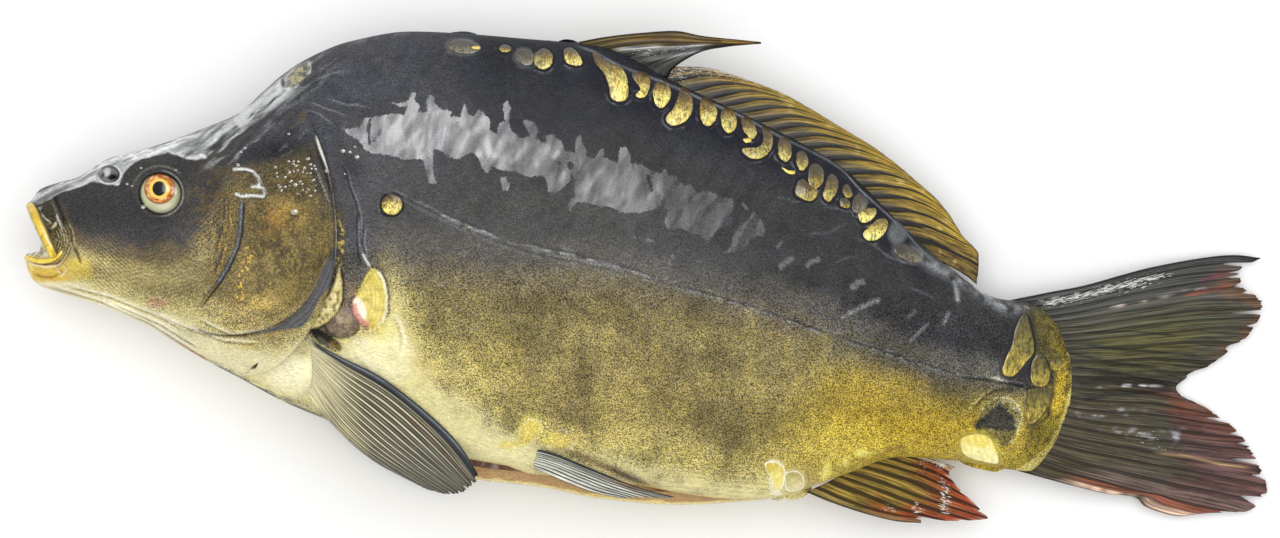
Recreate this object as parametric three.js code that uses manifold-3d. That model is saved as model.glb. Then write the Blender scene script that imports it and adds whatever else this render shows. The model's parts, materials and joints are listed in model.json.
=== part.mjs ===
// Whole raw mirror carp, gutted, lying on its right flank. Millimetres, +Z up.
//
// The fish is drawn in its own frame: x runs from the snout to the tail, y from
// belly to back, z from the right flank (down) to the left flank (up). The whole
// is then turned so that the line from snout to tail fork lies along X.

import * as THREE from 'three';
import { mergeVertices } from 'three/addons/utils/BufferGeometryUtils.js';
import Module from 'manifold-3d';

const wasm = await Module();
wasm.setup();

// ---------------------------------------------------------------- driving sizes
const TOTAL_LENGTH = 500;          // lips to the tips of the tail fin; the drawing is scaled to it
const AXIS_SLOPE = 7.45;           // degrees between the drawn x and the snout-fork line
const BODY_LENGTH = 423;           // drawn length, snout to the end of the fleshy tail root
const RING = 26;                   // corners of each ring of the body

// Profiles along the body as drawn, [x, value].
const BACK_LINE = [[1.4, 24.5], [3.4, 28.3], [7.1, 32.3], [12.8, 34.3], [21.7, 36.7], [34.6, 44.3],
  [50.8, 48.5], [70.9, 55.6], [87, 62.4], [95.9, 70.4], [104.3, 77.6], [115.1, 84.5], [131.2, 90.9],
  [155.2, 94.8], [207.1, 91.4], [231, 89], [263, 73.8], [295.1, 58.9], [327.4, 41.4], [351.8, 18.5],
  [372.1, 0.4], [392.6, -12.1], [404.1, -13.4], [414, -19.9], [419.8, -29.6]];
const BELLY_LINE = [[1.4, -0.4], [3.4, -4.2], [7.1, -7], [12.8, -9], [21.7, -11.6], [34.6, -15.8],
  [50.8, -23.2], [70.9, -35.2], [87, -43.6], [104.3, -52.8], [115.1, -57.5], [131.2, -63.9],
  [155.2, -74.7], [181.2, -84.2], [207.1, -87.2], [231, -92], [263, -94.6], [295.1, -92.6],
  [327.4, -83.2], [351.8, -75.7], [372.1, -77.1], [392.6, -80.5], [404.1, -81.8], [414, -72.6], [419.8, -61.2]];
const HALF_WIDTH = [[1.4, 4.5], [3.4, 8], [7.1, 11], [12.8, 14], [21.7, 17], [34.6, 21], [50.8, 26],
  [70.9, 31], [87, 34], [104.3, 36], [131.2, 38.3], [181.2, 41.5], [207.1, 41.8], [231, 40.8],
  [263, 37.5], [295.1, 33], [327.4, 27.3], [351.8, 22.3], [372.1, 18.2], [392.6, 13.8], [404.1, 9.6],
  [414, 5.2], [419.8, 2.8]];
// Height of the middle plane above the table: thick trunk high, tail sagging down.
const MID_PLANE = [[0, 30], [34.6, 32.3], [87, 35.2], [131.2, 37.3], [181.2, 38.7], [207.1, 38.7],
  [263, 35.3], [295.1, 31.8], [327.4, 27.3], [372.1, 20.4], [404.1, 15.5], [423, 12]];
// Share of the height at which the body is widest, from the belly up.
const WIDEST = [[0, 0.6], [34.6, 0.53], [70.9, 0.48], [131.2, 0.49], [231, 0.47], [351.8, 0.47], [423, 0.5]];
// Roundness of the rings: 2 is an ellipse, less is ridged, more is boxy.
const BACK_ROUND = [[0, 2], [34.6, 2.5], [50.8, 2.5], [104.3, 2.1], [155.2, 1.85], [263, 1.85], [392.6, 2]];
const BELLY_ROUND = [[0, 2], [131.2, 2], [207.1, 2.2], [295.1, 2.2], [392.6, 2]];
const SNOUT_POLE = { x: 0.8, y: 12.4 };
const TAIL_POLE = { x: BODY_LENGTH, y: -45 };

// Gill cover: its free rear edge bows backwards and stands off the shoulder.
const GILL_EDGE = 128.6;           // rearmost point of the edge
const GILL_BOW = 30;               // how far the edge runs forward towards throat and nape
const GILL_LID = 2.4;              // step from lid to shoulder
const GILL_SWELL = 46;             // length over which the lid rises
const SHOULDER_GROOVE = 1.0;

const EYE = { x: 57.8, y: 29.8, radius: 9.2, deep: 6, proud: 2.6 };
const NOSTRIL = { x: 36.2, y: 37.1, radius: 4.2, depth: 2.6 };

const LIP = 2.1;                   // radius of the lips
const GAPE_DEPTH = 16;             // how far the throat goes in behind the lips
const BARBEL = { length: 8, thick: 1.1 };

// Belly cut: between x of the first and the last pair the upper wall ends this much
// higher than the lower one.
const CUT_STEP = [[143, 0], [160, 5.5], [181, 8.2], [193, 7.6], [204, 5.2], [216, 6.2], [245, 7.6], [261, 5.6], [281, 2.2], [300, 0]];
const WALL = 4.5;                  // belly wall at the cut
const CAVITY_DEPTH = 24;           // of the empty belly above the cut
const CAVITY_GAP = 7;              // between the two belly walls

const RAY = 0.45;                  // how much a fin ray stands out of the web on each face

// ---------------------------------------------------------------- small helpers
// Smooth curve through [x, value] pairs that never overshoots them.
function profile(points) {
  const n = points.length;
  const slope = points.slice(1).map((p, i) => (p[1] - points[i][1]) / (p[0] - points[i][0]));
  const tangent = points.map((p, i) => {
    if (i === 0) return slope[0];
    if (i === n - 1) return slope[n - 2];
    const a = slope[i - 1], b = slope[i];
    return a * b <= 0 ? 0 : (2 * a * b) / (a + b);
  });
  return (x) => {
    if (x <= points[0][0]) return points[0][1];
    if (x >= points[n - 1][0]) return points[n - 1][1];
    let i = 0;
    while (x > points[i + 1][0]) i += 1;
    const w = points[i + 1][0] - points[i][0], t = (x - points[i][0]) / w, t2 = t * t, t3 = t2 * t;
    return (2 * t3 - 3 * t2 + 1) * points[i][1] + (t3 - 2 * t2 + t) * w * tangent[i]
      + (-2 * t3 + 3 * t2) * points[i + 1][1] + (t3 - t2) * w * tangent[i + 1];
  };
}
const smooth = (a, b, x) => { const t = Math.min(1, Math.max(0, (x - a) / (b - a))); return t * t * (3 - 2 * t); };
const mix = (a, b, t) => a + (b - a) * t;
const curve = (points) => new THREE.SplineCurve(points.map(([x, y]) => new THREE.Vector2(x, y)));
const spread = (from, to, count) => Array.from({ length: count }, (_, i) => mix(from, to, (i + 1) / count));

const back = profile(BACK_LINE), belly = profile(BELLY_LINE), width = profile(HALF_WIDTH);
const middle = profile(MID_PLANE), widest = profile(WIDEST);
const backRound = profile(BACK_ROUND), bellyRound = profile(BELLY_ROUND), cutStep = profile(CUT_STEP);
const SLIT_FROM = CUT_STEP[0][0], SLIT_TO = CUT_STEP[CUT_STEP.length - 1][0];

// A closed three.js geometry as a solid, its faces turned outwards.
function solid(geometry) {
  const g = geometry.clone();
  g.deleteAttribute('normal');
  g.deleteAttribute('uv');
  const merged = mergeVertices(g, 1e-4);
  const keep = [];
  const index = merged.index.array;
  for (let i = 0; i < index.length; i += 3) {
    const [a, b, c] = [index[i], index[i + 1], index[i + 2]];
    if (a !== b && b !== c && c !== a) keep.push(a, b, c);
  }
  const at = (i) => new THREE.Vector3().fromBufferAttribute(merged.attributes.position, i);
  let volume = 0;
  for (let i = 0; i < keep.length; i += 3) volume += at(keep[i]).dot(at(keep[i + 1]).cross(at(keep[i + 2])));
  if (volume < 0) for (let i = 0; i < keep.length; i += 3) [keep[i], keep[i + 1]] = [keep[i + 1], keep[i]];
  const made = new wasm.Manifold(new wasm.Mesh({
    numProp: 3,
    vertProperties: Float32Array.from(merged.attributes.position.array),
    triVerts: Uint32Array.from(keep),
  }));
  return made;
}

// ---------------------------------------------------------------- body
// Outer half-width of the skin above and below the middle plane.
function ring(x) {
  const y1 = back(x), y0 = belly(x), yc = mix(y0, y1, widest(x));
  return { yc, up: y1 - yc, down: yc - y0, h: width(x), z: middle(x), nu: backRound(x), nd: bellyRound(x) };
}
// Height of the flank over the point x, y: side +1 is the left flank, -1 the right.
function flank(x, y, side = 1) {
  const r = ring(x);
  const c = y >= r.yc ? (y - r.yc) / r.up : (r.yc - y) / r.down;
  const n = y >= r.yc ? r.nu : r.nd;
  return r.z + side * r.h * Math.pow(Math.max(0, 1 - Math.pow(Math.min(1, c), n)), 1 / n);
}

function bodyGeometry() {
  const stations = [0, ...spread(0, 8, 4), ...spread(8, 34, 7), ...spread(34, 80, 8),
    ...spread(80, GILL_EDGE - 0.5, 7), GILL_EDGE + 0.8, GILL_EDGE + 4, GILL_EDGE + 8,
    ...spread(GILL_EDGE + 8, 232, 12), ...spread(232, 392, 18), ...spread(392, 420, 6), BODY_LENGTH];
  const g = new THREE.SphereGeometry(1, RING, stations.length - 1);
  const p = g.attributes.position;
  const bowAt = (x) => GILL_BOW * (1 - smooth(0, x < GILL_EDGE ? 96 : 70, Math.abs(x - GILL_EDGE)));
  for (let i = 0; i < p.count; i += 1) {
    const column = Math.floor(i / (RING + 1)), corner = (i % (RING + 1)) % RING;
    const x0 = stations[column];
    if (column === 0 || column === stations.length - 1) {
      const pole = column === 0 ? SNOUT_POLE : TAIL_POLE;
      p.setXYZ(i, pole.x, pole.y, middle(pole.x));
      continue;
    }
    const angle = (corner / RING) * Math.PI * 2;
    const c = -Math.cos(angle), s = Math.sin(angle);
    // The rings near the gills bow along the edge of the lid.
    const x = Math.max(1, x0) - bowAt(x0) * Math.min(c * c, 0.6);
    const r = ring(x);
    const n = c >= 0 ? r.nu : r.nd;
    const yy = Math.sign(c) * Math.pow(Math.abs(c), 2 / n), zz = Math.sign(s) * Math.pow(Math.abs(s), 2 / n);
    const onSide = smooth(0.25, 0.7, Math.abs(s));
    const lid = x0 < GILL_EDGE ? GILL_LID * smooth(GILL_EDGE - GILL_SWELL, GILL_EDGE - 1, x0)
      : -SHOULDER_GROOVE * (1 - smooth(GILL_EDGE + 3, GILL_EDGE + 9, x0));
    const h = r.h + lid * onSide;
    const z = r.z + h * zz;
    const down = r.down - (s > 0.02 ? cutStep(x) : 0);
    p.setXYZ(i, x, r.yc + (c >= 0 ? r.up : down) * yy, Math.max(0, z));
  }
  return g;
}

// ---------------------------------------------------------------- head parts
function eyes(body) {
  let out = body;
  for (const side of [1, -1]) {
    const z = flank(EYE.x, EYE.y, side);
    const ball = new THREE.SphereGeometry(1, 16, 10);
    ball.scale(EYE.radius, EYE.radius, EYE.deep);
    ball.translate(EYE.x, EYE.y, z + side * (EYE.proud - EYE.deep));
    out = out.add(solid(ball));
    const pit = new THREE.SphereGeometry(NOSTRIL.radius, 10, 6);
    pit.scale(1, 0.85, 1);
    pit.translate(NOSTRIL.x, NOSTRIL.y, flank(NOSTRIL.x, NOSTRIL.y, side) + side * (NOSTRIL.radius - NOSTRIL.depth));
    out = out.subtract(solid(pit));
  }
  return out;
}

function mouth(body) {
  // The open gape, seen from the side as a notch between the lips.
  const notch = new THREE.Shape();
  notch.moveTo(-8, 24.5);
  notch.lineTo(0.6, 21.6);
  notch.splineThru([[3, 20], [5.2, 16.2], [7.6, 12], [8.9, 9.6], [7.1, 7.8], [4.2, 7.2], [0.6, 5.9]]
    .map(([x, y]) => new THREE.Vector2(x, y)));
  notch.lineTo(-8, 5.2);
  const cut = new THREE.ExtrudeGeometry(notch, { depth: 60, bevelEnabled: false, curveSegments: 14 });
  cut.translate(0, 0, 0.5);
  const throat = new THREE.SphereGeometry(1, 16, 10);
  throat.scale(GAPE_DEPTH, 6.4, 7.6);
  throat.translate(6.5, 13.5, middle(6));
  let out = body.subtract(solid(cut)).subtract(solid(throat));
  // Lips: a roll around each half of the gape, from the left corner round to the right.
  const roll = (side, front) => {
    const half = [[11.6, side.corner, 12], [8.6, mix(side.corner, side.tip, 0.42), 12.2], [4.4, mix(side.corner, side.tip, 0.8), 9.6],
      [front + 0.8, side.tip, 5]];
    const points = [...half.map(([x, y, w]) => new THREE.Vector3(x, y, middle(x) + w)),
      new THREE.Vector3(front, side.tip + side.lift, middle(0)),
      ...half.map(([x, y, w]) => new THREE.Vector3(x, y, middle(x) - w)).reverse()];
    const section = new THREE.Shape().absarc(0, 0, LIP, 0, Math.PI * 2);
    return new THREE.ExtrudeGeometry(section, { steps: 14, curveSegments: 3, bevelEnabled: false, extrudePath: new THREE.CatmullRomCurve3(points) });
  };
  out = out.add(solid(roll({ corner: 6.6, tip: 24.2, lift: 0.9 }, 2.2)));
  out = out.add(solid(roll({ corner: 5.4, tip: 3.4, lift: 0.2 }, 1.4)));
  return out;
}

function barbels(body) {
  let out = body;
  for (const side of [1, -1]) {
    const cone = new THREE.ConeGeometry(BARBEL.thick, BARBEL.length, 8);
    cone.rotateZ(THREE.MathUtils.degToRad(142));
    cone.translate(13.6, 16.6, flank(14.6, 18, side) + side * 0.1);
    out = out.add(solid(cone));
  }
  return out;
}

// ---------------------------------------------------------------- belly cut
function bellyCut(body) {
  // A block that follows the edge of the upper wall from end to end: from low to high
  // about the middle plane, and by the distances inner and outer from the edge.
  const block = (low, high, inner, outer) => {
    const g = new THREE.BoxGeometry(1, 1, 1, 18, 1, 1);
    const p = g.attributes.position;
    for (let i = 0; i < p.count; i += 1) {
      const s = p.getX(i) + 0.5, x = mix(SLIT_FROM, SLIT_TO, s), edge = belly(x) + cutStep(x);
      p.setXYZ(i, x, edge + (p.getY(i) > 0 ? inner(s) : outer), middle(x) + (p.getZ(i) > 0 ? high : low));
    }
    return solid(g);
  };
  // The upper wall ends short of the lower one, so the inside of the lower wall shows.
  const window = block(-WALL, 30, () => 0.6, -24);
  // The empty belly between the two walls.
  const cavity = block(-WALL, CAVITY_GAP - WALL, (s) => CAVITY_DEPTH * Math.pow(Math.sin(Math.PI * mix(0.04, 0.97, s)), 0.7), -1.5);
  return body.subtract(window).subtract(cavity);
}

// ---------------------------------------------------------------- fins
// A fin is a web with rays. s runs across the rays, t along them; base and edge are
// curves in the middle plane, bow bends the rays sideways, z gives its height.
function fin({ base, edge, rays, along, z, bow = () => 0, length = () => 1, thick = [3, 0.9], even = 2 }) {
  const across = rays * even;
  const g = new THREE.BoxGeometry(1, 1, 1, across, along, 1);
  const p = g.attributes.position;
  const b = curve(base), e = curve(edge);
  for (let i = 0; i < p.count; i += 1) {
    const s = p.getX(i) + 0.5, t = p.getY(i) + 0.5, side = p.getZ(i) > 0 ? 1 : -1;
    const from = b.getPointAt(s), to = e.getPointAt(s);
    const reach = t * length(s);
    const dx = to.x - from.x, dy = to.y - from.y, d = Math.hypot(dx, dy);
    const off = bow(s) * 4 * reach * (1 - reach);
    const crest = even === 1 ? 0.5 : Math.abs(Math.cos(Math.PI * rays * s));
    const half = mix(thick[0], thick[1], Math.pow(t, 0.6)) / 2 + RAY * crest * Math.min(1, 4 * t) * (1 - 0.6 * t);
    const x = from.x + dx * reach - (dy / d) * off, y = from.y + dy * reach + (dx / d) * off;
    p.setXYZ(i, x, y, z(s, reach, x, y) + side * half);
  }
  return solid(g);
}

const split = (s, at, wide, deep) => 1 - deep * Math.max(0, 1 - Math.abs(s - at) / wide);

function fins() {
  const list = [];
  // Tail fin: two lobes, deeply forked, frayed along the edge.
  const ragged = (s) => split(s, 0.12, 0.035, 0.1) * split(s, 0.3, 0.03, 0.08) * split(s, 0.62, 0.03, 0.14)
    * split(s, 0.78, 0.03, 0.1) * split(s, 0.93, 0.03, 0.07);
  const caudal = {
    base: [[395.4, -13.4], [407.6, -24.7], [412.4, -47], [407.6, -69.3], [397, -81]],
    edge: [[500.5, 3.7], [496, -4], [501.3, -11], [497, -22], [485, -34], [465, -48.5], [478, -56], [490, -68], [498, -80],
      [500.9, -90], [490.7, -99]],
  };
  list.push(fin({ ...caudal, rays: 15, along: 5, thick: [4, 1],
    bow: (s) => mix(4.2, -3, s), length: ragged,
    z: (s, t) => mix(13.5, 3.0, smooth(0, 1, t)) + 1.2 * Math.sin(7 * s) * t * t }));
  // Back fin: the long first rays are folded back over the rest.
  list.push(fin({
    base: [[217.5, 87.5], [236, 84], [253, 74]], edge: [[294.6, 90.9], [295.4, 90.3], [294.8, 89.6]],
    rays: 5, along: 5, thick: [2.6, 1], bow: (s) => mix(4.2, -4.2, s),
    z: (s, t, x) => middle(x) + 2.2 * t - 1.5 * t * t }));
  list.push(fin({
    base: [[248, 76], [271, 64], [287.9, 56], [314.9, 42], [336.3, 26], [353.8, 9], [377, -9.5], [386.5, -14]],
    edge: [[262, 81], [287.9, 76.5], [309.6, 67.8], [333.8, 53.9], [358.1, 36.2], [373.3, 21.4], [381.5, 7], [383.3, -6.1]],
    rays: 14, along: 3, thick: [3, 0.9], bow: () => 1,
    z: (s, t, x) => middle(Math.min(x, 386)) - 3.2 * t }));
  // Anal fin.
  list.push(fin({
    base: [[313, -86], [327.5, -79], [339.6, -73], [354.5, -69]],
    edge: [[360.7, -102.7], [372.4, -101.9], [387.4, -100.7], [379.7, -92.6], [372.4, -84], [374.4, -79.7]],
    rays: 6, along: 4, thick: [3, 0.9], bow: (s) => mix(-3.2, 0, s), length: (s) => split(s, 0.42, 0.1, 0.08),
    z: (s, t, x) => middle(Math.min(x, 360)) - 8 * t }));
  // Paired fins: the left ones lie over the flank, the right ones under it.
  const pectoral = {
    base: [[119.4, -27.2], [120.6, -39], [120.2, -50.8]],
    edge: [[181.8, -80.2], [180.5, -86], [172.5, -88.7], [158.8, -84.5], [144, -77], [131, -67.8]],
    bow: (s) => mix(3.2, 1.2, s),
  };
  list.push(fin({ ...pectoral, rays: 11, along: 5, thick: [2.6, 0.9],
    z: (s, t, x, y) => mix(flank(118, -34) - 1.6, 0, smooth(0, 0.25, t)) + smooth(0, 0.25, t) * (54 + 11 * (1 - t) + 4 * (1 - s)) }));
  list.push(fin({ ...pectoral, rays: 7, along: 4, thick: [2.6, 0.9], even: 1,
    edge: pectoral.edge.map(([x, y]) => [x - 4, y + 3.5]),
    z: (s, t) => mix(flank(118, -34, -1) + 1.6, 9, smooth(0, 0.4, t)) - 4.4 * t }));
  const pelvic = {
    base: [[200, -70.5], [203, -74], [204.5, -77.4]], edge: [[260.2, -90.9], [252, -92.2], [238, -90.8], [226, -88.6]],
    bow: (s) => mix(1.6, -0.6, s),
  };
  list.push(fin({ ...pelvic, rays: 7, along: 4, thick: [2.4, 0.9],
    z: (s, t) => mix(flank(201, -73.5) - 1.4, flank(201, -73.5) + 1.2, smooth(0, 0.2, t)) - 16 * t * t }));
  list.push(fin({ ...pelvic, rays: 5, along: 3, thick: [2.4, 0.9], even: 1,
    base: pelvic.base.map(([x, y]) => [x, y + 1]),
    edge: pelvic.edge.map(([x, y]) => [x - 4, y + 3]),
    z: (s, t) => mix(flank(201, -73.5, -1) + 1.4, 12, smooth(0, 0.3, t)) - 9.5 * t }));
  return list;
}

// ---------------------------------------------------------------- assembly
let fish = solid(bodyGeometry());
fish = mouth(eyes(fish));
fish = barbels(fish);
fish = bellyCut(fish);
for (const one of fins()) fish = fish.add(one);

// The largest connected piece is the fish; crumbs of the cuts are dropped.
fish = fish.decompose().sort((a, b) => b.volume() - a.volume())[0];

const mesh = fish.getMesh();
const geometry = new THREE.BufferGeometry();
const corners = new Float32Array(mesh.numVert * 3);
for (let i = 0; i < mesh.numVert; i += 1) {
  for (let k = 0; k < 3; k += 1) corners[3 * i + k] = mesh.vertProperties[mesh.numProp * i + k];
}
geometry.setAttribute('position', new THREE.BufferAttribute(corners, 3));
geometry.setIndex(new THREE.BufferAttribute(Uint32Array.from(mesh.triVerts), 1));
geometry.rotateZ(THREE.MathUtils.degToRad(AXIS_SLOPE));
geometry.computeBoundingBox();
const drawn = geometry.boundingBox.max.x - geometry.boundingBox.min.x;
geometry.scale(TOTAL_LENGTH / drawn, TOTAL_LENGTH / drawn, TOTAL_LENGTH / drawn);
geometry.computeBoundingBox();
const box = geometry.boundingBox;
geometry.translate(-(box.min.x + box.max.x) / 2, -(box.min.y + box.max.y) / 2, -box.min.z);
geometry.computeVertexNormals();

const skin = new THREE.MeshStandardMaterial({ color: 0x6f6644, roughness: 0.28, metalness: 0 });
const fishMesh = new THREE.Mesh(geometry, skin);
fishMesh.name = 'fish';

const group = new THREE.Group();
group.add(fishMesh);
export default group;
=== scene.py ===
import bpy, math, json
import numpy as np
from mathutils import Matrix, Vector
from mathutils.bvhtree import BVHTree

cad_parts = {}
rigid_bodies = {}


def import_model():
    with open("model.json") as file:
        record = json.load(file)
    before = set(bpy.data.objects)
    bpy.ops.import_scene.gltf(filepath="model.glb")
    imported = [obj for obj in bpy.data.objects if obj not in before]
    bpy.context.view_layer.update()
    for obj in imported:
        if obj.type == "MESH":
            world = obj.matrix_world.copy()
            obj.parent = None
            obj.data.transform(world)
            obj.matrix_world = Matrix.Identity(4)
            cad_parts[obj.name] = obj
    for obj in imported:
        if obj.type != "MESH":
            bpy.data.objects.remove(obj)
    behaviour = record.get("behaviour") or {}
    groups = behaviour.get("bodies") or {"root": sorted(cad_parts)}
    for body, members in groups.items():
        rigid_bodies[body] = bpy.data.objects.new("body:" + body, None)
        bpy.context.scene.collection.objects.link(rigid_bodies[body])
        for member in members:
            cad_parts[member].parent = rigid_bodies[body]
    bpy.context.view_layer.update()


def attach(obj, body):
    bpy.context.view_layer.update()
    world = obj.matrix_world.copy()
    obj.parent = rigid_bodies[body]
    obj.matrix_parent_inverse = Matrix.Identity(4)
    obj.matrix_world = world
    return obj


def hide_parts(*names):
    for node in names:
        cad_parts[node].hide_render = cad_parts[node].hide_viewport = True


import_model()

# ------------------------------------------------------------------ frame and camera mapping
# Drawn millimetres: x snout to tail, y belly to back, z right flank to left flank.
SCALE, OFF_X, OFF_Y = 0.97730541, -252.64793, -31.38040
TILT = math.radians(7.45)
MM_PX, CAM_D, CAM_Z0 = 0.4, 1600.0, 35.0


def world(x, y, z):
    c, s = math.cos(TILT), math.sin(TILT)
    p = np.stack([x * c - y * s + OFF_X, x * s + y * c + OFF_Y, z + 0 * x], -1)
    return p * (SCALE / 1000.0)


def px(u, v, z):
    k = 1 - (z - CAM_Z0) / CAM_D
    return 247 + (u - 640) * MM_PX * k, (269 - v) * MM_PX * k


def to_px(x, y, z):
    k = 1 - (z - CAM_Z0) / CAM_D
    return 640 + (x - 247) / (MM_PX * k), 269 - y / (MM_PX * k)


# ------------------------------------------------------------------ small maths
def mix(a, b, t):
    return a + (b - a) * t


def smooth(a, b, x):
    t = np.clip((np.asarray(x, float) - a) / (b - a), 0, 1)
    return t * t * (3 - 2 * t)


def bump(x, at, wide):
    return np.exp(-((np.asarray(x, float) - at) / wide) ** 2)


def profile(points):
    xs = np.array([p[0] for p in points], float)
    ys = np.array([p[1] for p in points], float)
    d = np.diff(ys) / np.diff(xs)
    m = np.zeros(len(xs))
    m[0], m[-1] = d[0], d[-1]
    for i in range(1, len(xs) - 1):
        a, b = d[i - 1], d[i]
        m[i] = 0 if a * b <= 0 else 2 * a * b / (a + b)

    def f(x):
        x = np.clip(np.asarray(x, float), xs[0], xs[-1])
        i = np.clip(np.searchsorted(xs, x) - 1, 0, len(xs) - 2)
        w = xs[i + 1] - xs[i]
        t = (x - xs[i]) / w
        t2, t3 = t * t, t * t * t
        return ((2 * t3 - 3 * t2 + 1) * ys[i] + (t3 - 2 * t2 + t) * w * m[i]
                + (-2 * t3 + 3 * t2) * ys[i + 1] + (t3 - t2) * w * m[i + 1])
    return f


def spline2(points, n):
    """Centripetal-free Catmull-Rom through 2-D or 3-D points, n samples evenly along it."""
    p = np.array(points, float)
    q = np.vstack([2 * p[0] - p[1], p, 2 * p[-1] - p[-2]])
    out = []
    for i in range(1, len(q) - 2):
        t = np.linspace(0, 1, 24, endpoint=False)[:, None]
        a, b, c, d = q[i - 1], q[i], q[i + 1], q[i + 2]
        out.append(0.5 * ((2 * b) + (c - a) * t + (2 * a - 5 * b + 4 * c - d) * t ** 2
                          + (3 * b - a - 3 * c + d) * t ** 3))
    out = np.vstack(out + [p[-1:]])
    s = np.concatenate([[0], np.cumsum(np.linalg.norm(np.diff(out, axis=0), axis=1))])
    k = np.linspace(0, s[-1], n)
    return np.stack([np.interp(k, s, out[:, j]) for j in range(out.shape[1])], -1)


def seg_dist(u, v, pts):
    """Distance to a polyline, the share of its length at the nearest point, and the side."""
    pts = np.array(pts, float)
    ln = np.linalg.norm(np.diff(pts, axis=0), axis=1)
    cum = np.concatenate([[0], np.cumsum(ln)])
    best = np.full(np.shape(u), 1e9)
    par = np.zeros(np.shape(u))
    side = np.zeros(np.shape(u))
    for i in range(len(pts) - 1):
        a, b = pts[i], pts[i + 1]
        dx, dy = b - a
        t = np.clip(((u - a[0]) * dx + (v - a[1]) * dy) / (dx * dx + dy * dy), 0, 1)
        d = np.hypot(u - a[0] - t * dx, v - a[1] - t * dy)
        hit = d < best
        best = np.where(hit, d, best)
        par = np.where(hit, (cum[i] + t * ln[i]) / cum[-1], par)
        side = np.where(hit, np.sign(dx * (v - a[1]) - dy * (u - a[0])), side)
    return best, par, side


def inside(u, v, pts):
    """Signed distance to a closed outline, positive inside."""
    pts = [tuple(p) for p in pts]
    d, _, _ = seg_dist(u, v, pts + [pts[0]])
    odd = np.zeros(np.shape(u), bool)
    for (x1, y1), (x2, y2) in zip(pts, pts[1:] + pts[:1]):
        if y1 == y2:
            continue
        cross = ((y1 > v) != (y2 > v)) & (u < (x2 - x1) * (v - y1) / (y2 - y1) + x1)
        odd ^= cross
    return np.where(odd, d, -d)


def line(u, v, pts, wide, fade=0.12):
    """A stroke, 1 on the polyline, falling off with its width, thin at its ends."""
    d, t, _ = seg_dist(u, v, pts)
    end = smooth(0, fade, t) * smooth(1, 1 - fade, t) if fade else 1.0
    return np.exp(-(d / wide) ** 2) * end


def blob(u, v, cu, cv, ru, rv, turn=0.0):
    a = math.radians(turn)
    x, y = u - cu, v - cv
    p, q = x * math.cos(a) + y * math.sin(a), -x * math.sin(a) + y * math.cos(a)
    return np.exp(-((p / ru) ** 2 + (q / rv) ** 2))


def noise3(p, cell, seed=0):
    """Smooth value noise in -1..1 with cells of the given size."""
    q = p / cell
    i = np.floor(q).astype(np.int64)
    f = q - i
    f = f * f * f * (f * (f * 6 - 15) + 10)
    out = np.zeros(q.shape[:-1])
    for dx in (0, 1):
        for dy in (0, 1):
            for dz in (0, 1):
                h = ((i[..., 0] + dx) * 73856093) ^ ((i[..., 1] + dy) * 19349663) ^ ((i[..., 2] + dz) * 83492791) ^ (seed * 2654435761)
                h = (h ^ (h >> 13)) * 1274126177 & 0x7FFFFFFF
                h = (h ^ (h >> 16)) & 0xFFFF
                w = (f[..., 0] if dx else 1 - f[..., 0]) * (f[..., 1] if dy else 1 - f[..., 1]) * (f[..., 2] if dz else 1 - f[..., 2])
                out += w * (h / 32767.5 - 1)
    return out


def fbm(p, cell, octaves=3, seed=0):
    out, amp, tot = 0, 1.0, 0.0
    for o in range(octaves):
        out = out + amp * noise3(p, cell / 2 ** o, seed + 17 * o)
        tot += amp
        amp *= 0.5
    return out / tot


def lin(r, g, b):
    c = np.array([r, g, b], float) / 255.0
    return np.where(c <= 0.04045, c / 12.92, ((c + 0.055) / 1.055) ** 2.4)


def over(col, rgb, m):
    m = np.clip(m, 0, 1)[..., None]
    return col * (1 - m) + lin(*rgb) * m


# ------------------------------------------------------------------ body form
BACK_LINE = [(1.4, 24.5), (3.4, 28.3), (7.1, 32.3), (12.8, 34.3), (21.7, 36.7), (34.6, 44.3), (50.8, 48.5), (70.9, 55.6),
             (87, 62.4), (95.9, 70.4), (104.3, 77.6), (115.1, 84.5), (131.2, 90.9), (155.2, 94.8), (207.1, 91.4), (231, 89),
             (263, 73.8), (295.1, 58.9), (327.4, 41.4), (351.8, 18.5), (372.1, 0.4), (392.6, -12.1), (404.1, -13.4),
             (414, -19.9), (419.8, -29.6)]
BELLY_LINE = [(1.4, -0.4), (3.4, -4.2), (7.1, -7), (12.8, -9), (21.7, -11.6), (34.6, -15.8), (50.8, -23.2), (70.9, -35.2),
              (87, -43.6), (104.3, -52.8), (115.1, -57.5), (131.2, -63.9), (155.2, -74.7), (181.2, -84.2), (207.1, -87.2),
              (231, -92), (263, -94.6), (295.1, -92.6), (327.4, -83.2), (351.8, -75.7), (372.1, -77.1), (392.6, -80.5),
              (404.1, -81.8), (414, -72.6), (419.8, -61.2)]
HALF_WIDTH = [(1.4, 4.5), (3.4, 8), (7.1, 11), (12.8, 14), (21.7, 17), (34.6, 21), (50.8, 26), (70.9, 31), (87, 34),
              (104.3, 36), (131.2, 38.3), (181.2, 41.5), (207.1, 41.8), (231, 40.8), (263, 37.5), (295.1, 33),
              (327.4, 27.3), (351.8, 22.3), (372.1, 18.2), (392.6, 13.8), (404.1, 9.6), (414, 5.2), (419.8, 2.8)]
MID_PLANE = [(0, 30), (34.6, 32.3), (87, 35.2), (131.2, 37.3), (181.2, 38.7), (207.1, 38.7), (263, 35.3), (295.1, 31.8),
             (327.4, 27.3), (372.1, 20.4), (404.1, 15.5), (423, 12)]
WIDEST = [(0, 0.6), (34.6, 0.53), (70.9, 0.48), (131.2, 0.49), (231, 0.47), (351.8, 0.47), (423, 0.5)]
BACK_ROUND = [(0, 2), (34.6, 2.5), (50.8, 2.5), (104.3, 2.1), (155.2, 1.85), (263, 1.85), (392.6, 2)]
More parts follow.
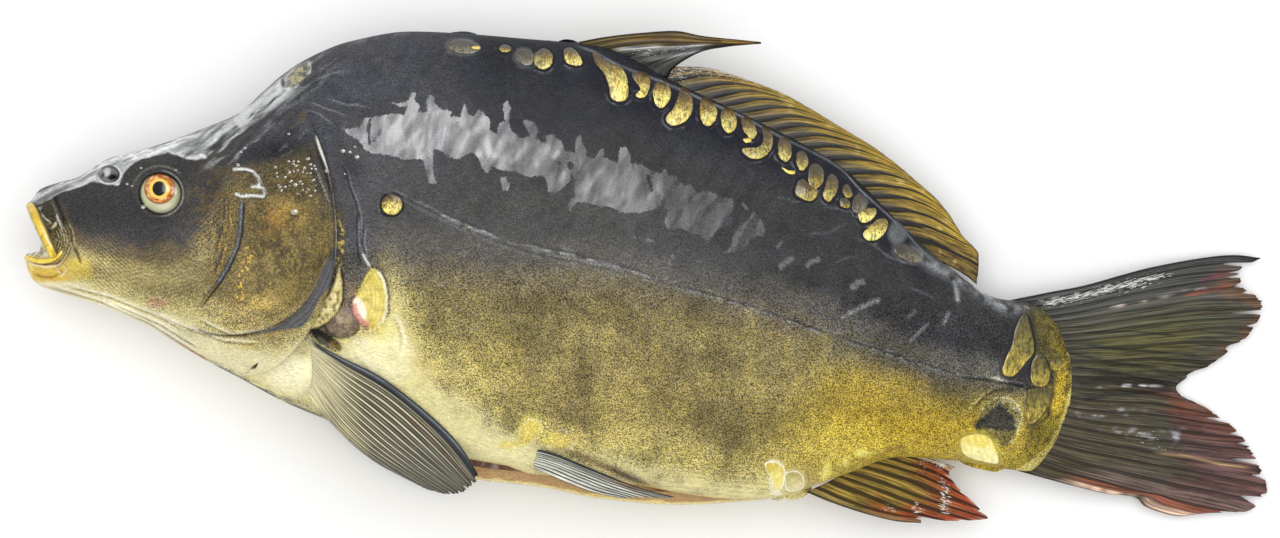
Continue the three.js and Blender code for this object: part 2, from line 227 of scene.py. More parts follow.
BELLY_ROUND = [(0, 2), (131.2, 2), (207.1, 2.2), (295.1, 2.2), (392.6, 2)]
CUT_STEP = [(143, 0), (160, 5.5), (181, 8.2), (193, 7.6), (204, 5.2), (216, 6.2), (245, 7.6), (261, 5.6), (281, 2.2), (300, 0)]
SNOUT = (0.8, 12.4)
TAIL_END = (423.0, -45.0)
back, belly, halfw = profile(BACK_LINE), profile(BELLY_LINE), profile(HALF_WIDTH)
middle, widest = profile(MID_PLANE), profile(WIDEST)
back_n, belly_n, cut_step = profile(BACK_ROUND), profile(BELLY_ROUND), profile(CUT_STEP)
GILL = 128.6
LID = 2.4


def gap_open(x):
    """How far the two belly walls stand apart from the middle plane, 0 outside the cut."""
    return smooth(143, 158, x) * smooth(300, 282, x)


def lid_share(c):
    return smooth(0.66, 0.46, c) * smooth(-0.99, -0.75, c)


def bow(x0, c):
    w = 1 - smooth(0, np.where(x0 < GILL, 96, 70), np.abs(x0 - GILL))
    return w * np.where(c > 0, 29 * np.minimum(c * c, 0.62), 43 * c * c)


def flank(x, y, side=1):
    y1, y0 = back(x), belly(x)
    if side > 0:
        y0 = y0 + cut_step(x)
    yc = mix(belly(x), y1, widest(x))
    c = np.where(y >= yc, (y - yc) / (y1 - yc), (yc - y) / (yc - y0))
    n = np.where(y >= yc, back_n(x), belly_n(x))
    return middle(x) + side * halfw(x) * np.maximum(0, 1 - np.minimum(1, np.abs(c)) ** n) ** (1 / n)


def on_flank(u, v, side=1, lift=0.0):
    """The point of the flank that is seen at this pixel."""
    u, v = np.asarray(u, float), np.asarray(v, float)
    z = np.full(np.shape(u), 60.0)
    for _ in range(7):
        x, y = px(u, v, z)
        z = flank(x, y, 1)
    x, y = px(u, v, z)
    if side < 0:
        z = 2 * middle(x) - z
    return x, y, z + side * lift


def arc_angles(rows, aspect=0.46):
    """Angles from the back to the belly, evenly spread along a flat oval."""
    a = np.linspace(0, math.pi, 4001)
    d = np.sqrt(np.sin(a) ** 2 + (aspect * np.cos(a)) ** 2)
    s = np.concatenate([[0], np.cumsum((d[1:] + d[:-1]) / 2)])
    return np.interp(np.linspace(0, s[-1], rows), s, a)


# ------------------------------------------------------------------ meshes
def grid_faces(nc, nr, wrap=False):
    i = np.arange(nc - 1)[:, None]
    j = np.arange(nr if wrap else nr - 1)[None, :]
    j2 = (j + 1) % nr
    a, b = i * nr + j, i * nr + j2
    return np.stack([a + 0 * b, b, b + nr, a + nr], -1).reshape(-1, 4)


def make(name, verts, faces, mat, attrs=None, smooth_shade=True, normals=None, flip=False):
    """A mesh piece from arrays, in metres, with point attributes."""
    faces = np.asarray(faces)
    if flip:
        faces = faces[:, ::-1]
    me = bpy.data.meshes.new(name)
    verts = np.ascontiguousarray(verts.reshape(-1, 3), dtype=np.float32)
    n, k = faces.shape
    me.vertices.add(len(verts))
    me.vertices.foreach_set("co", verts.ravel())
    me.loops.add(n * k)
    me.loops.foreach_set("vertex_index", np.ascontiguousarray(faces, dtype=np.int32).ravel())
    me.polygons.add(n)
    me.polygons.foreach_set("loop_start", np.arange(0, n * k, k, dtype=np.int32))
    me.polygons.foreach_set("loop_total", np.full(n, k, dtype=np.int32))
    me.update(calc_edges=True)
    me.validate()
    me.polygons.foreach_set("use_smooth", np.full(len(me.polygons), smooth_shade, dtype=bool))
    for key, data in (attrs or {}).items():
        data = np.asarray(data, dtype=np.float32)
        if data.ndim >= 2 and data.shape[-1] == 3:
            data = data.reshape(-1, 3)
            rgba = np.concatenate([data, np.ones((len(data), 1), np.float32)], 1)
            at = me.color_attributes.new(key, "FLOAT_COLOR", "POINT")
            at.data.foreach_set("color", rgba.ravel())
        else:
            at = me.attributes.new(key, "FLOAT", "POINT")
            at.data.foreach_set("value", data.ravel())
    if normals is not None:
        me.normals_split_custom_set_from_vertices(np.asarray(normals, float).reshape(-1, 3).tolist())
    me.materials.append(mat)
    ob = bpy.data.objects.new(name, me)
    bpy.context.scene.collection.objects.link(ob)
    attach(ob, "root")
    return ob


def grid_normals(p):
    """Vertex normals of a (columns, rows, 3) grid, by area, pointing as cross(column, row)."""
    e1, e2 = p[1:, :-1] - p[:-1, :-1], p[:-1, 1:] - p[:-1, :-1]
    f1, f2 = p[1:, 1:] - p[:-1, 1:], p[1:, 1:] - p[1:, :-1]
    fn = np.cross(e1, e2) + np.cross(f1, f2)
    n = np.zeros_like(p)
    n[:-1, :-1] += fn
    n[1:, :-1] += fn
    n[:-1, 1:] += fn
    n[1:, 1:] += fn
    return n


def unit(n):
    return n / np.maximum(1e-12, np.linalg.norm(n, axis=-1, keepdims=True))


# ------------------------------------------------------------------ materials
def nodes_of(name):
    m = bpy.data.materials.new(name)
    m.use_nodes = True
    nt = m.node_tree
    for n in list(nt.nodes):
        if n.type != "OUTPUT_MATERIAL":
            nt.nodes.remove(n)
    out = [n for n in nt.nodes if n.type == "OUTPUT_MATERIAL"][0]
    b = nt.nodes.new("ShaderNodeBsdfPrincipled")
    nt.links.new(b.outputs[0], out.inputs[0])
    return m, nt, b


class N:
    """Short names for building a node tree."""

    def __init__(self, nt):
        self.nt = nt
        tc = nt.nodes.new("ShaderNodeTexCoord")
        self.co = tc.outputs["Object"]

    def link(self, a, b):
        self.nt.links.new(a, b)

    def put(self, sock, val):
        if hasattr(val, "links") or isinstance(val, bpy.types.NodeSocket):
            self.link(val, sock)
        else:
            sock.default_value = val

    def attr(self, name, out="Fac"):
        n = self.nt.nodes.new("ShaderNodeAttribute")
        n.attribute_name = name
        return n.outputs[out]

    def math(self, op, a, b=0.0, c=0.0, clamp=False):
        n = self.nt.nodes.new("ShaderNodeMath")
        n.operation = op
        n.use_clamp = clamp
        self.put(n.inputs[0], a)
        self.put(n.inputs[1], b)
        self.put(n.inputs[2], c)
        return n.outputs[0]

    def noise(self, scale, detail=2.0, rough=0.5, dist=0.0, co=None, out="Fac", lac=2.0):
        n = self.nt.nodes.new("ShaderNodeTexNoise")
        self.link(co or self.co, n.inputs["Vector"])
        n.inputs["Scale"].default_value = scale
        n.inputs["Detail"].default_value = detail
        n.inputs["Roughness"].default_value = rough
        n.inputs["Distortion"].default_value = dist
        return n.outputs[out]

    def voronoi(self, scale, feature="F1", co=None, out="Distance", rand=1.0):
        n = self.nt.nodes.new("ShaderNodeTexVoronoi")
        n.feature = feature
        self.link(co or self.co, n.inputs["Vector"])
        n.inputs["Scale"].default_value = scale
        n.inputs["Randomness"].default_value = rand
        return n.outputs[out]

    def ramp(self, fac, lo, hi, a=0.0, b=1.0, kind="SMOOTHSTEP"):
        n = self.nt.nodes.new("ShaderNodeMapRange")
        n.interpolation_type = kind
        n.clamp = True
        self.put(n.inputs["Value"], fac)
        n.inputs["From Min"].default_value = lo
        n.inputs["From Max"].default_value = hi
        self.put(n.inputs["To Min"], a)
        self.put(n.inputs["To Max"], b)
        return n.outputs[0]

    def mixc(self, fac, a, b, mode="MIX"):
        n = self.nt.nodes.new("ShaderNodeMix")
        n.data_type = "RGBA"
        n.blend_type = mode
        n.clamp_factor = True
        self.put(n.inputs[0], fac)
        self.put(n.inputs[6], a)
        self.put(n.inputs[7], b)
        return n.outputs[2]

    def scale_co(self, sx, sy, sz, turn=0.0):
        n = self.nt.nodes.new("ShaderNodeMapping")
        n.inputs["Scale"].default_value = (sx, sy, sz)
        n.inputs["Rotation"].default_value = (0, 0, turn)
        self.link(self.co, n.inputs["Vector"])
        return n.outputs[0]

    def bump(self, height, strength, distance, normal=None):
        n = self.nt.nodes.new("ShaderNodeBump")
        n.inputs["Strength"].default_value = strength
        n.inputs["Distance"].default_value = distance
        self.put(n.inputs["Height"], height)
        if normal is not None:
            self.link(normal, n.inputs["Normal"])
        return n.outputs[0]


def rgba(r, g, b):
    return (*[float(c) for c in lin(r, g, b)], 1.0)


def scaled(k, colour, factor):
    n = k.nt.nodes.new("ShaderNodeVectorMath")
    n.operation = "SCALE"
    k.link(colour, n.inputs[0])
    k.put(n.inputs["Scale"], factor)
    return n.outputs[0]


def combine(k, x, y, z=0.0):
    n = k.nt.nodes.new("ShaderNodeCombineXYZ")
    for i, val in enumerate((x, y, z)):
        k.put(n.inputs[i], val)
    return n.outputs[0]


def skin_material():
    m, nt, b = nodes_of("wet_skin")
    k = N(nt)
    paint = k.attr("paint", "Color")
    speck = k.attr("speck")
    film_d = k.attr("film")
    # Fine dark, wriggling pigment between bright grains, with cool and warm flecks.
    grain = k.noise(1900, 1.0, 0.6, 0.3)
    worm = k.noise(1350, 1.0, 0.6, 1.0)
    blot = k.noise(140, 3.0, 0.65, 0.6)
    tint = k.noise(1800, 1.0, 0.5, 0.0)
    fine = k.ramp(grain, 0.36, 0.64, 0.42, 1.58)
    worms = k.ramp(k.math("ABSOLUTE", k.math("SUBTRACT", worm, 0.5)), 0.0, 0.06, 0.54, 1.14)
    mott = k.ramp(blot, 0.3, 0.7, 0.86, 1.14)
    tone = k.math("MULTIPLY", k.math("MULTIPLY", fine, worms), mott)
    tone = k.math("ADD", 1.0, k.math("MULTIPLY", k.math("SUBTRACT", tone, 1.09), speck))
    tone = k.math("MAXIMUM", tone, 0.10)
    hatch = k.noise(1.0, 2.0, 0.6, 0.4, co=k.scale_co(420, 1500, 900, 0.35))
    hatch = k.ramp(hatch, 0.3, 0.7, 0.86, 1.14)
    tone = k.math("MULTIPLY", tone, hatch)
    col = scaled(k, paint, tone)
    col = k.mixc(k.math("MULTIPLY", k.ramp(tint, 0.54, 0.62), speck), col, (0.84, 0.93, 1.30, 1.0), "MULTIPLY")
    col = k.mixc(k.math("MULTIPLY", k.ramp(tint, 0.46, 0.38), speck), col, (1.10, 1.03, 0.70, 1.0), "MULTIPLY")
    k.link(col, b.inputs["Base Color"])
    # Wet film with a ragged edge.
    rag = k.math("ADD", k.math("MULTIPLY", k.math("SUBTRACT", k.noise(1.0, 3.0, 0.65, 0.5, co=k.scale_co(520, 260, 300, 0.1)), 0.5), 5.0),
                 k.math("MULTIPLY", k.math("SUBTRACT", k.noise(1100, 2.0, 0.6), 0.5), 4.0))
    film = k.ramp(k.math("ADD", film_d, rag), -0.45, 0.45)
    holes = k.ramp(k.noise(330, 2.0, 0.6, 0.4), 0.22, 0.245)
    ripple = k.ramp(k.noise(1.0, 2.0, 0.55, 0.6, co=k.scale_co(260, 90, 120, -0.55)), 0.34, 0.66, 0.62, 1.18)
    film = k.math("MULTIPLY", k.math("MULTIPLY", film, holes), ripple)
    coat = k.math("MAXIMUM", k.math("MULTIPLY", film, k.attr("filmw")), k.attr("wet"))
    k.link(coat, b.inputs["Coat Weight"])
    b.inputs["Coat Roughness"].default_value = 0.08
    b.inputs["Coat IOR"].default_value = 1.6
    b.inputs["IOR"].default_value = 1.38
    b.inputs["Specular IOR Level"].default_value = 0.07
    rough = k.ramp(grain, 0.3, 0.7, 0.46, 0.62)
    k.link(rough, b.inputs["Roughness"])
    h = k.math("ADD", k.math("MULTIPLY", grain, 0.6), k.math("MULTIPLY", k.noise(2100, 1.0), 0.4))
    h = k.math("ADD", h, k.math("MULTIPLY", hatch, 1.4))
    h = k.math("MULTIPLY", h, k.math("SUBTRACT", 1.0, k.math("MULTIPLY", film, 0.85)))
    k.link(k.bump(h, 0.4, 0.0003), b.inputs["Normal"])
    return m


def fin_material():
    """A web with rays at whole numbers of the attribute rs, finer lines between, streaks along them."""
    m, nt, b = nodes_of("fin_web")
    k = N(nt)
    rs, rt = k.attr("rs"), k.attr("rt")
    web, ray = k.attr("paint", "Color"), k.attr("paint2", "Color")
    wob = k.noise(1.0, 2.0, 0.5, 0.0, co=combine(k, k.math("MULTIPLY", rs, 0.9), k.math("MULTIPLY", rt, 2.6)))
    r2 = k.math("ADD", rs, k.math("MULTIPLY", k.math("SUBTRACT", wob, 0.5), 0.34))
    d0 = k.math("PINGPONG", r2, 0.5)
    rw = k.attr("rw")
    lo = k.math("MULTIPLY", rw, 0.34)
    e = k.math("DIVIDE", k.math("SUBTRACT", d0, lo), k.math("ADD", k.math("MULTIPLY", rw, 0.3), 0.02))
    main = k.math("SUBTRACT", 1.0, k.ramp(e, 0.0, 1.0))
    sub = k.math("PINGPONG", k.math("MULTIPLY", r2, 4.0), 0.5)
    sub = k.ramp(sub, 0.0, 0.22, 0.0, 1.0)
    streak = k.noise(1.0, 4.0, 0.68, 0.0, co=combine(k, k.math("MULTIPLY", rs, 6.0), k.math("MULTIPLY", rt, 3.4), 3.1))
    st = k.ramp(streak, 0.37, 0.63, 0.40, 1.52)
    web = scaled(k, web, k.math("MULTIPLY", st, k.math("ADD", k.math("MULTIPLY", sub, 0.42), 0.66)))
    ray = scaled(k, ray, k.ramp(streak, 0.3, 0.7, 0.74, 1.26))
    col = k.mixc(main, web, ray)
    rim = k.math("MULTIPLY", k.ramp(e, 0.7, 1.5), k.ramp(e, 4.6, 2.4))
    col = k.mixc(k.math("MULTIPLY", rim, k.attr("re")), col, rgba(30, 31, 34))
    # Pale flecks, partly loose slime and partly painted glints (painted highlights).
    fl = k.noise(1.0, 3.0, 0.7, 0.3, co=combine(k, k.math("MULTIPLY", rs, 6.5), k.math("MULTIPLY", rt, 24.0), 9.0))
    fl = k.ramp(k.math("ADD", fl, k.math("MULTIPLY", k.attr("fleck"), 0.26)), 0.72, 0.75)
    fl = k.math("MULTIPLY", fl, k.ramp(k.attr("fleck"), 0.02, 0.2))
    col = k.mixc(k.math("MULTIPLY", fl, 0.85), col, rgba(226, 226, 220))
    k.link(col, b.inputs["Base Color"])
    k.link(k.ramp(streak, 0.3, 0.7, 0.34, 0.54), b.inputs["Roughness"])
    b.inputs["Coat Weight"].default_value = 0.10
    b.inputs["Coat Roughness"].default_value = 0.14
    b.inputs["Specular IOR Level"].default_value = 0.14
    h = k.math("ADD", k.math("MULTIPLY", main, 0.8), k.math("ADD", k.math("MULTIPLY", streak, 0.9), k.math("MULTIPLY", sub, 0.35)))
    k.link(k.bump(h, 0.7, 0.00045), b.inputs["Normal"])
    return m


def scale_material():
    """Bony plate: growth rings by the attribute rt, streaks down from its front edge."""
    m, nt, b = nodes_of("gold_scale")
    k = N(nt)
    rs, rt = k.attr("rs"), k.attr("rt")
    paint = k.attr("paint", "Color")
    streak = k.noise(1.0, 3.0, 0.7, 0.3, co=combine(k, k.math("MULTIPLY", rs, 1.5), k.math("MULTIPLY", rt, 2.0)))
    blot = k.noise(700, 3.0, 0.7, 0.6)
    rings = k.math("PINGPONG", k.math("ADD", k.math("MULTIPLY", rt, 16.0), k.math("MULTIPLY", streak, 2.0)), 0.5)
    crack = k.math("ADD", k.math("MULTIPLY", streak, 0.55), k.math("MULTIPLY", blot, 0.45))
    dark = k.ramp(k.math("ADD", crack, k.math("MULTIPLY", k.attr("dark"), 0.15)), 0.52, 0.57)
    tone = k.math("MULTIPLY", k.ramp(streak, 0.34, 0.66, 0.36, 1.50), k.ramp(rings, 0.0, 0.5, 0.90, 1.06))
    tone = k.math("MULTIPLY", tone, k.ramp(blot, 0.34, 0.62, 0.60, 1.26))
    keep = k.ramp(k.attr("dark"), -1.1, -0.7, 0.22, 1.0)
    tone = k.math("ADD", 1.0, k.math("MULTIPLY", k.math("SUBTRACT", tone, 1.0), keep))
    col = scaled(k, paint, tone)
    col = k.mixc(k.math("MULTIPLY", k.math("MULTIPLY", dark, keep), 0.88), col, rgba(50, 38, 14))
    k.link(col, b.inputs["Base Color"])
    k.link(k.ramp(blot, 0.3, 0.7, 0.24, 0.42), b.inputs["Roughness"])
    b.inputs["Coat Weight"].default_value = 0.35
    b.inputs["Coat Roughness"].default_value = 0.08
    b.inputs["Specular IOR Level"].default_value = 0.3
    h = k.math("ADD", k.math("MULTIPLY", streak, 0.8), k.math("MULTIPLY", rings, 0.6))
    k.link(k.bump(h, 0.6, 0.0003), b.inputs["Normal"])
    return m


def plain_wet(name, speckle=0.2, rough=(0.3, 0.45), coat=0.6, scale=900, bump_m=0.0002, coat_rough=0.08, spec=0.5):
    m, nt, b = nodes_of(name)
    k = N(nt)
    paint = k.attr("paint", "Color")
    grain = k.noise(scale, 2.0, 0.6, 0.3)
    tone = k.ramp(grain, 0.3, 0.7, 1 - speckle, 1 + speckle)
    n = nt.nodes.new("ShaderNodeVectorMath")
    n.operation = "SCALE"
    k.link(paint, n.inputs[0])
    k.link(tone, n.inputs["Scale"])
    k.link(n.outputs[0], b.inputs["Base Color"])
    k.link(k.ramp(k.noise(scale * 0.6, 2.0), 0.3, 0.7, rough[0], rough[1]), b.inputs["Roughness"])
    b.inputs["Coat Weight"].default_value = coat
    b.inputs["Coat Roughness"].default_value = coat_rough
    b.inputs["Specular IOR Level"].default_value = spec
    k.link(k.bump(grain, 0.4, bump_m), b.inputs["Normal"])
    return m


MAT_SKIN = skin_material()
MAT_FIN = fin_material()
MAT_SCALE = scale_material()
MAT_EYE = plain_wet("eye_ball", 0.03, (0.2, 0.26), 0.35, 1600, 0.00001, 0.02, 0.2)
MAT_DROP = plain_wet("standing_drop", 0.02, (0.02, 0.03), 1.0, 1200, 0.0, 0.02, 1.0)
MAT_LIP = plain_wet("lip_skin", 0.14, (0.3, 0.42), 0.25, 1200, 0.0002, 0.08, 0.5)
MAT_FLESH = plain_wet("belly_lining", 0.18, (0.28, 0.42), 0.7, 420, 0.0004, 0.1, 0.5)


# ------------------------------------------------------------------ paint of the skin
GILL_LINE = [(317, 136), (324, 154), (333, 180), (337, 207), (337, 243), (335, 270), (326, 296), (310, 329), (295, 345), (265, 364), (235, 368)]
PLATE_LINE = [(335, 244), (328, 257), (321, 272), (314, 289), (305, 303), (295, 313), (284, 321), (268, 329), (244, 335), (222, 336), (205, 333), (192, 326)]
PREOP = [(242, 198), (241.5, 214), (240, 234), (237, 247), (232, 259), (226, 271), (216, 286), (207, 297), (199, 309)]
MAXILLA = [(53, 192), (57, 204), (62, 216), (67, 230), (73, 244), (79, 258), (82, 266)]
RIM_LIGHT = [(317, 134), (321, 147), (327, 162), (332, 176), (335, 190), (337.5, 212), (338.5, 236), (338, 254), (336.5, 268)]
DARK_EDGE = [(316, 140), (321, 158), (327, 178), (332, 195), (335, 212), (336, 232), (335.5, 250), (333, 266)]
CRESCENT = [(336, 242), (338, 254), (336.5, 270), (331, 285), (320, 298), (313, 312), (307, 322), (300, 328), (286, 329.5), (268, 332.5),
            (246, 337), (268, 330), (284, 322), (295, 314), (305, 304), (314, 290), (321, 273), (328, 258)]
MEMBRANE = [(339, 266), (342.5, 282), (342.5, 299), (338, 312), (328, 322), (318, 328), (308, 330), (312, 318), (319, 305), (329, 295), (335, 282)]
BASE_SCALE = [(372, 268), (380, 272), (385, 282), (387.5, 296), (387, 311), (383, 322), (376, 326.5), (368, 326), (360, 320), (354, 310), (353, 301),
              (357, 294), (362, 285), (366, 275)]
PATCH = [(339, 127), (350, 129), (360, 127), (363, 118), (369, 118), (380, 116), (392, 113), (404, 115), (407, 107), (398, 106), (391, 103), (402, 103),
         (409, 99), (412, 92), (416, 94), (414, 101), (420, 105), (418, 112), (427, 112), (427, 100), (429, 94), (434, 96), (435, 105), (442, 109),
         (452, 112), (450, 117), (460, 117), (465, 103), (467, 112), (474, 118), (477, 110), (483, 111), (490, 121), (490, 131), (497, 134), (499, 123),
         (505, 122), (503, 103), (508, 101), (511, 107), (509, 120), (512, 131), (520, 138), (530, 136), (526, 128), (522, 121), (527, 119), (535, 123),
         (538, 132), (535, 138), (546, 143), (546, 136), (553, 134), (561, 141), (565, 151), (575, 152), (576, 137), (581, 135), (583, 144), (587, 149),
         (586, 157), (594, 158), (599, 150), (605, 149), (603, 157), (617, 162), (620, 148), (626, 147), (631, 155), (630, 163), (642, 164), (650, 170),
         (661, 174), (665, 168), (668, 175), (676, 176), (684, 186), (690, 184), (697, 193), (708, 190), (722, 197), (733, 198), (734, 207), (730, 215),
         (734, 222), (726, 229), (718, 229), (712, 237), (706, 241), (700, 235), (690, 233), (682, 228), (668, 229), (664, 222), (668, 210), (663, 204),
         (652, 210), (640, 213), (628, 213), (620, 212), (611, 207), (600, 206), (588, 203), (578, 201), (570, 210), (568, 204), (575, 196), (575, 182),
         (572, 173), (569, 182), (562, 188), (555, 194), (549, 193), (547, 182), (543, 176), (530, 177), (514, 172), (500, 170), (492, 166), (487, 174),
         (482, 168), (478, 157), (470, 152), (460, 159), (450, 157), (440, 151), (433, 148), (434, 176), (436, 184), (429, 184), (425, 168), (423, 159),
         (402, 159), (388, 155), (371, 153), (363, 147), (357, 139), (347, 134)]
DRIP = [(722, 253), (731, 247), (733, 236), (739, 227), (747, 221), (753, 212), (758, 215), (764, 225), (766, 237), (757, 236), (750, 240), (744, 249), (736, 252)]
BITS = [[(500, 178), (505, 176), (510, 184), (508, 191), (502, 190)], [(637, 235), (646, 238), (657, 242), (650, 245), (640, 241)],
        [(676, 250), (684, 247), (686, 252), (678, 255)], [(362, 119), (367, 119), (366, 132), (362, 130)]]


def stroke(col, u, v, pts, wide, rgb, a=0.8, fade=0.12):
    return over(col, rgb, a * line(u, v, pts, wide, fade))


def seen(x, y, z):
    """Place of a vertex on the drawn side view: the right flank takes the look of the left one."""
    zm = middle(x)
    return to_px(x, y, zm + np.abs(z - zm))


BACK_FIN_FOOT = profile([(560, 40), (593, 50), (615, 62), (643, 73), (676, 86), (709, 101), (742, 115), (776, 133), (809, 149), (839, 166), (862, 190),
                         (883, 209), (905, 230), (921, 248), (938, 262), (962, 279), (980, 288)])
TOP_LINE = profile([(28, 205), (36, 194), (54, 184), (78, 177), (100, 165), (114, 157), (140, 152), (180, 140), (200, 130), (240, 113), (260, 95),
                    (280, 78), (300, 64), (320, 51), (340, 44), (360, 39), (400, 32), (440, 30), (480, 36), (540, 40), (578, 42)])
TAIL_RIM = profile([(298, 1020), (306, 1036), (320, 1056), (344, 1071), (369, 1074), (390, 1071), (410, 1066), (430, 1058), (444, 1050), (458, 1036),
                    (470, 1016), (478, 1004)])
LATERAL = [(345, 170), (408, 200), (461, 227), (520, 250), (610, 270), (700, 291), (780, 317), (850, 341), (960, 377), (1022, 386)]
SHOULDER = [[(340, 162), (346, 172), (349, 185), (355, 200), (359, 215), (360, 240), (360, 270)], [(357, 214), (357, 240), (359, 262)],
            [(364, 224), (362, 243), (366, 257)]]
THROAT = [[(38, 284), (70, 293), (100, 302), (150, 324), (206, 359)], [(195, 318), (214, 328), (232, 336), (262, 333), (285, 327)],
          [(150, 312), (185, 328), (225, 342), (262, 345)], [(110, 303), (160, 325), (204, 352)], [(60, 285), (110, 298), (160, 318), (190, 334)]]
GOLD_EDGE = profile([(300, 252), (380, 256), (450, 262), (520, 268), (600, 268), (680, 286), (760, 304), (820, 322), (880, 352),
                     (930, 372), (980, 388), (1010, 388), (1075, 370)])
PALE_EDGE = profile([(300, 312), (345, 316), (380, 330), (420, 348), (460, 376), (520, 420), (600, 440), (680, 450), (760, 462), (840, 466), (900, 474),
                     (960, 448), (1000, 466), (1075, 520)])


def painted_light_and_shade(col, u, v, spots):
    """Painted light and shade: lightens or darkens soft spots of the colour."""
    g = np.ones(np.shape(u))
    for cu, cv, ru, rv, a in spots:
        g = g + a * blob(u, v, cu, cv, ru, rv)
    return col * np.clip(g, 0.3, 2.0)[..., None]


def side_tone(u, v, q):
    """Base tones of the flank from the dark back to the pale belly."""
    d = v - GOLD_EDGE(u) + 9 * fbm(q, 26, 3, 5) + 5 * fbm(q, 7, 2, 9)
    dl = v - PALE_EDGE(u) + 8 * fbm(q, 20, 3, 15)
    col = plain_col(np.shape(u), (47, 48, 53))
    col = over(col, (60, 60, 62), smooth(-170, -100, d))
    col = over(col, (77, 76, 75), smooth(-110, -60, d) * smooth(760, 600, u))
    col = over(col, (96, 93, 88), smooth(-40, -10, d))
    col = over(col, (116, 107, 84), smooth(-12, 14, d))
    col = over(col, (140, 127, 84), smooth(10, 44, d))
    col = over(col, (154, 138, 86), smooth(44, 110, d))
    col = over(col, (176, 160, 98), smooth(-60, -20, dl) * smooth(560, 470, u))
    col = over(col, (190, 174, 106), smooth(-30, 4, dl))
    col = over(col, (214, 203, 146), smooth(4, 34, dl))
    col = over(col, (80, 80, 83), 0.85 * smooth(-40, -70, d) * smooth(520, 380, u))
    col = over(col, (186, 172, 112), 0.7 * blob(u, v, 452, 366, 26, 14, 40))
    # mottling, cool on the back and olive lower down
    blotch = fbm(q * np.array([1.6, 0.8, 1.0]), 15, 3, 57) * smooth(270, 310, v) * smooth(40, -10, dl) * smooth(-6, 26, d)
    col = over(col, (108, 96, 70), 0.45 * smooth(0.0, 0.4, blotch))
    col = over(col, (180, 164, 92), 0.3 * smooth(0.05, 0.4, -blotch))
    mot = fbm(q, 15, 3, 51)
    gold_zone = smooth(250, 300, v)
    col = col * (1 - 0.26 * smooth(0.08, 0.5, mot) * gold_zone + 0.12 * smooth(0.05, 0.5, -mot) * gold_zone)[..., None]
    col = col * (1 - 0.14 * smooth(0.1, 0.5, fbm(q, 5.5, 2, 53)))[..., None]
    dark_zone = smooth(280, 200, v)
    col = col * (1 + 0.20 * dark_zone * fbm(q, 12, 3, 55) + 0.16 * dark_zone * fbm(q, 3.2, 2, 56))[..., None]
    # painted light and shade: soft lighter and darker spots over the flank
    col = painted_light_and_shade(col, u, v, [(520, 408, 44, 28, -0.06), (760, 430, 54, 28, -0.40), (600, 358, 40, 22, 0.12), (680, 412, 30, 18, -0.2), (600, 310, 30, 18, -0.12), (690, 308, 34, 14, -0.2), (838, 408, 36, 20, -0.31), (690, 358, 62, 26, -0.18), (762, 288, 46, 13, -0.34),
                            (520, 312, 46, 20, -0.14), (455, 262, 50, 14, -0.12), (380, 110, 44, 18, -0.22), (450, 110, 40, 14, 0.2), (690, 258, 54, 13, 0.28),
                            (764, 260, 50, 12, 0.25), (450, 362, 32, 16, 0.26), (955, 362, 32, 12, 0.35), (290, 150, 30, 16, -0.42), (960, 420, 38, 26, -0.40), (320, 170, 16, 16, -0.42), (900, 350, 30, 22, -0.36), (600, 435, 30, 9, 0.12), (680, 485, 22, 8, 0.1), (450, 335, 34, 12, 0.12), (450, 408, 26, 14, -0.12)])
    blue = (smooth(190, 110, v) * smooth(-0.1, 0.45, fbm(q, 12, 2, 61)))[..., None]
    dim = (smooth(-24, -80, d) * smooth(330, 420, u))[..., None]
    return col * (1 + np.array([-0.08, -0.01, 0.11]) * blue) * (1 - np.array([0.075, 0.07, 0.10]) * dim)


def skin_paint(x, y, z, side, is_head):
    """Colour, speckle, film distance and wetness of the skin at each vertex."""
    u, v = seen(x, y, z)
    zm = middle(x)
    q = np.stack([x, y, (zm + np.abs(z - zm)) * side], -1)
    return (head_paint if is_head else trunk_paint)(u, v, q, x, y, side)


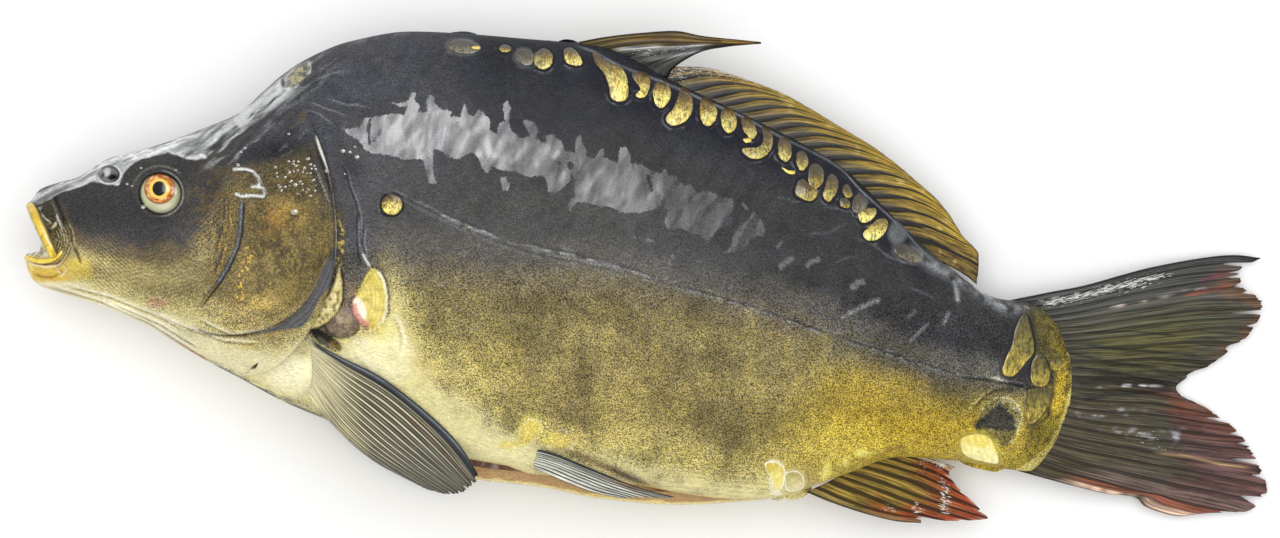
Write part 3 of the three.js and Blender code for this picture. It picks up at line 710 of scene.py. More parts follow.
def trunk_paint(u, v, q, x, y, side):
    col = side_tone(u, v, q)
    speck = mix(0.55, 1.0, smooth(240, 300, v + 0.1 * (600 - u)))

    # rear quarter, strong yellow underneath
    rear = smooth(770, 850, u) * smooth(-14, 26, v + 6 * fbm(q, 9, 2, 20) - profile([(760, 380), (840, 366), (900, 372), (960, 402), (1010, 404), (1075, 380)])(u))
    col = over(col, (176, 152, 60), 0.80 * rear)
    col = over(col, (200, 176, 60), 0.80 * blob(u, v, 872, 438, 62, 18, 8))
    col = over(col, (206, 184, 84), 0.65 * blob(u, v, 826, 448, 52, 22, -8))
    col = over(col, (178, 148, 44), 0.70 * blob(u, v, 905, 425, 46, 18, 14))
    col = over(col, (96, 86, 50), 0.70 * blob(u, v, 962, 398, 42, 15, 10) * smooth(-0.2, 0.5, fbm(q, 9, 2, 21)))
    col = over(col, (84, 78, 46), 0.55 * blob(u, v, 880, 404, 56, 8, 8) * smooth(-0.1, 0.5, fbm(q, 10, 2, 23)))
    col = over(col, (80, 78, 66), 0.80 * blob(u, v, 900, 352, 44, 12, 14))
    # shoulder and pectoral base: cream
    col = over(col, (226, 214, 148), 0.9 * blob(u, v, 392, 322, 20, 46, -10) * smooth(374, 388, u))
    col = over(col, (244, 238, 190), 0.95 * smooth(0.25, 0.8, blob(u, v, 378, 362, 44, 34, -25)) * smooth(328, 338, u))
    col = over(col, (226, 216, 160), 0.75 * blob(u, v, 432, 420, 54, 26, 32))
    col = over(col, (238, 230, 176), 0.70 * blob(u, v, 500, 450, 46, 15, 12))
    col = over(col, (196, 176, 110), 0.35 * smooth(0.1, 0.5, fbm(q, 6, 3, 24)) * blob(u, v, 410, 390, 60, 50, 30))
    col = over(col, (150, 112, 70), 0.3 * line(u, v, [(420, 372), (444, 386), (456, 396)], 5, 0.3))

    col = over(col, (244, 238, 196), 0.9 * smooth(0.2, 0.8, blob(u, v, 292, 374, 34, 22, 10)))
    # tail root and its golden fringe
    rim = TAIL_RIM(v)
    dr = rim - u + 3.0 * fbm(q, 2.4, 2, 33)
    root = smooth(1026, 1040, u + 0.12 * np.abs(v - 385)) * smooth(300, 316, v)
    col = over(col, (92, 84, 50), 0.85 * root)
    gold = smooth(30, 12, dr + 6 * fbm(q, 5, 2, 31)) * smooth(302, 322, v)
    col = over(col, (108, 98, 52), 0.88 * gold)
    col = over(col, (160, 142, 52), 0.85 * gold * smooth(-0.25, 0.35, fbm(q, 3.4, 2, 30) + 0.012 * (v - 380)))
    col = over(col, (206, 176, 56), 0.7 * gold * smooth(0.0, 0.5, fbm(q, 4.4, 2, 35)) * smooth(330, 372, v))
    col = over(col, (74, 68, 40), 0.75 * gold * smooth(0.05, 0.45, -fbm(q, 3.0, 2, 36)))
    col = over(col, (214, 198, 118), 0.75 * smooth(3.0, 0.5, dr) * smooth(304, 330, v))
    col = over(col, (48, 48, 50), 0.8 * smooth(998, 1012, u) * smooth(1040, 1028, u) * smooth(396, 384, v) * smooth(300, 320, v))
    e = np.hypot((u - 998 + 0.2 * (v - 422) + 1.5 * fbm(q, 5, 2, 39)) / 23, (v - 424) / 27)
    inlost = smooth(1.02, 0.88, e)
    crump = fbm(q, 1.7, 2, 37)
    col = over(col, (120, 112, 78), 0.85 * inlost)
    col = over(col, (164, 158, 130), 0.75 * inlost * smooth(-0.35, 0.35, crump) * smooth(0.1, 0.6, e) * smooth(440, 418, v - 0.4 * (u - 1000)))
    col = over(col, (58, 52, 36), 0.32 * inlost * smooth(0.05, 0.35, -crump))
    col = over(col, (92, 84, 54), 0.8 * inlost * smooth(427, 434, v + 0.1 * (u - 1000)))
    hole = inside(u, v, [(972, 424), (983, 416), (992, 407), (1000, 402), (1008, 408), (1015, 420), (1017, 431), (1005, 433), (988, 430), (976, 430)]) + 2.4 * fbm(q, 2.0, 2, 40)
    col = over(col, (40, 41, 54), 0.9 * smooth(-1.0, 2.6, hole))
    col = over(col, (206, 198, 164), 0.7 * bump(e, 0.98, 0.05) * smooth(-0.3, 0.2, crump + 0.012 * (u - 990)) * smooth(446, 436, v))
    col = stroke(col, u, v, [(972, 412), (983, 398), (994, 391), (1006, 389), (1016, 394)], 1.2, (44, 40, 28), 0.8, 0.2)
    col = stroke(col, u, v, [(968, 416), (972, 405), (984, 394), (996, 386)], 1.0, (190, 176, 112), 0.6, 0.25)
    for pts in ([(1016, 304), (1030, 322), (1036, 345), (1031, 366), (1020, 380)], [(1030, 364), (1044, 358), (1053, 370), (1047, 388)],
                [(960, 377), (1000, 381), (1030, 388), (1052, 387)], [(1052, 372), (1053, 392), (1048, 416), (1037, 426)], [(1014, 386), (1028, 388), (1030, 404), (1028, 424)]):
        col = stroke(col, u, v, pts, 1.8, (30, 31, 38), 0.8)
    col = over(col, (222, 220, 210), 0.8 * blob(u, v, 998, 379, 7, 1.6, 14))

    # dark band along the back fin and the pale fold at its foot
    db = v - BACK_FIN_FOOT(u)
    inband = smooth(572, 596, u) * smooth(940, 905, u)
    col = over(col, (33, 34, 43), 0.92 * inband * smooth(50, 24, db + 6 * fbm(q, 7, 2, 42)) * smooth(-4, 2, db))
    col = over(col, (138, 140, 146), 0.85 * inband * np.exp(-((db - 1.4) / 1.3) ** 2) * (0.75 + 0.6 * fbm(q, 5, 2, 41)))
    col = over(col, (96, 98, 106), 0.25 * inband * np.exp(-((db - 6.5) / 0.9) ** 2) * smooth(-0.2, 0.4, fbm(q, 6, 2, 43)))
    # grey slime behind the fin and along the ridge to the tail, with a painted highlight along the ridge
    ridge = profile([(890, 226), (910, 246), (924, 259), (948, 274), (977, 290), (1000, 304), (1022, 310)])(u)
    sl = fbm(q, 4.0, 3, 44)
    col = over(col, (132, 136, 138), 0.9 * np.exp(-((v - ridge) / 7.0) ** 2) * smooth(906, 926, u) * smooth(1030, 1008, u) * smooth(-0.55, 0.1, sl))
    col = over(col, (196, 198, 196), 0.8 * np.exp(-((v - ridge + 1) / 3.4) ** 2) * smooth(930, 950, u) * smooth(1026, 1006, u) * smooth(-0.1, 0.4, sl))
    col = over(col, (170, 174, 174), 0.8 * line(u, v, [(953, 278), (957, 292), (958, 304)], 2.0, 0.2))
    col = over(col, (108, 112, 114), 0.9 * smooth(0.35, 0.7, blob(u, v, 898, 232, 12, 15, 20)) * (0.9 + 0.4 * sl))
    # small pale grey marks: painted reflections of small wet spots
    for pts, wd, a in (([(883, 298), (862, 307), (839, 319)], 2.4, 0.75), ([(866, 280), (858, 283), (850, 289)], 3.4, 0.7), ([(949, 311), (943, 326)], 2.2, 0.65),
                       ([(931, 321), (915, 336), (909, 344)], 1.6, 0.6), ([(907, 318), (917, 310)], 1.7, 0.5), ([(821, 258), (810, 263), (806, 268)], 2.6, 0.6),
                       ([(795, 257), (786, 262), (778, 270)], 2.8, 0.6), ([(632, 236), (637, 238)], 1.5, 0.5),
                       ([(674, 254), (668, 266)], 1.2, 0.6), ([(783, 241), (776, 248)], 1.6, 0.5), ([(558, 247), (575, 251)], 1.2, 0.6),
                       ([(742, 203), (748, 210)], 1.4, 0.5)):
        m = line(u, v, pts, wd, 0.12)
        col = over(col, (124, 126, 126), a * smooth(0.25, 0.6, m + 0.3 * fbm(q, 2, 2, 47)))
    for pts in ([(700, 292), (730, 288), (760, 290)], [(815, 205), (850, 212), (880, 214)], [(870, 246), (905, 262), (925, 268)], [(800, 236), (828, 232), (850, 222)],
                [(830, 262), (860, 256)], [(905, 286), (940, 300)], [(770, 196), (800, 202), (824, 200)], [(848, 236), (872, 244), (898, 262)]):
        col = stroke(col, u, v + 2.5 * fbm(q, 5, 2, 46), pts, 1.0, (110, 112, 118), 0.42, 0.3)

    # lateral line
    dl, tl, sg = seg_dist(u, v, LATERAL)
    sd = dl * sg
    wav = 1.3 * fbm(q, 3, 2, 49)
    brk = smooth(-0.45, 0.25, fbm(q, 3.5, 2, 50))
    col = over(col, (140, 139, 138), 0.50 * brk * np.exp(-((sd + 2.8 + wav) / 1.0) ** 2) * smooth(0, 0.05, tl))
    col = over(col, (132, 130, 128), 0.42 * brk * np.exp(-((sd - 2.6 + wav) / 0.9) ** 2) * smooth(0, 0.05, tl))
    col = over(col, (60, 59, 60), 0.34 * np.exp(-((sd + wav) / 1.3) ** 2))
    # pale yellow bloom at the vent and above the left belly fin
    for cu, cv, ru, rv, tn, a in ((529, 430, 13, 15, 24, 0.75), (556, 441, 13, 8, 0, 0.6), (777, 477, 8, 15, -8, 0.7), (793, 482, 10, 10, 0, 0.6), (826, 471, 6, 16, 14, 0.6),
                                  (862, 453, 10, 6, 0, 0.6), (980, 447, 20, 14, 12, 0.9), (508, 446, 12, 6, 0, 0.5), (845, 462, 8, 8, 0, 0.4)):
        m = blob(u, v, cu, cv, ru, rv, tn)
        col = over(col, (224, 208, 96), a * smooth(0.15, 0.75, m + 0.15 * fbm(q, 2.4, 2, 26)))
        col = over(col, (246, 236, 150), 0.6 * a * smooth(0.6, 1.0, m + 0.2 * fbm(q, 2.0, 2, 27)))
    # painted shadow in the groove above the left belly fin, where the flank shades the fin, and a brown line ahead of
    # the anal fin
    col = over(col, (92, 64, 34), 0.7 * line(u, v, [(556, 450), (590, 461), (625, 474), (650, 487), (668, 494)], 4.5, 0.25))
    col = over(col, (60, 40, 26), 0.7 * line(u, v, [(600, 466), (630, 478), (655, 490)], 2.4, 0.25))
    col = over(col, (120, 84, 44), 0.5 * line(u, v, [(884, 450), (895, 448), (906, 445)], 3.0, 0.2))
    # belly edges
    nb = belly(x) + (cut_step(x) if side > 0 else 0)
    col = over(col, (206, 182, 112), 0.8 * np.exp(-((y - nb) / 1.1) ** 2) * gap_open(x))
    # painted light and shade of small skin folds on the lower belly: lighter and darker bands
    fold = np.sin(2 * math.pi * (v - 0.10 * u) / 5.0 + 2.5 * fbm(q, 9, 2, 63)) * smooth(448, 474, v) * smooth(640, 700, u) * smooth(830, 800, u)
    col = col * (1 + 0.08 * fold)[..., None]

    col, nape = nape_slime_and_painted_sheen(col, u, v, q)
    # shoulder behind the gill cover, with thin pale streaks painted as sheen
    near = smooth(392, 366, u + 0.1 * (v - 200))
    col = over(col, (82, 81, 84), 0.80 * near * smooth(140, 160, v) * smooth(300, 276, v))
    col = over(col, (58, 58, 62), 0.7 * blob(u, v, 352, 168, 16, 16, 0))
    for i, pts in enumerate(([(300, 108), (318, 114), (336, 126)], [(304, 100), (326, 108), (350, 118)], [(322, 96), (346, 104), (376, 108)], [(310, 84), (330, 74), (352, 70)])):
        col = stroke(col, u, v + 1.5 * fbm(q, 5, 2, 130 + i), pts, 0.9, (138, 140, 142), 0.55, 0.3)
    ring = np.hypot(u - 366, v - 268)
    fine = np.sin(2 * math.pi * ring / 3.6 + 1.6 * fbm(q, 5, 2, 94))
    col = col * (1 + 0.16 * fine * blob(u, v, 384, 240, 26, 42, 0))[..., None]
    # creases behind the gill cover: painted shade in each crease (dark stroke) and a painted highlight beside it (pale
    # stroke)
    for pts in SHOULDER:
        col = stroke(col, u, v, pts, 1.2, (34, 34, 42), 0.85)
        col = stroke(col, u - 2.2, v, pts, 1.0, (150, 152, 158), 0.6, 0.2)
    col = stroke(col, u, v, [(362, 252), (366, 260), (371, 268)], 1.3, (226, 226, 220), 0.9, 0.2)
    # gold-flecked strip right behind the cover
    strip = smooth(345, 343, u) * smooth(210, 224, v) * smooth(280, 274, v)
    gf = smooth(0.0, 0.35, fbm(q, 1.7, 2, 95))
    col = over(col, (84, 80, 70), 0.85 * smooth(347, 344, u) * smooth(200, 214, v) * smooth(282, 276, v))
    col = over(col, (206, 180, 98), 0.9 * strip * gf)
    dsh = inside(u, v, MEMBRANE)
    col = over(col, (120, 108, 98), 0.85 * smooth(-16, -7, dsh) * smooth(362, 350, u) * smooth(272, 288, v) * smooth(344, 332, v))
    col = over(col, (214, 196, 128), 0.96 * smooth(-0.8, 0.8, dsh))
    col = over(col, (246, 232, 176), 0.8 * smooth(0.6, 2.5, dsh) * smooth(-0.1, 0.35, fbm(q, 1.6, 2, 91)))
    col = over(col, (104, 86, 44), 0.75 * smooth(0.6, 2.5, dsh) * smooth(0.05, 0.4, -fbm(q, 1.5, 2, 92)))
    col = over(col, (22, 21, 24), 0.93 * np.exp(-((dsh + 0.9) / 1.5) ** 2) * smooth(306, 316, u + 0.6 * (v - 320)))
    # knob, painted lighter on top as a highlight and with painted shade round its lower edge, and the painted shadow
    # pocket over the pectoral fin
    knob = np.hypot((u - 342) / 17, (v - 322) / 15)
    km = smooth(1.12, 0.92, knob) * smooth(-0.4, -1.6, dsh)
    col = over(col, (128, 110, 92), 0.9 * km)
    col = over(col, (206, 184, 150), 0.8 * km * blob(u, v, 341, 317, 9, 6, 10) * (0.7 + 0.8 * fbm(q, 1.4, 2, 96)))
    col = over(col, (78, 62, 56), 0.6 * km * smooth(0.0, 0.4, fbm(q, 1.7, 2, 97)))
    col = over(col, (40, 34, 34), 0.85 * bump(knob, 1.06, 0.08) * smooth(318, 330, v))
    col = over(col, (18, 16, 18), 0.96 * smooth(0.35, 0.62, blob(u, v, 326, 340, 21, 7.5, 34)))
    col = over(col, (126, 100, 52), 0.9 * smooth(0.3, 0.8, blob(u, v, 334, 346, 8, 5, 34)))
    plate = inside(u, v, BASE_SCALE)
    arcs = 0.5 + 0.5 * np.sin((np.hypot(u - 357, (v - 300) * 0.62) + 0.7 * fbm(q, 3, 2, 98)) * 2 * math.pi / 3.9)
    col = over(col, (112, 88, 88), 0.7 * smooth(-9, -2, plate) * smooth(366, 352, u - 0.3 * (v - 300)) * smooth(262, 276, v))
    col = over(col, (44, 42, 46), 0.80 * np.exp(-((plate + 1.8) / 1.4) ** 2) * smooth(372, 380, u) * smooth(322, 312, v))
    col = over(col, (216, 196, 92), 0.97 * smooth(-0.6, 0.6, plate))
    col = over(col, (242, 230, 150), 0.75 * smooth(0.5, 1.5, plate) * arcs * smooth(-0.5, 0.3, fbm(q, 2.4, 2, 99)))
    col = over(col, (150, 130, 56), 0.5 * smooth(0.5, 1.5, plate) * smooth(0.1, 0.5, -fbm(q, 2.0, 2, 90)))
    col = over(col, (250, 248, 230), 0.9 * np.exp(-((plate - 0.8) / 1.0) ** 2) * smooth(374, 381, u))
    col = over(col, (250, 238, 214), 0.95 * smooth(0.35, 0.6, blob(u, v, 359, 309, 8, 14, -20)) * smooth(-1.5, 0.5, plate))
    col = over(col, (224, 150, 140), 0.85 * smooth(0.4, 0.8, line(u, v, [(354, 302), (356, 313), (362, 321), (371, 326)], 3.4, 0.1)))
    for pts, rgb in (([(513, 446), (519, 437), (522, 426), (530, 420), (539, 422), (540, 430), (533, 440), (524, 448)], (214, 192, 96)),
                     ([(547, 441), (553, 434), (563, 431), (571, 436), (572, 445), (565, 450), (554, 449)], (212, 190, 104)), ([(497, 448), (503, 441), (515, 441), (512, 449)], (222, 204, 116))):
        e = inside(u, v, pts) + 0.8 * fbm(q, 2.4, 2, 160)
        col = over(col, rgb, 0.7 * smooth(-0.8, 2.2, e))
        col = over(col, (244, 238, 212), 0.3 * np.exp(-((e + 1.2) / 1.0) ** 2) * smooth(-0.2, 0.2, fbm(q, 4, 2, 161) + 0.02 * (u - pts[0][0])))
    # soft skin folds at the foot of the pectoral fin: a darker line and a pale line beside it, painted shade and
    # highlight of each fold
    for pts in ([(388, 312), (397, 322), (402, 340), (398, 356)], [(346, 340), (358, 344), (372, 340)], [(352, 352), (366, 366), (372, 384)], [(336, 352), (344, 362), (352, 376)]):
        col = stroke(col, u, v, pts, 1.8, (176, 154, 92), 0.5, 0.25)
        col = stroke(col, u - 3, v, pts, 2.0, (252, 248, 222), 0.5, 0.25)
    # long skin folds over the flank: a dark line under each and broken pale lines on and above it, painted shade and
    # highlight
    for i, pts in enumerate(([(436, 212), (455, 221), (470, 228), (500, 238)], [(518, 244), (560, 254), (600, 262), (640, 274), (664, 282)],
                             [(664, 284), (700, 294), (740, 305), (790, 322), (840, 338)], [(850, 342), (900, 358), (960, 377)])):
        wv = v + 1.6 * fbm(q, 6, 2, 140 + i)
        gap = smooth(-0.35, 0.1, fbm(q, 2.4, 2, 150 + i))
        col = over(col, (44, 44, 50), 0.55 * line(u, wv + 2.0, pts, 1.6, 0.15))
        col = over(col, (186, 188, 188), (0.62, 0.62, 0.34, 0.3)[i] * gap * line(u, wv, pts, 0.9, 0.15))
        col = over(col, (150, 150, 146), (0.4, 0.4, 0.2, 0.1)[i] * gap * line(u, wv - 3.4, pts, 0.8, 0.2))
    # painted light and shade: soft lighter and darker spots at the tail root, the throat and the ridge
    col = painted_light_and_shade(col, u, v, [(1048, 438, 20, 18, -0.4), (1048, 398, 16, 16, 0.35), (1000, 430, 16, 12, 0.5), (322, 370, 22, 14, 0.32), (960, 280, 26, 10, -0.4)])
    col = col * (1 + np.array([0.02, 0.0, -0.34]) * (0.9 * blob(u, v, 985, 425, 44, 42) + 0.8 * blob(u, v, 380, 335, 12, 12))[..., None])
    lum = col.mean(-1)
    speck = mix(speck, 0.4, smooth(0.36, 0.60, lum))
    speck = np.where(plate > 0, 0.12, speck)
    speck = mix(speck, 0.35, np.clip(smooth(-0.8, 0.8, dsh) + km, 0, 1))
    if side > 0:
        film = inside(u, v, PATCH)
        for pts in [DRIP] + BITS:
            film = np.maximum(film, inside(u, v, pts))
        film = np.minimum(film, np.hypot((u - 570.5), (v - 165) * 0.8) - 3.2)
        film = np.minimum(film, np.hypot((u - 559), (v - 163)) - 1.6)
        film = np.minimum(film, np.maximum(seg_dist(u, v, [(370, 119), (368, 132), (370, 145)])[0] - 1.3, -1.5))
        film = np.minimum(film, np.maximum(seg_dist(u, v, [(648, 176), (652, 190)])[0] - 1.5, -1.5))
    else:
        film = np.full(np.shape(u), -60.0)
    # lighter grey painted under the film: partly the milky film's own colour, partly a painted reflection
    col = over(col, (92, 93, 96), 0.35 * smooth(-0.6, 0.8, film))
    wet = mix(0.01, 0.10, smooth(-30, 60, v - GOLD_EDGE(u)))
    wet = np.maximum(wet, 0.3 * np.exp(-((v - ridge) / 6.0) ** 2) * smooth(915, 935, u))
    wet = np.maximum(wet, 0.5 * smooth(0, 2, plate))
    return col, speck, film, wet


def nape_slime_and_painted_sheen(col, u, v, q):
    """Pale slime over the nape and painted sheen: streaks that run up and back, painted pale and white as highlights
    and brighter than the slime's own tone where the steep nape gets less lamp light; the soft lump on it.
    """
    dt = v - TOP_LINE(u)
    a = math.radians(-38)
    along, cross_ = u * math.cos(a) + v * math.sin(a), -u * math.sin(a) + v * math.cos(a)
    bend = 4 * fbm(q, 10, 2, 62)
    st = noise3(np.stack([along / 22, (cross_ + bend) / 3.2, 0 * u + 3], -1), 1.0, 83) + 0.55 * noise3(np.stack([along / 9, (cross_ + bend) / 1.6, 0 * u + 8], -1), 1.0, 84)
    m = smooth(48, 10, dt + 9 * fbm(q, 9, 2, 67)) * smooth(196, 214, u) * smooth(356, 286, u)
    col = over(col, (84, 86, 88), 0.55 * m)
    # painted sheen: pale grey and white streaks near the top line stand in for the wet skin's reflection
    col = over(col, (142, 145, 145), 0.85 * m * smooth(26, 8, dt) * smooth(250, 226, u))
    col = over(col, (148, 150, 150), 0.75 * m * smooth(0.0, 0.6, st + 0.3 * smooth(14, 2, dt)))
    col = over(col, (222, 224, 222), 0.85 * m * smooth(0.3, 0.8, st + 0.5 * smooth(12, 1, dt)) * smooth(292, 262, u + 0.5 * dt))
    col = over(col, (40, 41, 47), 0.6 * m * smooth(0.2, 0.7, -st) * smooth(4, 12, dt))
    thin = blob(u, v, 262, 146, 46, 20, -24)
    col = over(col, (150, 152, 156), 0.5 * thin * smooth(0.5, 0.9, st))
    col = over(col, (126, 128, 130), 0.55 * smooth(7, 1, dt) * smooth(196, 214, u) * smooth(470, 330, u) * smooth(-0.6, 0.3, st))
    # painted highlight: a pale band of sheen along the nape
    band = smooth(0.1, 0.7, line(u, v, [(232, 124), (258, 108), (276, 94), (290, 80)], 9, 0.1)) * smooth(-1.5, -0.1, st)
    col = over(col, (218, 220, 220), 0.85 * band)
    col = over(col, (104, 84, 58), 0.5 * smooth(0.35, 0.8, blob(u, v, 303, 117, 4, 9, 10) + 0.35 * fbm(q, 2.6, 3, 70)))
    lump = (u - 297) * math.cos(math.radians(-45)) + (v - 76) * math.sin(math.radians(-45)), -(u - 297) * math.sin(math.radians(-45)) + (v - 76) * math.cos(math.radians(-45))
    e = np.hypot(lump[0] / 17, lump[1] / 7.5) + 0.12 * fbm(q, 3, 2, 86)
    col = over(col, (112, 112, 104), 0.75 * smooth(1.0, 0.85, e))
    col = over(col, (186, 178, 140), 0.7 * smooth(1.0, 0.8, e) * smooth(-0.1, 0.3, fbm(q, 2.2, 2, 66)))
    col = over(col, (216, 218, 216), 0.8 * bump(e, 1.0, 0.10) * smooth(-0.35, 0.15, fbm(q, 3.0, 2, 65)))
    col = over(col, (36, 36, 40), 0.85 * smooth(0.3, 0.8, blob(u, v, 283, 83, 3.0, 6.0, -8)))
    # painted shade: soft darker spots over the nape
    col = painted_light_and_shade(col, u, v, [(220, 130, 16, 9, -0.16), (290, 112, 12, 9, -0.14), (236, 124, 16, 10, -0.16), (262, 107, 15, 10, -0.2)])
    off = (np.abs(q[..., 2]) - middle(q[..., 0])) / np.maximum(1, halfw(q[..., 0]))
    crown = smooth(0.42, 0.14, off) * smooth(196, 214, u) * smooth(350, 300, u)
    col = over(col, (64, 66, 71), 0.8 * crown * smooth(-0.35, 0.25, fbm(q * np.array([0.22, 0.9, 0.7]), 2.6, 3, 91)))
    col = over(col, (52, 54, 60), 0.75 * crown * smooth(0.30, 0.08, off) * smooth(-0.6, 0.2, fbm(q * np.array([0.3, 1.2, 0.9]), 1.8, 2, 93)))
    col = over(col, (150, 152, 154), 0.35 * crown * smooth(0.25, 0.5, fbm(q * np.array([0.3, 1.2, 0.9]), 1.5, 2, 94)))
    col = over(col, (70, 72, 77), 0.6 * m * smooth(0.0, 0.25, off) * (q[..., 2] < 0))
    return col, m


def head_paint(u, v, q, x, y, side):
    col = plain_col(np.shape(u), (66, 65, 64))
    low = profile([(20, 214), (62, 216), (76, 232), (96, 248), (120, 252), (150, 255), (180, 252), (200, 232), (216, 204), (232, 182), (262, 166), (300, 162), (345, 176)])(u)
    dh = v - low + 7 * fbm(q, 12, 3, 71) + 4 * fbm(q, 3.5, 2, 72)
    front = smooth(226, 176, u)
    col = over(col, (98, 90, 72), smooth(-16, 0, dh))
    col = over(col, (118, 105, 70), smooth(-2, 16, dh))
    col = over(col, (150, 137, 94), smooth(2, 18, dh) * front)
    col = over(col, (172, 158, 110), smooth(14, 32, dh) * front)
    chin = profile([(20, 272), (60, 282), (100, 290), (140, 302), (190, 318), (240, 344), (270, 352), (300, 338), (315, 330), (350, 328)])(u)
    dc = v - chin + 6 * fbm(q, 12, 2, 75)
    col = over(col, (170, 155, 104), 0.85 * smooth(-44, -26, dc))
    col = over(col, (200, 187, 128), smooth(-20, -4, dc))
    col = over(col, (230, 222, 176), smooth(-6, 12, dc))
    col = over(col, (244, 240, 216), 0.8 * smooth(10, 24, dc) * smooth(200, 120, u))
    # brown blotches between the dark and the gold
    bl = fbm(q, 6.5, 3, 73)
    bs = fbm(q, 2.6, 3, 70)
    col = over(col, (112, 96, 66), 0.45 * smooth(0.0, 0.4, bs) * np.exp(-((dh + 2) / 12) ** 2))
    col = over(col, (100, 84, 54), 0.65 * smooth(-0.1, 0.3, bs) * blob(u, v, 210, 184, 26, 30, 20))
    col = over(col, (136, 110, 62), 0.60 * smooth(0.0, 0.35, bs) * blob(u, v, 214, 236, 18, 40, 12))
    col = over(col, (62, 60, 70), 0.55 * smooth(0.05, 0.4, -bs) * blob(u, v, 212, 236, 20, 40, 12))
    # gill cover plates
    op = blob(u, v, 288, 246, 54, 80, 0)
    m1, m2 = fbm(q, 9, 2, 74), fbm(q, 3.4, 3, 76)
    col = over(col, (118, 103, 66), 0.8 * op)
    col = over(col, (80, 74, 58), 0.75 * smooth(216, 176, v) * smooth(238, 256, u))
    col = over(col, (78, 70, 54), 0.70 * smooth(-0.05, 0.4, m1) * op * smooth(300, 270, v))
    col = over(col, (152, 132, 78), 0.45 * smooth(0.05, 0.4, m2) * op * smooth(196, 226, v))
    col = over(col, (70, 60, 38), 0.45 * smooth(0.05, 0.4, -m2) * op)
    col = over(col, (98, 80, 48), 0.55 * blob(u, v, 300, 172, 26, 18, -20) * smooth(-0.4, 0.3, m2))
    col = over(col, (190, 158, 86), 0.85 * smooth(0.15, 1.0, blob(u, v, 290, 213, 24, 14, 25)) * smooth(-0.6, 0.3, m2))
    col = over(col, (178, 118, 50), 0.55 * blob(u, v, 272, 220, 12, 12, -20) * smooth(-0.3, 0.4, fbm(q, 2.5, 2, 79)))
    col = over(col, (150, 128, 72), 0.45 * blob(u, v, 325, 218, 8, 20, 0) * smooth(-0.3, 0.3, m2))
    col = over(col, (168, 146, 84), 0.75 * smooth(0.1, 0.8, line(u, v, [(228, 300), (256, 304), (284, 294), (300, 280)], 9, 0.2)) * smooth(-0.7, 0.1, m2))
    col = over(col, (92, 82, 58), 0.6 * line(u, v, [(276, 262), (296, 268), (318, 254)], 11, 0.3))
    col = over(col, (182, 156, 86), 0.70 * blob(u, v, 262, 338, 34, 10, -4) * smooth(-0.2, 0.3, m2))
    fl = smooth(0.14, 0.34, fbm(q, 0.9, 2, 78))
    col = over(col, (226, 186, 86), 0.75 * fl * smooth(0.25, 0.7, line(u, v, [(246, 240), (250, 254), (245, 268), (239, 286), (241, 304)], 5, 0.1)))
    col = over(col, (190, 164, 88), 0.35 * fl * op)
    # charcoal round and above the eye
    col = over(col, (58, 57, 59), 0.9 * blob(u, v, 112, 212, 56, 24, 8))
    col = over(col, (58, 58, 60), 0.8 * blob(u, v, 175, 172, 40, 14, -6))
    col = over(col, (50, 52, 62), 0.85 * smooth(0.2, 0.8, blob(u, v, 268, 146, 56, 17, -16)))
    # cheek wrinkles, finer than the folds, painted as lighter and darker bands: painted light and shade of the wrinkles
    wa = np.sin(2 * math.pi * (v * 0.78 + 0.62 * (180 - u) + 0.0016 * (u - 150) ** 2) / 3.4 + 2.0 * fbm(q, 7, 2, 85))
    wr = np.sin(2 * math.pi * (v * 0.95 + 0.0022 * (u - 150) ** 2 + 0.22 * u) / 3.9 + 2.0 * fbm(q, 7, 2, 85))
    wc = np.sin(2 * math.pi * (v * 0.70 + u * 0.72) / 4.2 + 1.6 * fbm(q, 6, 2, 88))
    wm = blob(u, v, 150, 276, 56, 26, 6) + 0.8 * blob(u, v, 262, 316, 48, 18, -8)
    col = col * (1 + 0.20 * wr * np.clip(wm, 0, 1) + 0.34 * wa * np.clip(blob(u, v, 102, 258, 34, 26, 30), 0, 1)
                 + 0.34 * wc * np.clip(blob(u, v, 206, 226, 16, 34, 30), 0, 1))[..., None]
    for cu in (136, 144, 152, 166, 181):
        dots = 0.5 + 0.5 * np.cos(2 * math.pi * (v + 0.3 * u) / 4.4)
        col = over(col, (206, 190, 138), 0.7 * dots ** 3 * blob(u + 0.25 * (v - 276), v, cu, 276, 2.0, 13, 0))
        col = over(col, (92, 82, 54), 0.5 * (1 - dots) ** 3 * blob(u + 0.25 * (v - 276), v, cu + 1, 276, 2.2, 13, 0))
    # pale skin inside the mouth with brown stripes
    inm = smooth(-0.6, 0.8, inside(u, v, [(26, 257), (34, 250), (44, 245), (50, 250), (52, 258), (44, 261), (32, 260)]))
    col = over(col, (226, 224, 200), 0.9 * inm)
    for pts in ([(33, 259), (38, 254), (44, 249)], [(36, 260), (41, 254.5), (47, 249)], [(30, 257), (35, 252.5), (41, 248)]):
        col = over(col, (70, 60, 34), 0.8 * inm * line(u, v, pts, 0.8, 0.1))
    # yellow jaw
    jaw = smooth(84, 58, u) * smooth(254, 262, v)
    col = over(col, (218, 184, 78), 0.92 * jaw)
    col = over(col, (240, 220, 150), 0.6 * jaw * smooth(0.0, 0.5, fbm(q, 3, 2, 69)))
    col = over(col, (150, 96, 44), 0.75 * line(u, v, [(32, 273), (42, 277), (52, 277.5), (61, 273)], 1.6, 0.2))
    col = over(col, (236, 228, 190), 0.9 * smooth(279, 285, v) * smooth(100, 62, u))
    # painted shadow in the crease under the lower lip (dark line), with a pale line just above it
    under = [(28, 259.3), (34, 262.6), (45, 264.6), (57, 263.4), (63, 259)]
    col = over(col, (252, 240, 206), 0.85 * line(u, v - 2.4, under, 1.1, 0.1))
    col = over(col, (84, 48, 24), 0.92 * line(u, v, under, 1.3, 0.1))
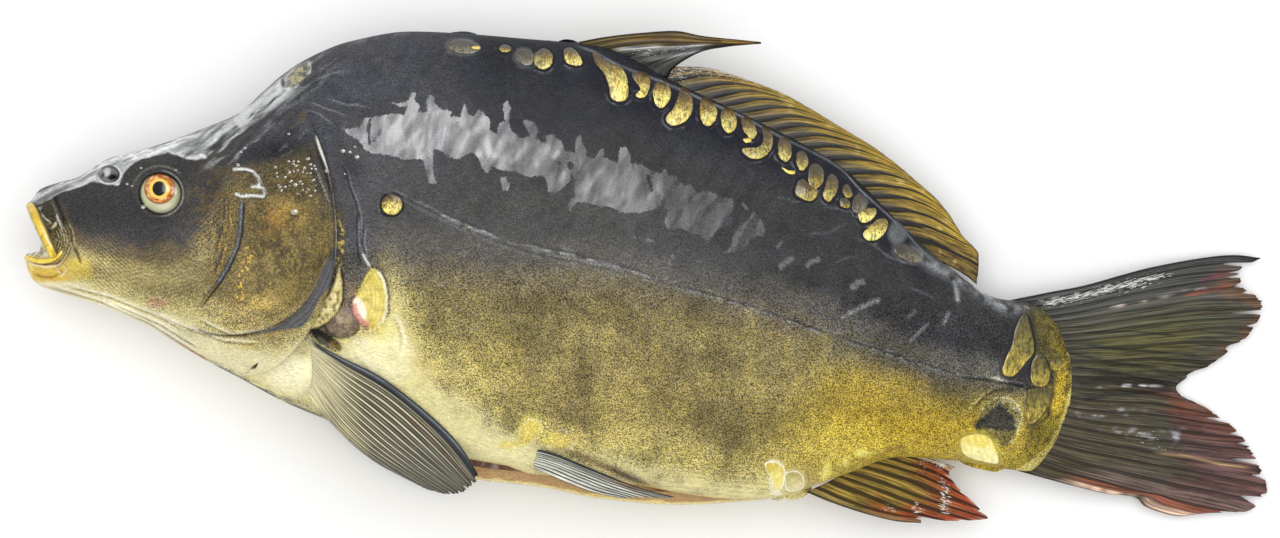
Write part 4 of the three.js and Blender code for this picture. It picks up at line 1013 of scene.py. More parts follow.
    # small folds at the mouth corner: dark lines with pale lines above, painted shade and highlight
    for pts in ([(56, 266), (60, 271), (66, 273)], [(62, 262), (66, 267), (64, 272), (58, 275)]):
        col = over(col, (120, 84, 44), 0.6 * line(u, v, pts, 0.9, 0.2))
        col = over(col, (246, 236, 196), 0.6 * line(u, v - 1.6, pts, 0.9, 0.2))
    col = over(col, (222, 196, 92), 0.85 * smooth(0.2, 0.8, blob(u, v, 80, 268, 17, 11, 30)))
    col = over(col, (112, 98, 58), 0.7 * blob(u, v, 68, 246, 8, 16, -16))
    # pink spot and reddish chin line
    col = over(col, (196, 138, 124), 0.6 * smooth(0.2, 0.8, blob(u, v, 157, 303, 10, 7, 0) + 0.4 * bs))
    col = stroke(col, u, v, [(150, 331), (168, 339), (184, 347), (198, 355), (214, 363)], 1.5, (150, 66, 44), 0.9 * bump(np.abs(q[..., 2]) - middle(x), 7.0, 3.0), 0.2)
    # throat creases: darker lines with pale lines beside them, painted shade and highlight of each crease
    for pts in THROAT:
        col = stroke(col, u, v, pts, 1.1, (128, 106, 62), 0.6, 0.15)
        col = stroke(col, u + 0.5, v + 2.6, pts, 1.1, (250, 246, 220), 0.6, 0.15)
    # flow to the tones of the back over the nape
    col = mix(col, side_tone(u, v, q), (smooth(226, 282, u) * smooth(160, 134, v + 0.2 * (u - 300)))[..., None])
    # painted light and shade: soft lighter and darker spots over the cheek, jaw and gill cover
    col = painted_light_and_shade(col, u, v, [(90, 250, 24, 14, 0.55), (122, 240, 24, 14, 0.35), (192, 240, 22, 20, 0.45), (258, 275, 24, 17, 0.45), (262, 308, 30, 12, 0.40), (222, 310, 20, 12, 0.25),
                            (120, 310, 26, 10, 0.25), (152, 290, 26, 11, -0.28), (192, 290, 20, 11, -0.36), (192, 332, 22, 10, -0.25), (60, 230, 11, 16, -0.66), (290, 190, 18, 11, -0.14), (290, 213, 15, 9, -0.35), (90, 272, 16, 8, -0.3), (190, 270, 16, 8, -0.22), (222, 270, 16, 10, -0.2), (150, 310, 20, 7, -0.2), (262, 230, 12, 14, -0.2), (262, 150, 22, 10, -0.25), (290, 152, 24, 12, -0.3),
                            (290, 290, 20, 12, -0.32), (320, 262, 9, 18, -0.5), (60, 290, 22, 8, -0.15), (220, 190, 16, 14, -0.15)])
    # gill cover rim, crescent and folds: painted shade in the plate crease and under the cover's edge (dark strokes),
    # painted highlights beside the crease and along the rim (pale strokes)
    cres = inside(u, v, CRESCENT)
    dg, tg, sg = seg_dist(u, v, GILL_LINE)
    col = over(col, (86, 86, 88), 0.97 * smooth(-0.7, 0.7, cres))
    cd = seg_dist(u, v, PLATE_LINE)[0]
    lines = np.sin(2 * math.pi * (cd + 0.8 * fbm(q, 4, 2, 89)) / 4.6)
    col = over(col, (128, 129, 130), 0.22 * smooth(0.6, 2.4, cres) * smooth(0.0, 1.0, lines))
    col = over(col, (66, 66, 68), 0.4 * smooth(0.6, 2.4, cres) * smooth(0.0, 1.0, -lines))
    col = stroke(col, u, v, PLATE_LINE, 1.1, (36, 36, 38), 0.85, 0.08)
    col = stroke(col, u - 0.8, v + 2.6, PLATE_LINE, 0.9, (168, 158, 120), 0.5, 0.2)
    col = stroke(col, u, v, [(300, 300), (280, 313), (255, 321), (232, 324), (212, 322)], 0.9, (92, 78, 44), 0.5, 0.2)
    # painted shade under the cover's edge, then a painted highlight along its rim
    col = stroke(col, u, v, DARK_EDGE, 2.2, (26, 26, 30), 0.92, 0.06)
    col = over(col, (52, 52, 54), 0.6 * smooth(10, 5, np.abs(u - profile([(140, 312), (170, 318), (200, 326), (240, 330)])(v))) * smooth(140, 160, v) * smooth(236, 210, v))
    col = stroke(col, u, v, [(u_ - 1.2, v_) for u_, v_ in RIM_LIGHT], 1.1, (222, 220, 208), 0.92, 0.04)
    col = stroke(col, u, v, [(317, 139), (320, 150), (325, 162), (329, 171)], 1.0, (226, 226, 218), 0.9, 0.15)
    col = stroke(col, u, v, [(316, 168), (321, 182), (325, 192), (331, 205)], 0.9, (150, 150, 146), 0.6, 0.2)
    # preopercle crease, jaw hinge and lines over the cheek: painted shade in the crease and along the cheek lines (dark
    # strokes), with a blue-grey band and gold lines beside them
    col = stroke(col, u + 0.3, v, PREOP[:7], 1.7, (122, 128, 144), 0.9, 0.08)
    col = stroke(col, u - 2.0, v, PREOP, 1.1, (20, 20, 26), 0.95, 0.06)
    col = stroke(col, u + 2.3, v, PREOP, 0.8, (36, 36, 44), 0.7, 0.1)
    for i, pts in enumerate(([(230, 196), (229, 214), (228, 232), (222, 250), (218, 266), (212, 280)], [(224, 200), (224, 220), (219, 240), (213, 258)])):
        pu = u + 3.0 * fbm(q, 3, 2, 68)
        gap = smooth(-0.35, 0.15, fbm(q, 3.5, 2, 64 + i))
        col = over(col, (46, 48, 60), 0.75 * gap * line(pu, v, pts, 1.3, 0.15))
        col = over(col, (196, 160, 84), 0.55 * gap * line(pu - 2.6, v, pts, 0.9, 0.2))
    # snout fold beside the mouth: painted shade in the maxilla groove (dark stroke), painted glints beside it (broken
    # white line), and a fan of folds painted as dark and pale lines, painted shade and highlight
    col = over(col, (64, 60, 50), 0.85 * smooth(0.25, 0.7, blob(u, v, 48, 211, 8, 15, -30)))
    col = over(col, (214, 210, 190), 0.8 * line(u, v, [(39, 206), (41, 214), (47, 220), (52, 223)], 0.9, 0.12))
    col = stroke(col, u, v, MAXILLA, 1.4, (28, 28, 32), 0.9, 0.08)
    col = over(col, (226, 228, 226), 0.85 * line(u, v, [(53, 206), (56, 214), (59, 221), (63, 231)], 1.0, 0.15) * smooth(-0.3, 0.1, fbm(q, 1.6, 2, 90)))
    col = stroke(col, u + 4, v, MAXILLA, 1.0, (130, 128, 120), 0.4, 0.2)
    col = stroke(col, u - 3.2, v, MAXILLA[3:], 0.9, (196, 182, 140), 0.5, 0.2)
    for r0 in (16.0, 18.8, 21.6, 24.4, 27.4, 30.6):
        rm, am = np.hypot(u - 42, v - 240), np.arctan2(v - 240, u - 42)
        ph = rm - r0 - 1.2 * fbm(q, 4, 2, 87)
        gate = smooth(-0.75, -0.4, am) * smooth(1.25, 0.9, am)
        col = over(col, (56, 50, 36), 0.75 * np.exp(-(ph / 0.8) ** 2) * gate)
        col = over(col, (206, 190, 138), 0.6 * np.exp(-((ph - 1.5) / 0.7) ** 2) * gate)
    # painted sheen on top of the snout: the wet skin's reflection painted as pale grey and white, ending in a sharp
    # ragged line, and streaks up to the nape
    dt = v - TOP_LINE(u)
    lim = profile([(28, 206), (40, 203), (48, 199), (60, 193), (78, 187), (95, 182), (118, 184), (124, 172), (132, 163), (148, 157), (170, 153), (186, 158), (205, 159), (214, 140)])(u)
    rag = 2.4 * fbm(q, 5.0, 3, 81)
    top = smooth(1.6, -1.2, v - lim + rag) * smooth(216, 200, u + rag)
    flow = noise3(np.stack([(u + 1.7 * v) / 22, (v + 0.5 * u) / 5.0, 0 * u + 5], -1), 1.0, 82) + 0.45 * noise3(np.stack([u / 9, (v + 0.5 * u) / 2.6, 0 * u + 6], -1), 1.0, 80)
    across_ = (np.abs(q[..., 2]) - middle(x)) / np.maximum(1, halfw(x))
    crown = smooth(0.62, 0.25, across_)
    brush = fbm(q * np.array([0.22, 0.9, 0.7]), 2.6, 3, 91)
    col = over(col, (126, 127, 128), 0.95 * top)
    col = over(col, (188, 190, 190), 0.85 * top * smooth(-0.35, 0.35, flow + 0.7 * smooth(16, 3, dt)))
    col = over(col, (232, 234, 232), 0.85 * top * smooth(0.15, 0.75, flow + 0.8 * smooth(9, 0, dt)))
    col = over(col, (76, 77, 79), 0.75 * top * smooth(0.2, 0.7, -flow) * smooth(2, 9, dt) * smooth(100, 130, u))
    fine_ = fbm(q * np.array([0.3, 1.2, 0.9]), 1.5, 2, 92)
    col = over(col, (84, 86, 89), top * (0.32 + 0.45 * crown) * smooth(-0.1, 0.3, brush))
    col = over(col, (70, 72, 76), top * (0.25 + 0.45 * crown) * smooth(0.0, 0.35, fine_))
    col = over(col, (54, 56, 60), 0.9 * top * smooth(0.34, 0.12, across_) * smooth(-0.9, -0.1, brush))
    col = over(col, (70, 72, 77), 0.6 * top * smooth(0.0, 0.25, across_) * (q[..., 2] < 0))
    # painted light and shade: darker and lighter spots over the pale film on the head top
    col = painted_light_and_shade(col, u, v, [(213, 142, 15, 9, -0.55), (191, 150, 15, 8, -0.5), (168, 150, 12, 6, 0.25), (142, 152, 15, 7, 0.2)])
    # painted highlights: a pale line along the sheen's lower edge and a white spot at its end
    col = over(col, (206, 208, 206), 0.75 * np.exp(-((v - lim + rag + 0.6) / 1.3) ** 2) * smooth(206, 196, u) * smooth(50, 70, u) * smooth(-0.5, 0.2, flow))
    col = over(col, (236, 238, 234), 0.9 * smooth(0.4, 0.8, blob(u, v, 203, 156, 5, 3, 20)))
    col, nape = nape_slime_and_painted_sheen(col, u, v, q)
    # nostril: painted highlights on one side of its rim and on the flap, painted shade inside the rim and in the hole
    e = np.hypot((u - 109) / 11.5, (v - 174.5) / 9.4)
    col = over(col, (112, 112, 112), 0.9 * smooth(1.05, 0.9, e))
    col = over(col, (226, 228, 226), 0.9 * bump(e, 1.0, 0.09) * smooth(-0.9, 0.3, (u - 106) / 12 + (v - 176) / 10))
    col = over(col, (34, 34, 36), 0.9 * bump(e, 0.86, 0.08) * smooth(-0.5, 0.5, (u - 106) / 12 - (v - 174) / 14))
    col = over(col, (18, 18, 20), 0.95 * smooth(1.0, 0.6, np.hypot((u - 112.5) / 6.0, (v - 177) / 3.2)))
    col = over(col, (206, 208, 206), 0.85 * smooth(0.3, 0.8, blob(u, v, 107, 172, 4, 5.5, 20)))
    col = over(col, (40, 40, 42), 0.8 * smooth(0.4, 0.9, blob(u, v, 103, 175, 2.0, 4, 20)))
    # eyelids
    r = np.hypot((u - 160) / 1.02, v - 193.5)
    col = over(col, (26, 25, 26), 0.95 * bump(r, 20.4, 1.1))
    col = over(col, (142, 142, 138), 0.75 * bump(r, 22.8, 0.9) * smooth(-0.2, 0.5, (u - 160) / 24))
    col = over(col, (44, 43, 45), 0.75 * bump(r, 24.8, 0.9) * smooth(-0.3, 0.5, (u - 160) / 24))
    col = over(col, (120, 116, 104), 0.6 * bump(r, 27.5, 1.2) * smooth(0.2, 0.7, -(v - 190) / 24 + 0.3 * (160 - u) / 24))
    # wet-film outline on the gill cover: a painted highlight along the film's edge (pale strokes), a dark line beside
    # it and a brownish spot inside
    for pts in ([(232, 169.5), (244, 169), (252, 171), (258, 177), (260.5, 183), (257, 187), (250, 187)], [(257, 187), (263, 188), (265, 194), (263, 196.5), (250, 195.5), (241, 196.5), (234, 193)]):
        col = stroke(col, u, v, pts, 1.4, (230, 232, 228), 0.97, 0.04)
        col = stroke(col, u - 1.2, v - 2.4, pts, 0.9, (34, 34, 36), 0.6, 0.1)
    col = over(col, (130, 120, 74), 0.7 * blob(u, v, 253, 190.5, 7, 2.6, 0))
    lum = col.mean(-1)
    speck = mix(0.55, 1.0, smooth(-10, 12, dh)) * mix(1.0, 0.45, smooth(0.34, 0.6, lum)) * (1 - 0.8 * top) * (1 - 0.6 * nape)
    speck = speck * (1 - 0.8 * smooth(-0.5, 0.5, cres))
    speck = speck * (1 - 0.8 * smooth(96, 66, u) * smooth(250, 258, v))
    speck = speck * (1 - 0.5 * np.clip(blob(u, v, 150, 272, 60, 22, 6), 0, 1))
    speck = speck * (1 - 0.45 * op)
    wet = mix(0.01, 0.10, smooth(-10, 30, dh))
    wet = np.maximum(wet, 0.14 * top)
    wet = np.maximum(wet, 0.12 * nape)
    return col, speck, np.full(np.shape(u), -60.0), wet


def film_weight(u, v):
    """How strongly the film mirrors: full in front, thin behind, brighter along its ripples."""
    w = mix(0.78, 0.60, smooth(404, 430, u))
    w = mix(w, 0.30, smooth(486, 540, u))
    w = mix(w, 0.13, smooth(661, 667, u + 0.15 * (190 - v)))
    for pts, wd, a in (([(508, 132), (502, 146), (494, 160)], 3.2, 0.7), ([(530, 138), (524, 150), (514, 166)], 3.6, 0.6), ([(550, 142), (542, 158), (534, 170)], 3.0, 0.4),
                       ([(606, 166), (592, 182), (578, 197)], 3.4, 0.6), ([(430, 118), (431, 150), (431, 180)], 1.8, 0.3), ([(472, 128), (466, 140), (460, 154)], 3.4, 0.35),
                       ([(622, 168), (612, 184), (602, 200)], 4.0, 0.3), ([(448, 124), (442, 136), (438, 148)], 3.4, 0.25), ([(564, 170), (562, 184)], 2.0, 0.4),
                       ([(488, 122), (486, 140), (490, 160)], 2.6, 0.3), ([(640, 176), (632, 190), (624, 202)], 3.2, 0.22), ([(560, 150), (552, 160)], 2.4, 0.35),
                       ([(588, 162), (580, 176)], 2.0, 0.3), ([(655, 178), (662, 196), (660, 206)], 2.2, 0.2)):
        w = w + a * line(u, v, pts, wd, 0.25)
    for cu, cv, ru, rv, a in ((552, 168, 9, 14, -0.14), (592, 160, 10, 9, -0.1), (640, 180, 14, 12, -0.06), (480, 140, 4, 12, -0.2), (512, 152, 4, 12, -0.12), (418, 134, 8, 12, -0.14)):
        w = w + a * blob(u, v, cu, cv, ru, rv, 30)
    a = math.radians(-58)
    along, cross_ = u * math.cos(a) + v * math.sin(a), -u * math.sin(a) + v * math.cos(a)
    wave = noise3(np.stack([along / 26, cross_ / 6.5, 0 * u + 4], -1), 1.0, 121) + 0.5 * noise3(np.stack([along / 12, cross_ / 3.2, 0 * u + 5], -1), 1.0, 123)
    return np.clip(0.94 * w * (1 + 0.62 * wave), 0.04, 1.0)


def relief_body(x, y, z, c, side, is_head):
    """How far the skin stands out, in mm."""
    u, v = seen(x, y, z)
    zm = middle(x)
    q = np.stack([x, y, (zm + np.abs(z - zm)) * side], -1)
    h = 0.20 * fbm(q, 16, 3, 101) + 0.07 * fbm(q, 4, 2, 103)
    up = smooth(0.0, 0.35, np.abs(z - zm) / np.maximum(1, halfw(x)))
    a = math.radians(-38)
    along, cross_ = u * math.cos(a) + v * math.sin(a), -u * math.sin(a) + v * math.cos(a)
    st = noise3(np.stack([along / 18, cross_ / 3.4, 0 * u + 3], -1), 1.0, 83)
    dt = v - TOP_LINE(u)
    h = h + 0.30 * st * smooth(50, 12, dt) * smooth(170, 206, u) * smooth(356, 290, u)
    h = h + 1.0 * blob(u, v, 297, 76, 12, 8, -45)
    if is_head:
        r = np.hypot((u - 160) / 1.02, v - 193.5)
        h = h + 0.9 * bump(r, 24.3, 4) - 3.6 * smooth(20.6, 18.0, r) - 0.35 * bump(r, 29.5, 2.0)
        e = np.hypot((u - 109.5) / 11.0, (v - 175.0) / 8.8)
        h = h + 0.8 * bump(e, 1.05, 0.16) - 0.8 * smooth(1.0, 0.8, e) - 2.6 * smooth(1.0, 0.6, np.hypot((u - 113) / 7.2, (v - 176) / 4.2))
        h = h - 0.7 * line(u - 1.2, v, PREOP, 1.5, 0.1) + 0.3 * line(u + 4, v, PREOP, 3.0, 0.1) + 0.3 * line(u - 7, v, PREOP, 4.0, 0.1)
        h = h - 0.8 * line(u, v, MAXILLA, 1.8, 0.08) + 0.6 * line(u + 6, v, MAXILLA, 3.4, 0.1)
        rm, am = np.hypot(u - 44, v - 244), np.arctan2(v - 244, u - 44)
        h = h - 0.35 * np.cos((rm - 18.5) * 2 * math.pi / 4.5) * smooth(14, 18, rm) * smooth(38, 30, rm) * smooth(-1.4, -0.9, am) * smooth(1.4, 0.9, am)
        h = h - 0.9 * line(u, v, PLATE_LINE, 1.8, 0.08) + 0.5 * line(u, v + 4, PLATE_LINE, 3.5, 0.1)
        for pts in THROAT:
            h = h - 0.35 * line(u, v, pts, 1.6, 0.12) + 0.3 * line(u, v + 3.4, pts, 2.0, 0.12)
        for pts in ([(222, 204), (224, 226), (222, 246), (216, 262), (212, 276)], [(213, 200), (216, 222), (214, 244), (207, 262)],
                    [(205, 214), (208, 230), (204, 248), (196, 262)]):
            h = h - 0.25 * line(u, v, pts, 1.6, 0.12)
        h = h - 0.35 * line(u, v, [(118, 160), (150, 158), (190, 162), (236, 160), (262, 150)], 2.4)
        wr = np.sin(2 * math.pi * (v * 0.95 + 0.0022 * (u - 150) ** 2 + 0.22 * u) / 3.9 + 2.0 * fbm(q, 7, 2, 85))
        wm = blob(u, v, 140, 262, 62, 32, 6) + 0.8 * blob(u, v, 262, 316, 48, 18, -8)
        h = h + 0.035 * wr * np.clip(wm, 0, 1)
        dg, tg, sg = seg_dist(u, v, GILL_LINE)
        h = h - 0.5 * np.exp(-((dg - 6.0) / 1.6) ** 2) * smooth(0.55, 0.45, tg) + 0.25 * np.exp(-((dg - 10) / 2.4) ** 2) * smooth(0.55, 0.45, tg)
        h = h + 0.8 * blob(u, v, 287, 225, 30, 36, 0) + 0.5 * blob(u, v, 262, 306, 34, 12, -6)
        h = h + 0.7 * smooth(6, 0, np.abs(v - profile([(28, 203), (45, 195), (60, 187), (95, 183), (125, 166), (150, 153), (175, 150), (205, 157)])(u)) + 2) * smooth(214, 200, u) * 0.4
    else:
        dl, tl, sg = seg_dist(u, v, LATERAL)
        h = h - 0.16 * np.exp(-(dl / 1.8) ** 2) + 0.10 * np.exp(-((dl - 4) / 2.2) ** 2)
        for pts in SHOULDER:
            h = h - 0.55 * line(u, v, pts, 1.7, 0.12) + 0.35 * line(u - 4, v, pts, 2.4, 0.12)
        plate = inside(u, v, [(378, 269), (385, 278), (388, 294), (386, 312), (377, 325), (368, 326), (360, 318), (353, 308), (353, 298), (362, 290), (365, 284), (370, 275)])
        h = h + 1.0 * smooth(-1.5, 2.5, plate) - 0.5 * np.exp(-((plate + 2.6) / 1.8) ** 2)
        h = h + 1.4 * smooth(1.3, 0.4, np.hypot((u - 343) / 15, (v - 320) / 13)) - 1.6 * smooth(0.3, 0.8, blob(u, v, 328, 340, 20, 7.5, 34))
        dsh = inside(u, v, [(336, 274), (342, 284), (343.5, 298), (340, 312), (328, 324), (310, 331), (300, 334), (316, 306)])
        h = h + 0.8 * smooth(-1.2, 1.6, dsh) - 0.7 * np.exp(-((dsh + 1.2) / 1.5) ** 2)
        for cu, cv, ru, rv in ((388, 334, 13, 7), (372, 344, 14, 8), (356, 334, 8, 6), (392, 350, 10, 9)):
            h = h + 0.5 * smooth(1.2, 0.5, np.hypot((u - cu) / ru, (v - cv) / rv))
        # flesh segments under the skin
        ang = u * 0.80 + v * 0.55
        h = h + 0.09 * np.sin(ang * 2 * math.pi / 21 + 1.5 * fbm(q, 18, 2, 111)) * smooth(90, 120, v) * smooth(260, 215, v) * smooth(345, 380, u) * smooth(800, 740, u)
        db = v - BACK_FIN_FOOT(u)
        inb = smooth(580, 600, u) * smooth(975, 955, u)
        h = h + inb * (0.5 * np.exp(-((db - 3) / 3.0) ** 2) - 0.35 * np.exp(-((db - 10) / 4.0) ** 2))
        af = profile([(806, 490), (834, 472), (875, 450), (905, 444)])(u)
        h = h + 0.9 * np.exp(-((v - af) / 6.0) ** 2) * smooth(806, 826, u) * smooth(915, 895, u)
        rim = TAIL_RIM(v)
        h = h + 0.5 * bump(rim - u, 9, 6) + 0.2 * fbm(q, 2.2, 2, 113) * bump(rim - u, 12, 14)
        e = np.hypot((u - 1001 + 0.18 * (v - 421)) / 22.5, (v - 422) / 27)
        h = h - 0.7 * smooth(1.0, 0.7, e) + 0.5 * bump(e, 1.05, 0.12)
        for pts in ([(1020, 303), (1034, 322), (1037, 350), (1030, 364)], [(1030, 364), (1044, 360), (1052, 372), (1046, 388)],
                    [(960, 377), (1000, 381), (1030, 388), (1052, 387)]):
            h = h - 0.5 * line(u, v, pts, 2.0, 0.12)
        h = h - 1.3 * line(u, v, [(545, 449), (590, 462), (640, 485), (668, 494)], 5, 0.15)
        h = h + 0.9 * blob(u, v, 545, 438, 30, 10, 10)
    return h * up


def body_part(is_head, side, cols, rows):
    a = arc_angles(rows)
    c, s = np.cos(a)[None, :], np.sin(a)[None, :]
    c = np.where(np.abs(c) < 1e-9, 0, c)
    x0 = np.asarray(cols, float)[:, None]
    share = lid_share(c)
    x = np.maximum(x0, 0.9) - bow(x0, c)
    n = np.where(c >= 0, back_n(x), belly_n(x))
    yy = np.sign(c) * np.abs(c) ** (2 / n)
    zz = np.abs(s) ** (2 / n)
    y1, y0 = back(x), belly(x)
    yc = mix(y0, y1, widest(x))
    up, down = y1 - yc, yc - y0
    if side > 0:
        down = down - cut_step(x)
    zoff = gap_open(x) * smooth(-0.2, -0.9, c) * (3.6 if side > 0 else 5.6)
    h = halfw(x)
    z = middle(x) + side * (zoff + (h - zoff) * zz)
    y = yc + np.where(c >= 0, up, down) * yy
    # tips close to the poles
    if is_head:
        t = smooth(0, 1.6, x0) ** 0.5
        y = mix(SNOUT[1], y, t)
        z = mix(middle(0.0), z, t)
    else:
        t = smooth(TAIL_END[0], TAIL_END[0] - 3.0, x0) ** 0.5
        x = mix(TAIL_END[0], x, np.minimum(1, smooth(TAIL_END[0], TAIL_END[0] - 6, x0) + 0.0) ** 0.25)
        y = mix(TAIL_END[1], y, t)
        z = mix(middle(423.0), z, t)
    x, y, z = np.broadcast_arrays(x, y, z)
    cc = np.broadcast_to(c, x.shape)
    side_mask = smooth(0.25, 0.7, np.abs(s))
    if is_head:
        lid = LID * smooth(GILL - 46, GILL - 1, x0) * share * side_mask
    else:
        lid = -1.3 * (1 - smooth(GILL + 3, GILL + 12, x0)) * share * side_mask
    p = np.stack([x, y, z], -1)
    nrm = unit(grid_normals(p)) * (1.0 if side > 0 else -1.0)
    flipn = np.sign((nrm[..., 2] * side).mean())
    nrm = nrm * flipn
    rel = relief_body(x, y, z, cc, side, is_head)
    near_pole = smooth(0, 4, x0) if is_head else smooth(TAIL_END[0], TAIL_END[0] - 6, x0)
    seam = smooth(0.0, 0.05, s)
    p = p + nrm * ((rel + lid) * near_pole * seam)[..., None]
    if is_head:
        p = mouth_form(p)
        k = 7
        off = np.array([(0.30, -0.35), (0.42, -0.85), (0.30, -1.3), (-0.4, -1.65), (-2.5, -1.9), (-5.0, -2.1), (-8.0, -2.3)])
        tuck = np.array([(-0.15 * (i + 1), -0.12 * (i + 1)) for i in range(k)])
        last = p[-1]
        ln = nrm[-1]
        extra = []
        for (dx, dn), (tx, tn) in zip(off, tuck):
            L = share[0][:, None]
            e = last + np.array([1.0, 0, 0]) * (L * dx + (1 - L) * tx) + ln * (L * dn + (1 - L) * tn)
            extra.append(e)
        p = np.concatenate([p, np.array(extra)], 0)
    else:
        k = 6
        first, ln = p[0], nrm[0]
        extra = []
        for i in range(k, 0, -1):
            L = share[0][:, None]
            e = first - np.array([1.0, 0, 0]) * (L * 1.1 * i + (1 - L) * 0.15 * i) - ln * (L * (0.1 + 0.03 * i) + (1 - L) * 0.12 * i)
            extra.append(e)
        p = np.concatenate([np.array(extra), p], 0)
    p[..., 2] = np.maximum(p[..., 2], 0.0)
    col, speck, film, wet = skin_paint(p[..., 0], p[..., 1], p[..., 2], side, is_head)
    speck = speck * mix(1.0, 0.4, smooth(0.30, 0.60, col.mean(-1)))
    if is_head:
        gill = smooth(0.6, 0.95, share[0])[None, :, None]
        col[-5:] = mix(np.repeat(col[-8:-7], 5, 0), lin(70, 40, 34), gill)
    else:
        col[:6] = mix(col[:6], lin(60, 44, 40), 0.8 * share[0][None, :, None] + 0 * col[:6])
    # inward curl at the belly edge
    curl = []
    r = 1.2
    L = gap_open(p[:, -1, 0])
    whole = smooth(9, 15, p[:, -1, 0])
    for b, deep in ((30, 0), (60, 0), (90, 0), (90, 1.2), (90, 2.6), (90, 4.0)):
        br = math.radians(b)
        dy = mix(0.3 * (b / 90) + 0.5 * deep, r * (1 - math.cos(br)) + deep, L)
        dz = -side * mix(0.1 * (b / 90), r * math.sin(br), L)
        e = p[:, -1].copy()
        e[:, 1] += dy * whole
        e[:, 2] += dz * whole
        curl.append(e)
    curl = np.stack(curl, 1)
    nc = p.shape[0]
    ccol = np.zeros((nc, 6, 3)) + lin(238, 226, 170)
    ccol[:, 2:] = lin(196, 160, 110)
    ccol[:, 0] = col[:, -1]
    ccol = mix(col[:, -1:], ccol, whole[:, None, None])
    p = np.concatenate([p, curl], 1)
    col = np.concatenate([col, ccol], 1)
    speck = np.concatenate([speck, np.full((nc, 6), 0.2)], 1)
    film = np.concatenate([film, np.full((nc, 6), -60.0)], 1)
    wet = np.concatenate([wet, np.full((nc, 6), 0.5)], 1)
    return p, col, speck, film, wet, share[0]


def mouth_form(p):
    """The gape: skin of the snout drawn back behind the lips."""
    x, y, z = p[..., 0].copy(), p[..., 1].copy(), p[..., 2].copy()
    # front of the face between the lips is pushed in to make the gape, the near cheek a little further
    edge = profile([(0.0, 3.5), (5.6, 2.4), (7.4, 7.0), (9.6, 9.8), (12.0, 8.8), (15.0, 7.4), (17.7, 6.2), (20.9, 4.4), (22.7, 3.2), (24.3, 1.6)])(y)
    inside_y = smooth(4.6, 7.0, y) * smooth(25.0, 23.4, y)
    depth = inside_y * (edge + 0.154 * np.maximum(0, z - 35.0))
    x = np.where(x < depth + 0.5, np.maximum(x, depth), x)
    return np.stack([x, y, z], -1)


def build_body():
    ss = np.linspace(0, 1, 400)
    tip_cols = 1.6 * np.interp(np.linspace(0, 1, 17) ** 2, ss * ss * (3 - 2 * ss), ss)
    head_cols = np.concatenate([tip_cols[:-1], np.linspace(1.6, 4, 7)[:-1], np.linspace(4, 34, 80)[:-1], np.linspace(34, 90, 150)[:-1], np.linspace(90, GILL, 106)])
    trunk_cols = np.concatenate([np.linspace(GILL, 150, 46)[:-1], np.linspace(150, 395, 440)[:-1], np.linspace(395, TAIL_END[0], 61)])
    rows = {"left": 262, "right": 92}
    parts, norms = {}, {}
    for is_head, tag in ((True, "head"), (False, "trunk")):
        for side, stag in ((1, "left"), (-1, "right")):
            cols = head_cols if is_head else trunk_cols
            key = (tag, stag)
            few = np.concatenate([cols[:24], cols[24::2]]) if is_head else cols[::2]
            parts[key] = body_part(is_head, side, cols if side > 0 else few, rows[stag])
            w = world(parts[key][0][..., 0], parts[key][0][..., 1], parts[key][0][..., 2])
            n = unit(grid_normals(w))
            n = n if (n[..., 2].mean() > 0) == (side > 0) else -n
            norms[key] = (w, n)
    # both flanks take the outline's own direction along the back and the closed belly
    ct, st = math.cos(TILT), math.sin(TILT)
    for (tag, stag), (w, n) in norms.items():
        x = parts[(tag, stag)][0]
        for row, curve, sign in ((0, back, 1.0), (rows[stag] - 1, belly, -1.0)):
            xx = x[:, row, 0]
            slope = (curve(xx + 0.4) - curve(xx - 0.4)) / 0.8
            a = unit(np.stack([-slope * sign, sign + 0 * slope, 0 * slope], -1))
            a = np.stack([a[:, 0] * ct - a[:, 1] * st, a[:, 0] * st + a[:, 1] * ct, a[:, 2]], -1)
            ok = (xx > 5) & (xx < 421)
            if row:
                ok &= gap_open(xx) < 0.01
            n[ok, row] = a[ok]
    for stag in ("left", "right"):
        nh, nt_ = norms[("head", stag)][1], norms[("trunk", stag)][1]
        k = rows[stag]
        m = parts[("head", stag)][5] < 0.02
        s = unit(nh[-8, :k] + nt_[6, :k])
        nh[-8, :k][m] = s[m]
        nt_[6, :k][m] = s[m]
    for (tag, stag), (w, n) in norms.items():
        p, col, speck, film, wet, _ = parts[(tag, stag)]
        nc, nr_ = p.shape[:2]
        a, b = nc // 2, nr_ // 3
        outward = np.cross(w[a + 1, b] - w[a, b], w[a, b + 1] - w[a, b]) @ n[a, b] > 0
        fw = film_weight(*seen(p[..., 0], p[..., 1], p[..., 2]))
        cuts = [(0, nc)] if (tag, stag) != ("trunk", "left") else [(0, nc // 2 + 1), (nc // 2, nc)]
        for i, (c0, c1) in enumerate(cuts):
            name = "skin_%s_%s" % (tag, stag) + ("" if len(cuts) == 1 else ("_front", "_rear")[i])
            ob = make(name, w[c0:c1], grid_faces(c1 - c0, nr_), MAT_SKIN,
                      {"paint": col[c0:c1], "speck": speck[c0:c1], "film": film[c0:c1], "wet": wet[c0:c1], "filmw": fw[c0:c1]},
                      normals=n[c0:c1], flip=outward)
            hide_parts("fish")


# ------------------------------------------------------------------ fins
def fan(guides, across, along):
    """A web in side-view pixels from guide rays: (share across the fin, points along the ray)."""
    ss = [g[0] for g in guides]
    rays = np.array([spline2(g[1], along) for g in guides])
    s = np.linspace(0, 1, across)
    out = np.zeros((across, along, 2))
    for j in range(along):
        for k in range(2):
            out[:, j, k] = profile(list(zip(ss, rays[:, j, k])))(s)
    return out


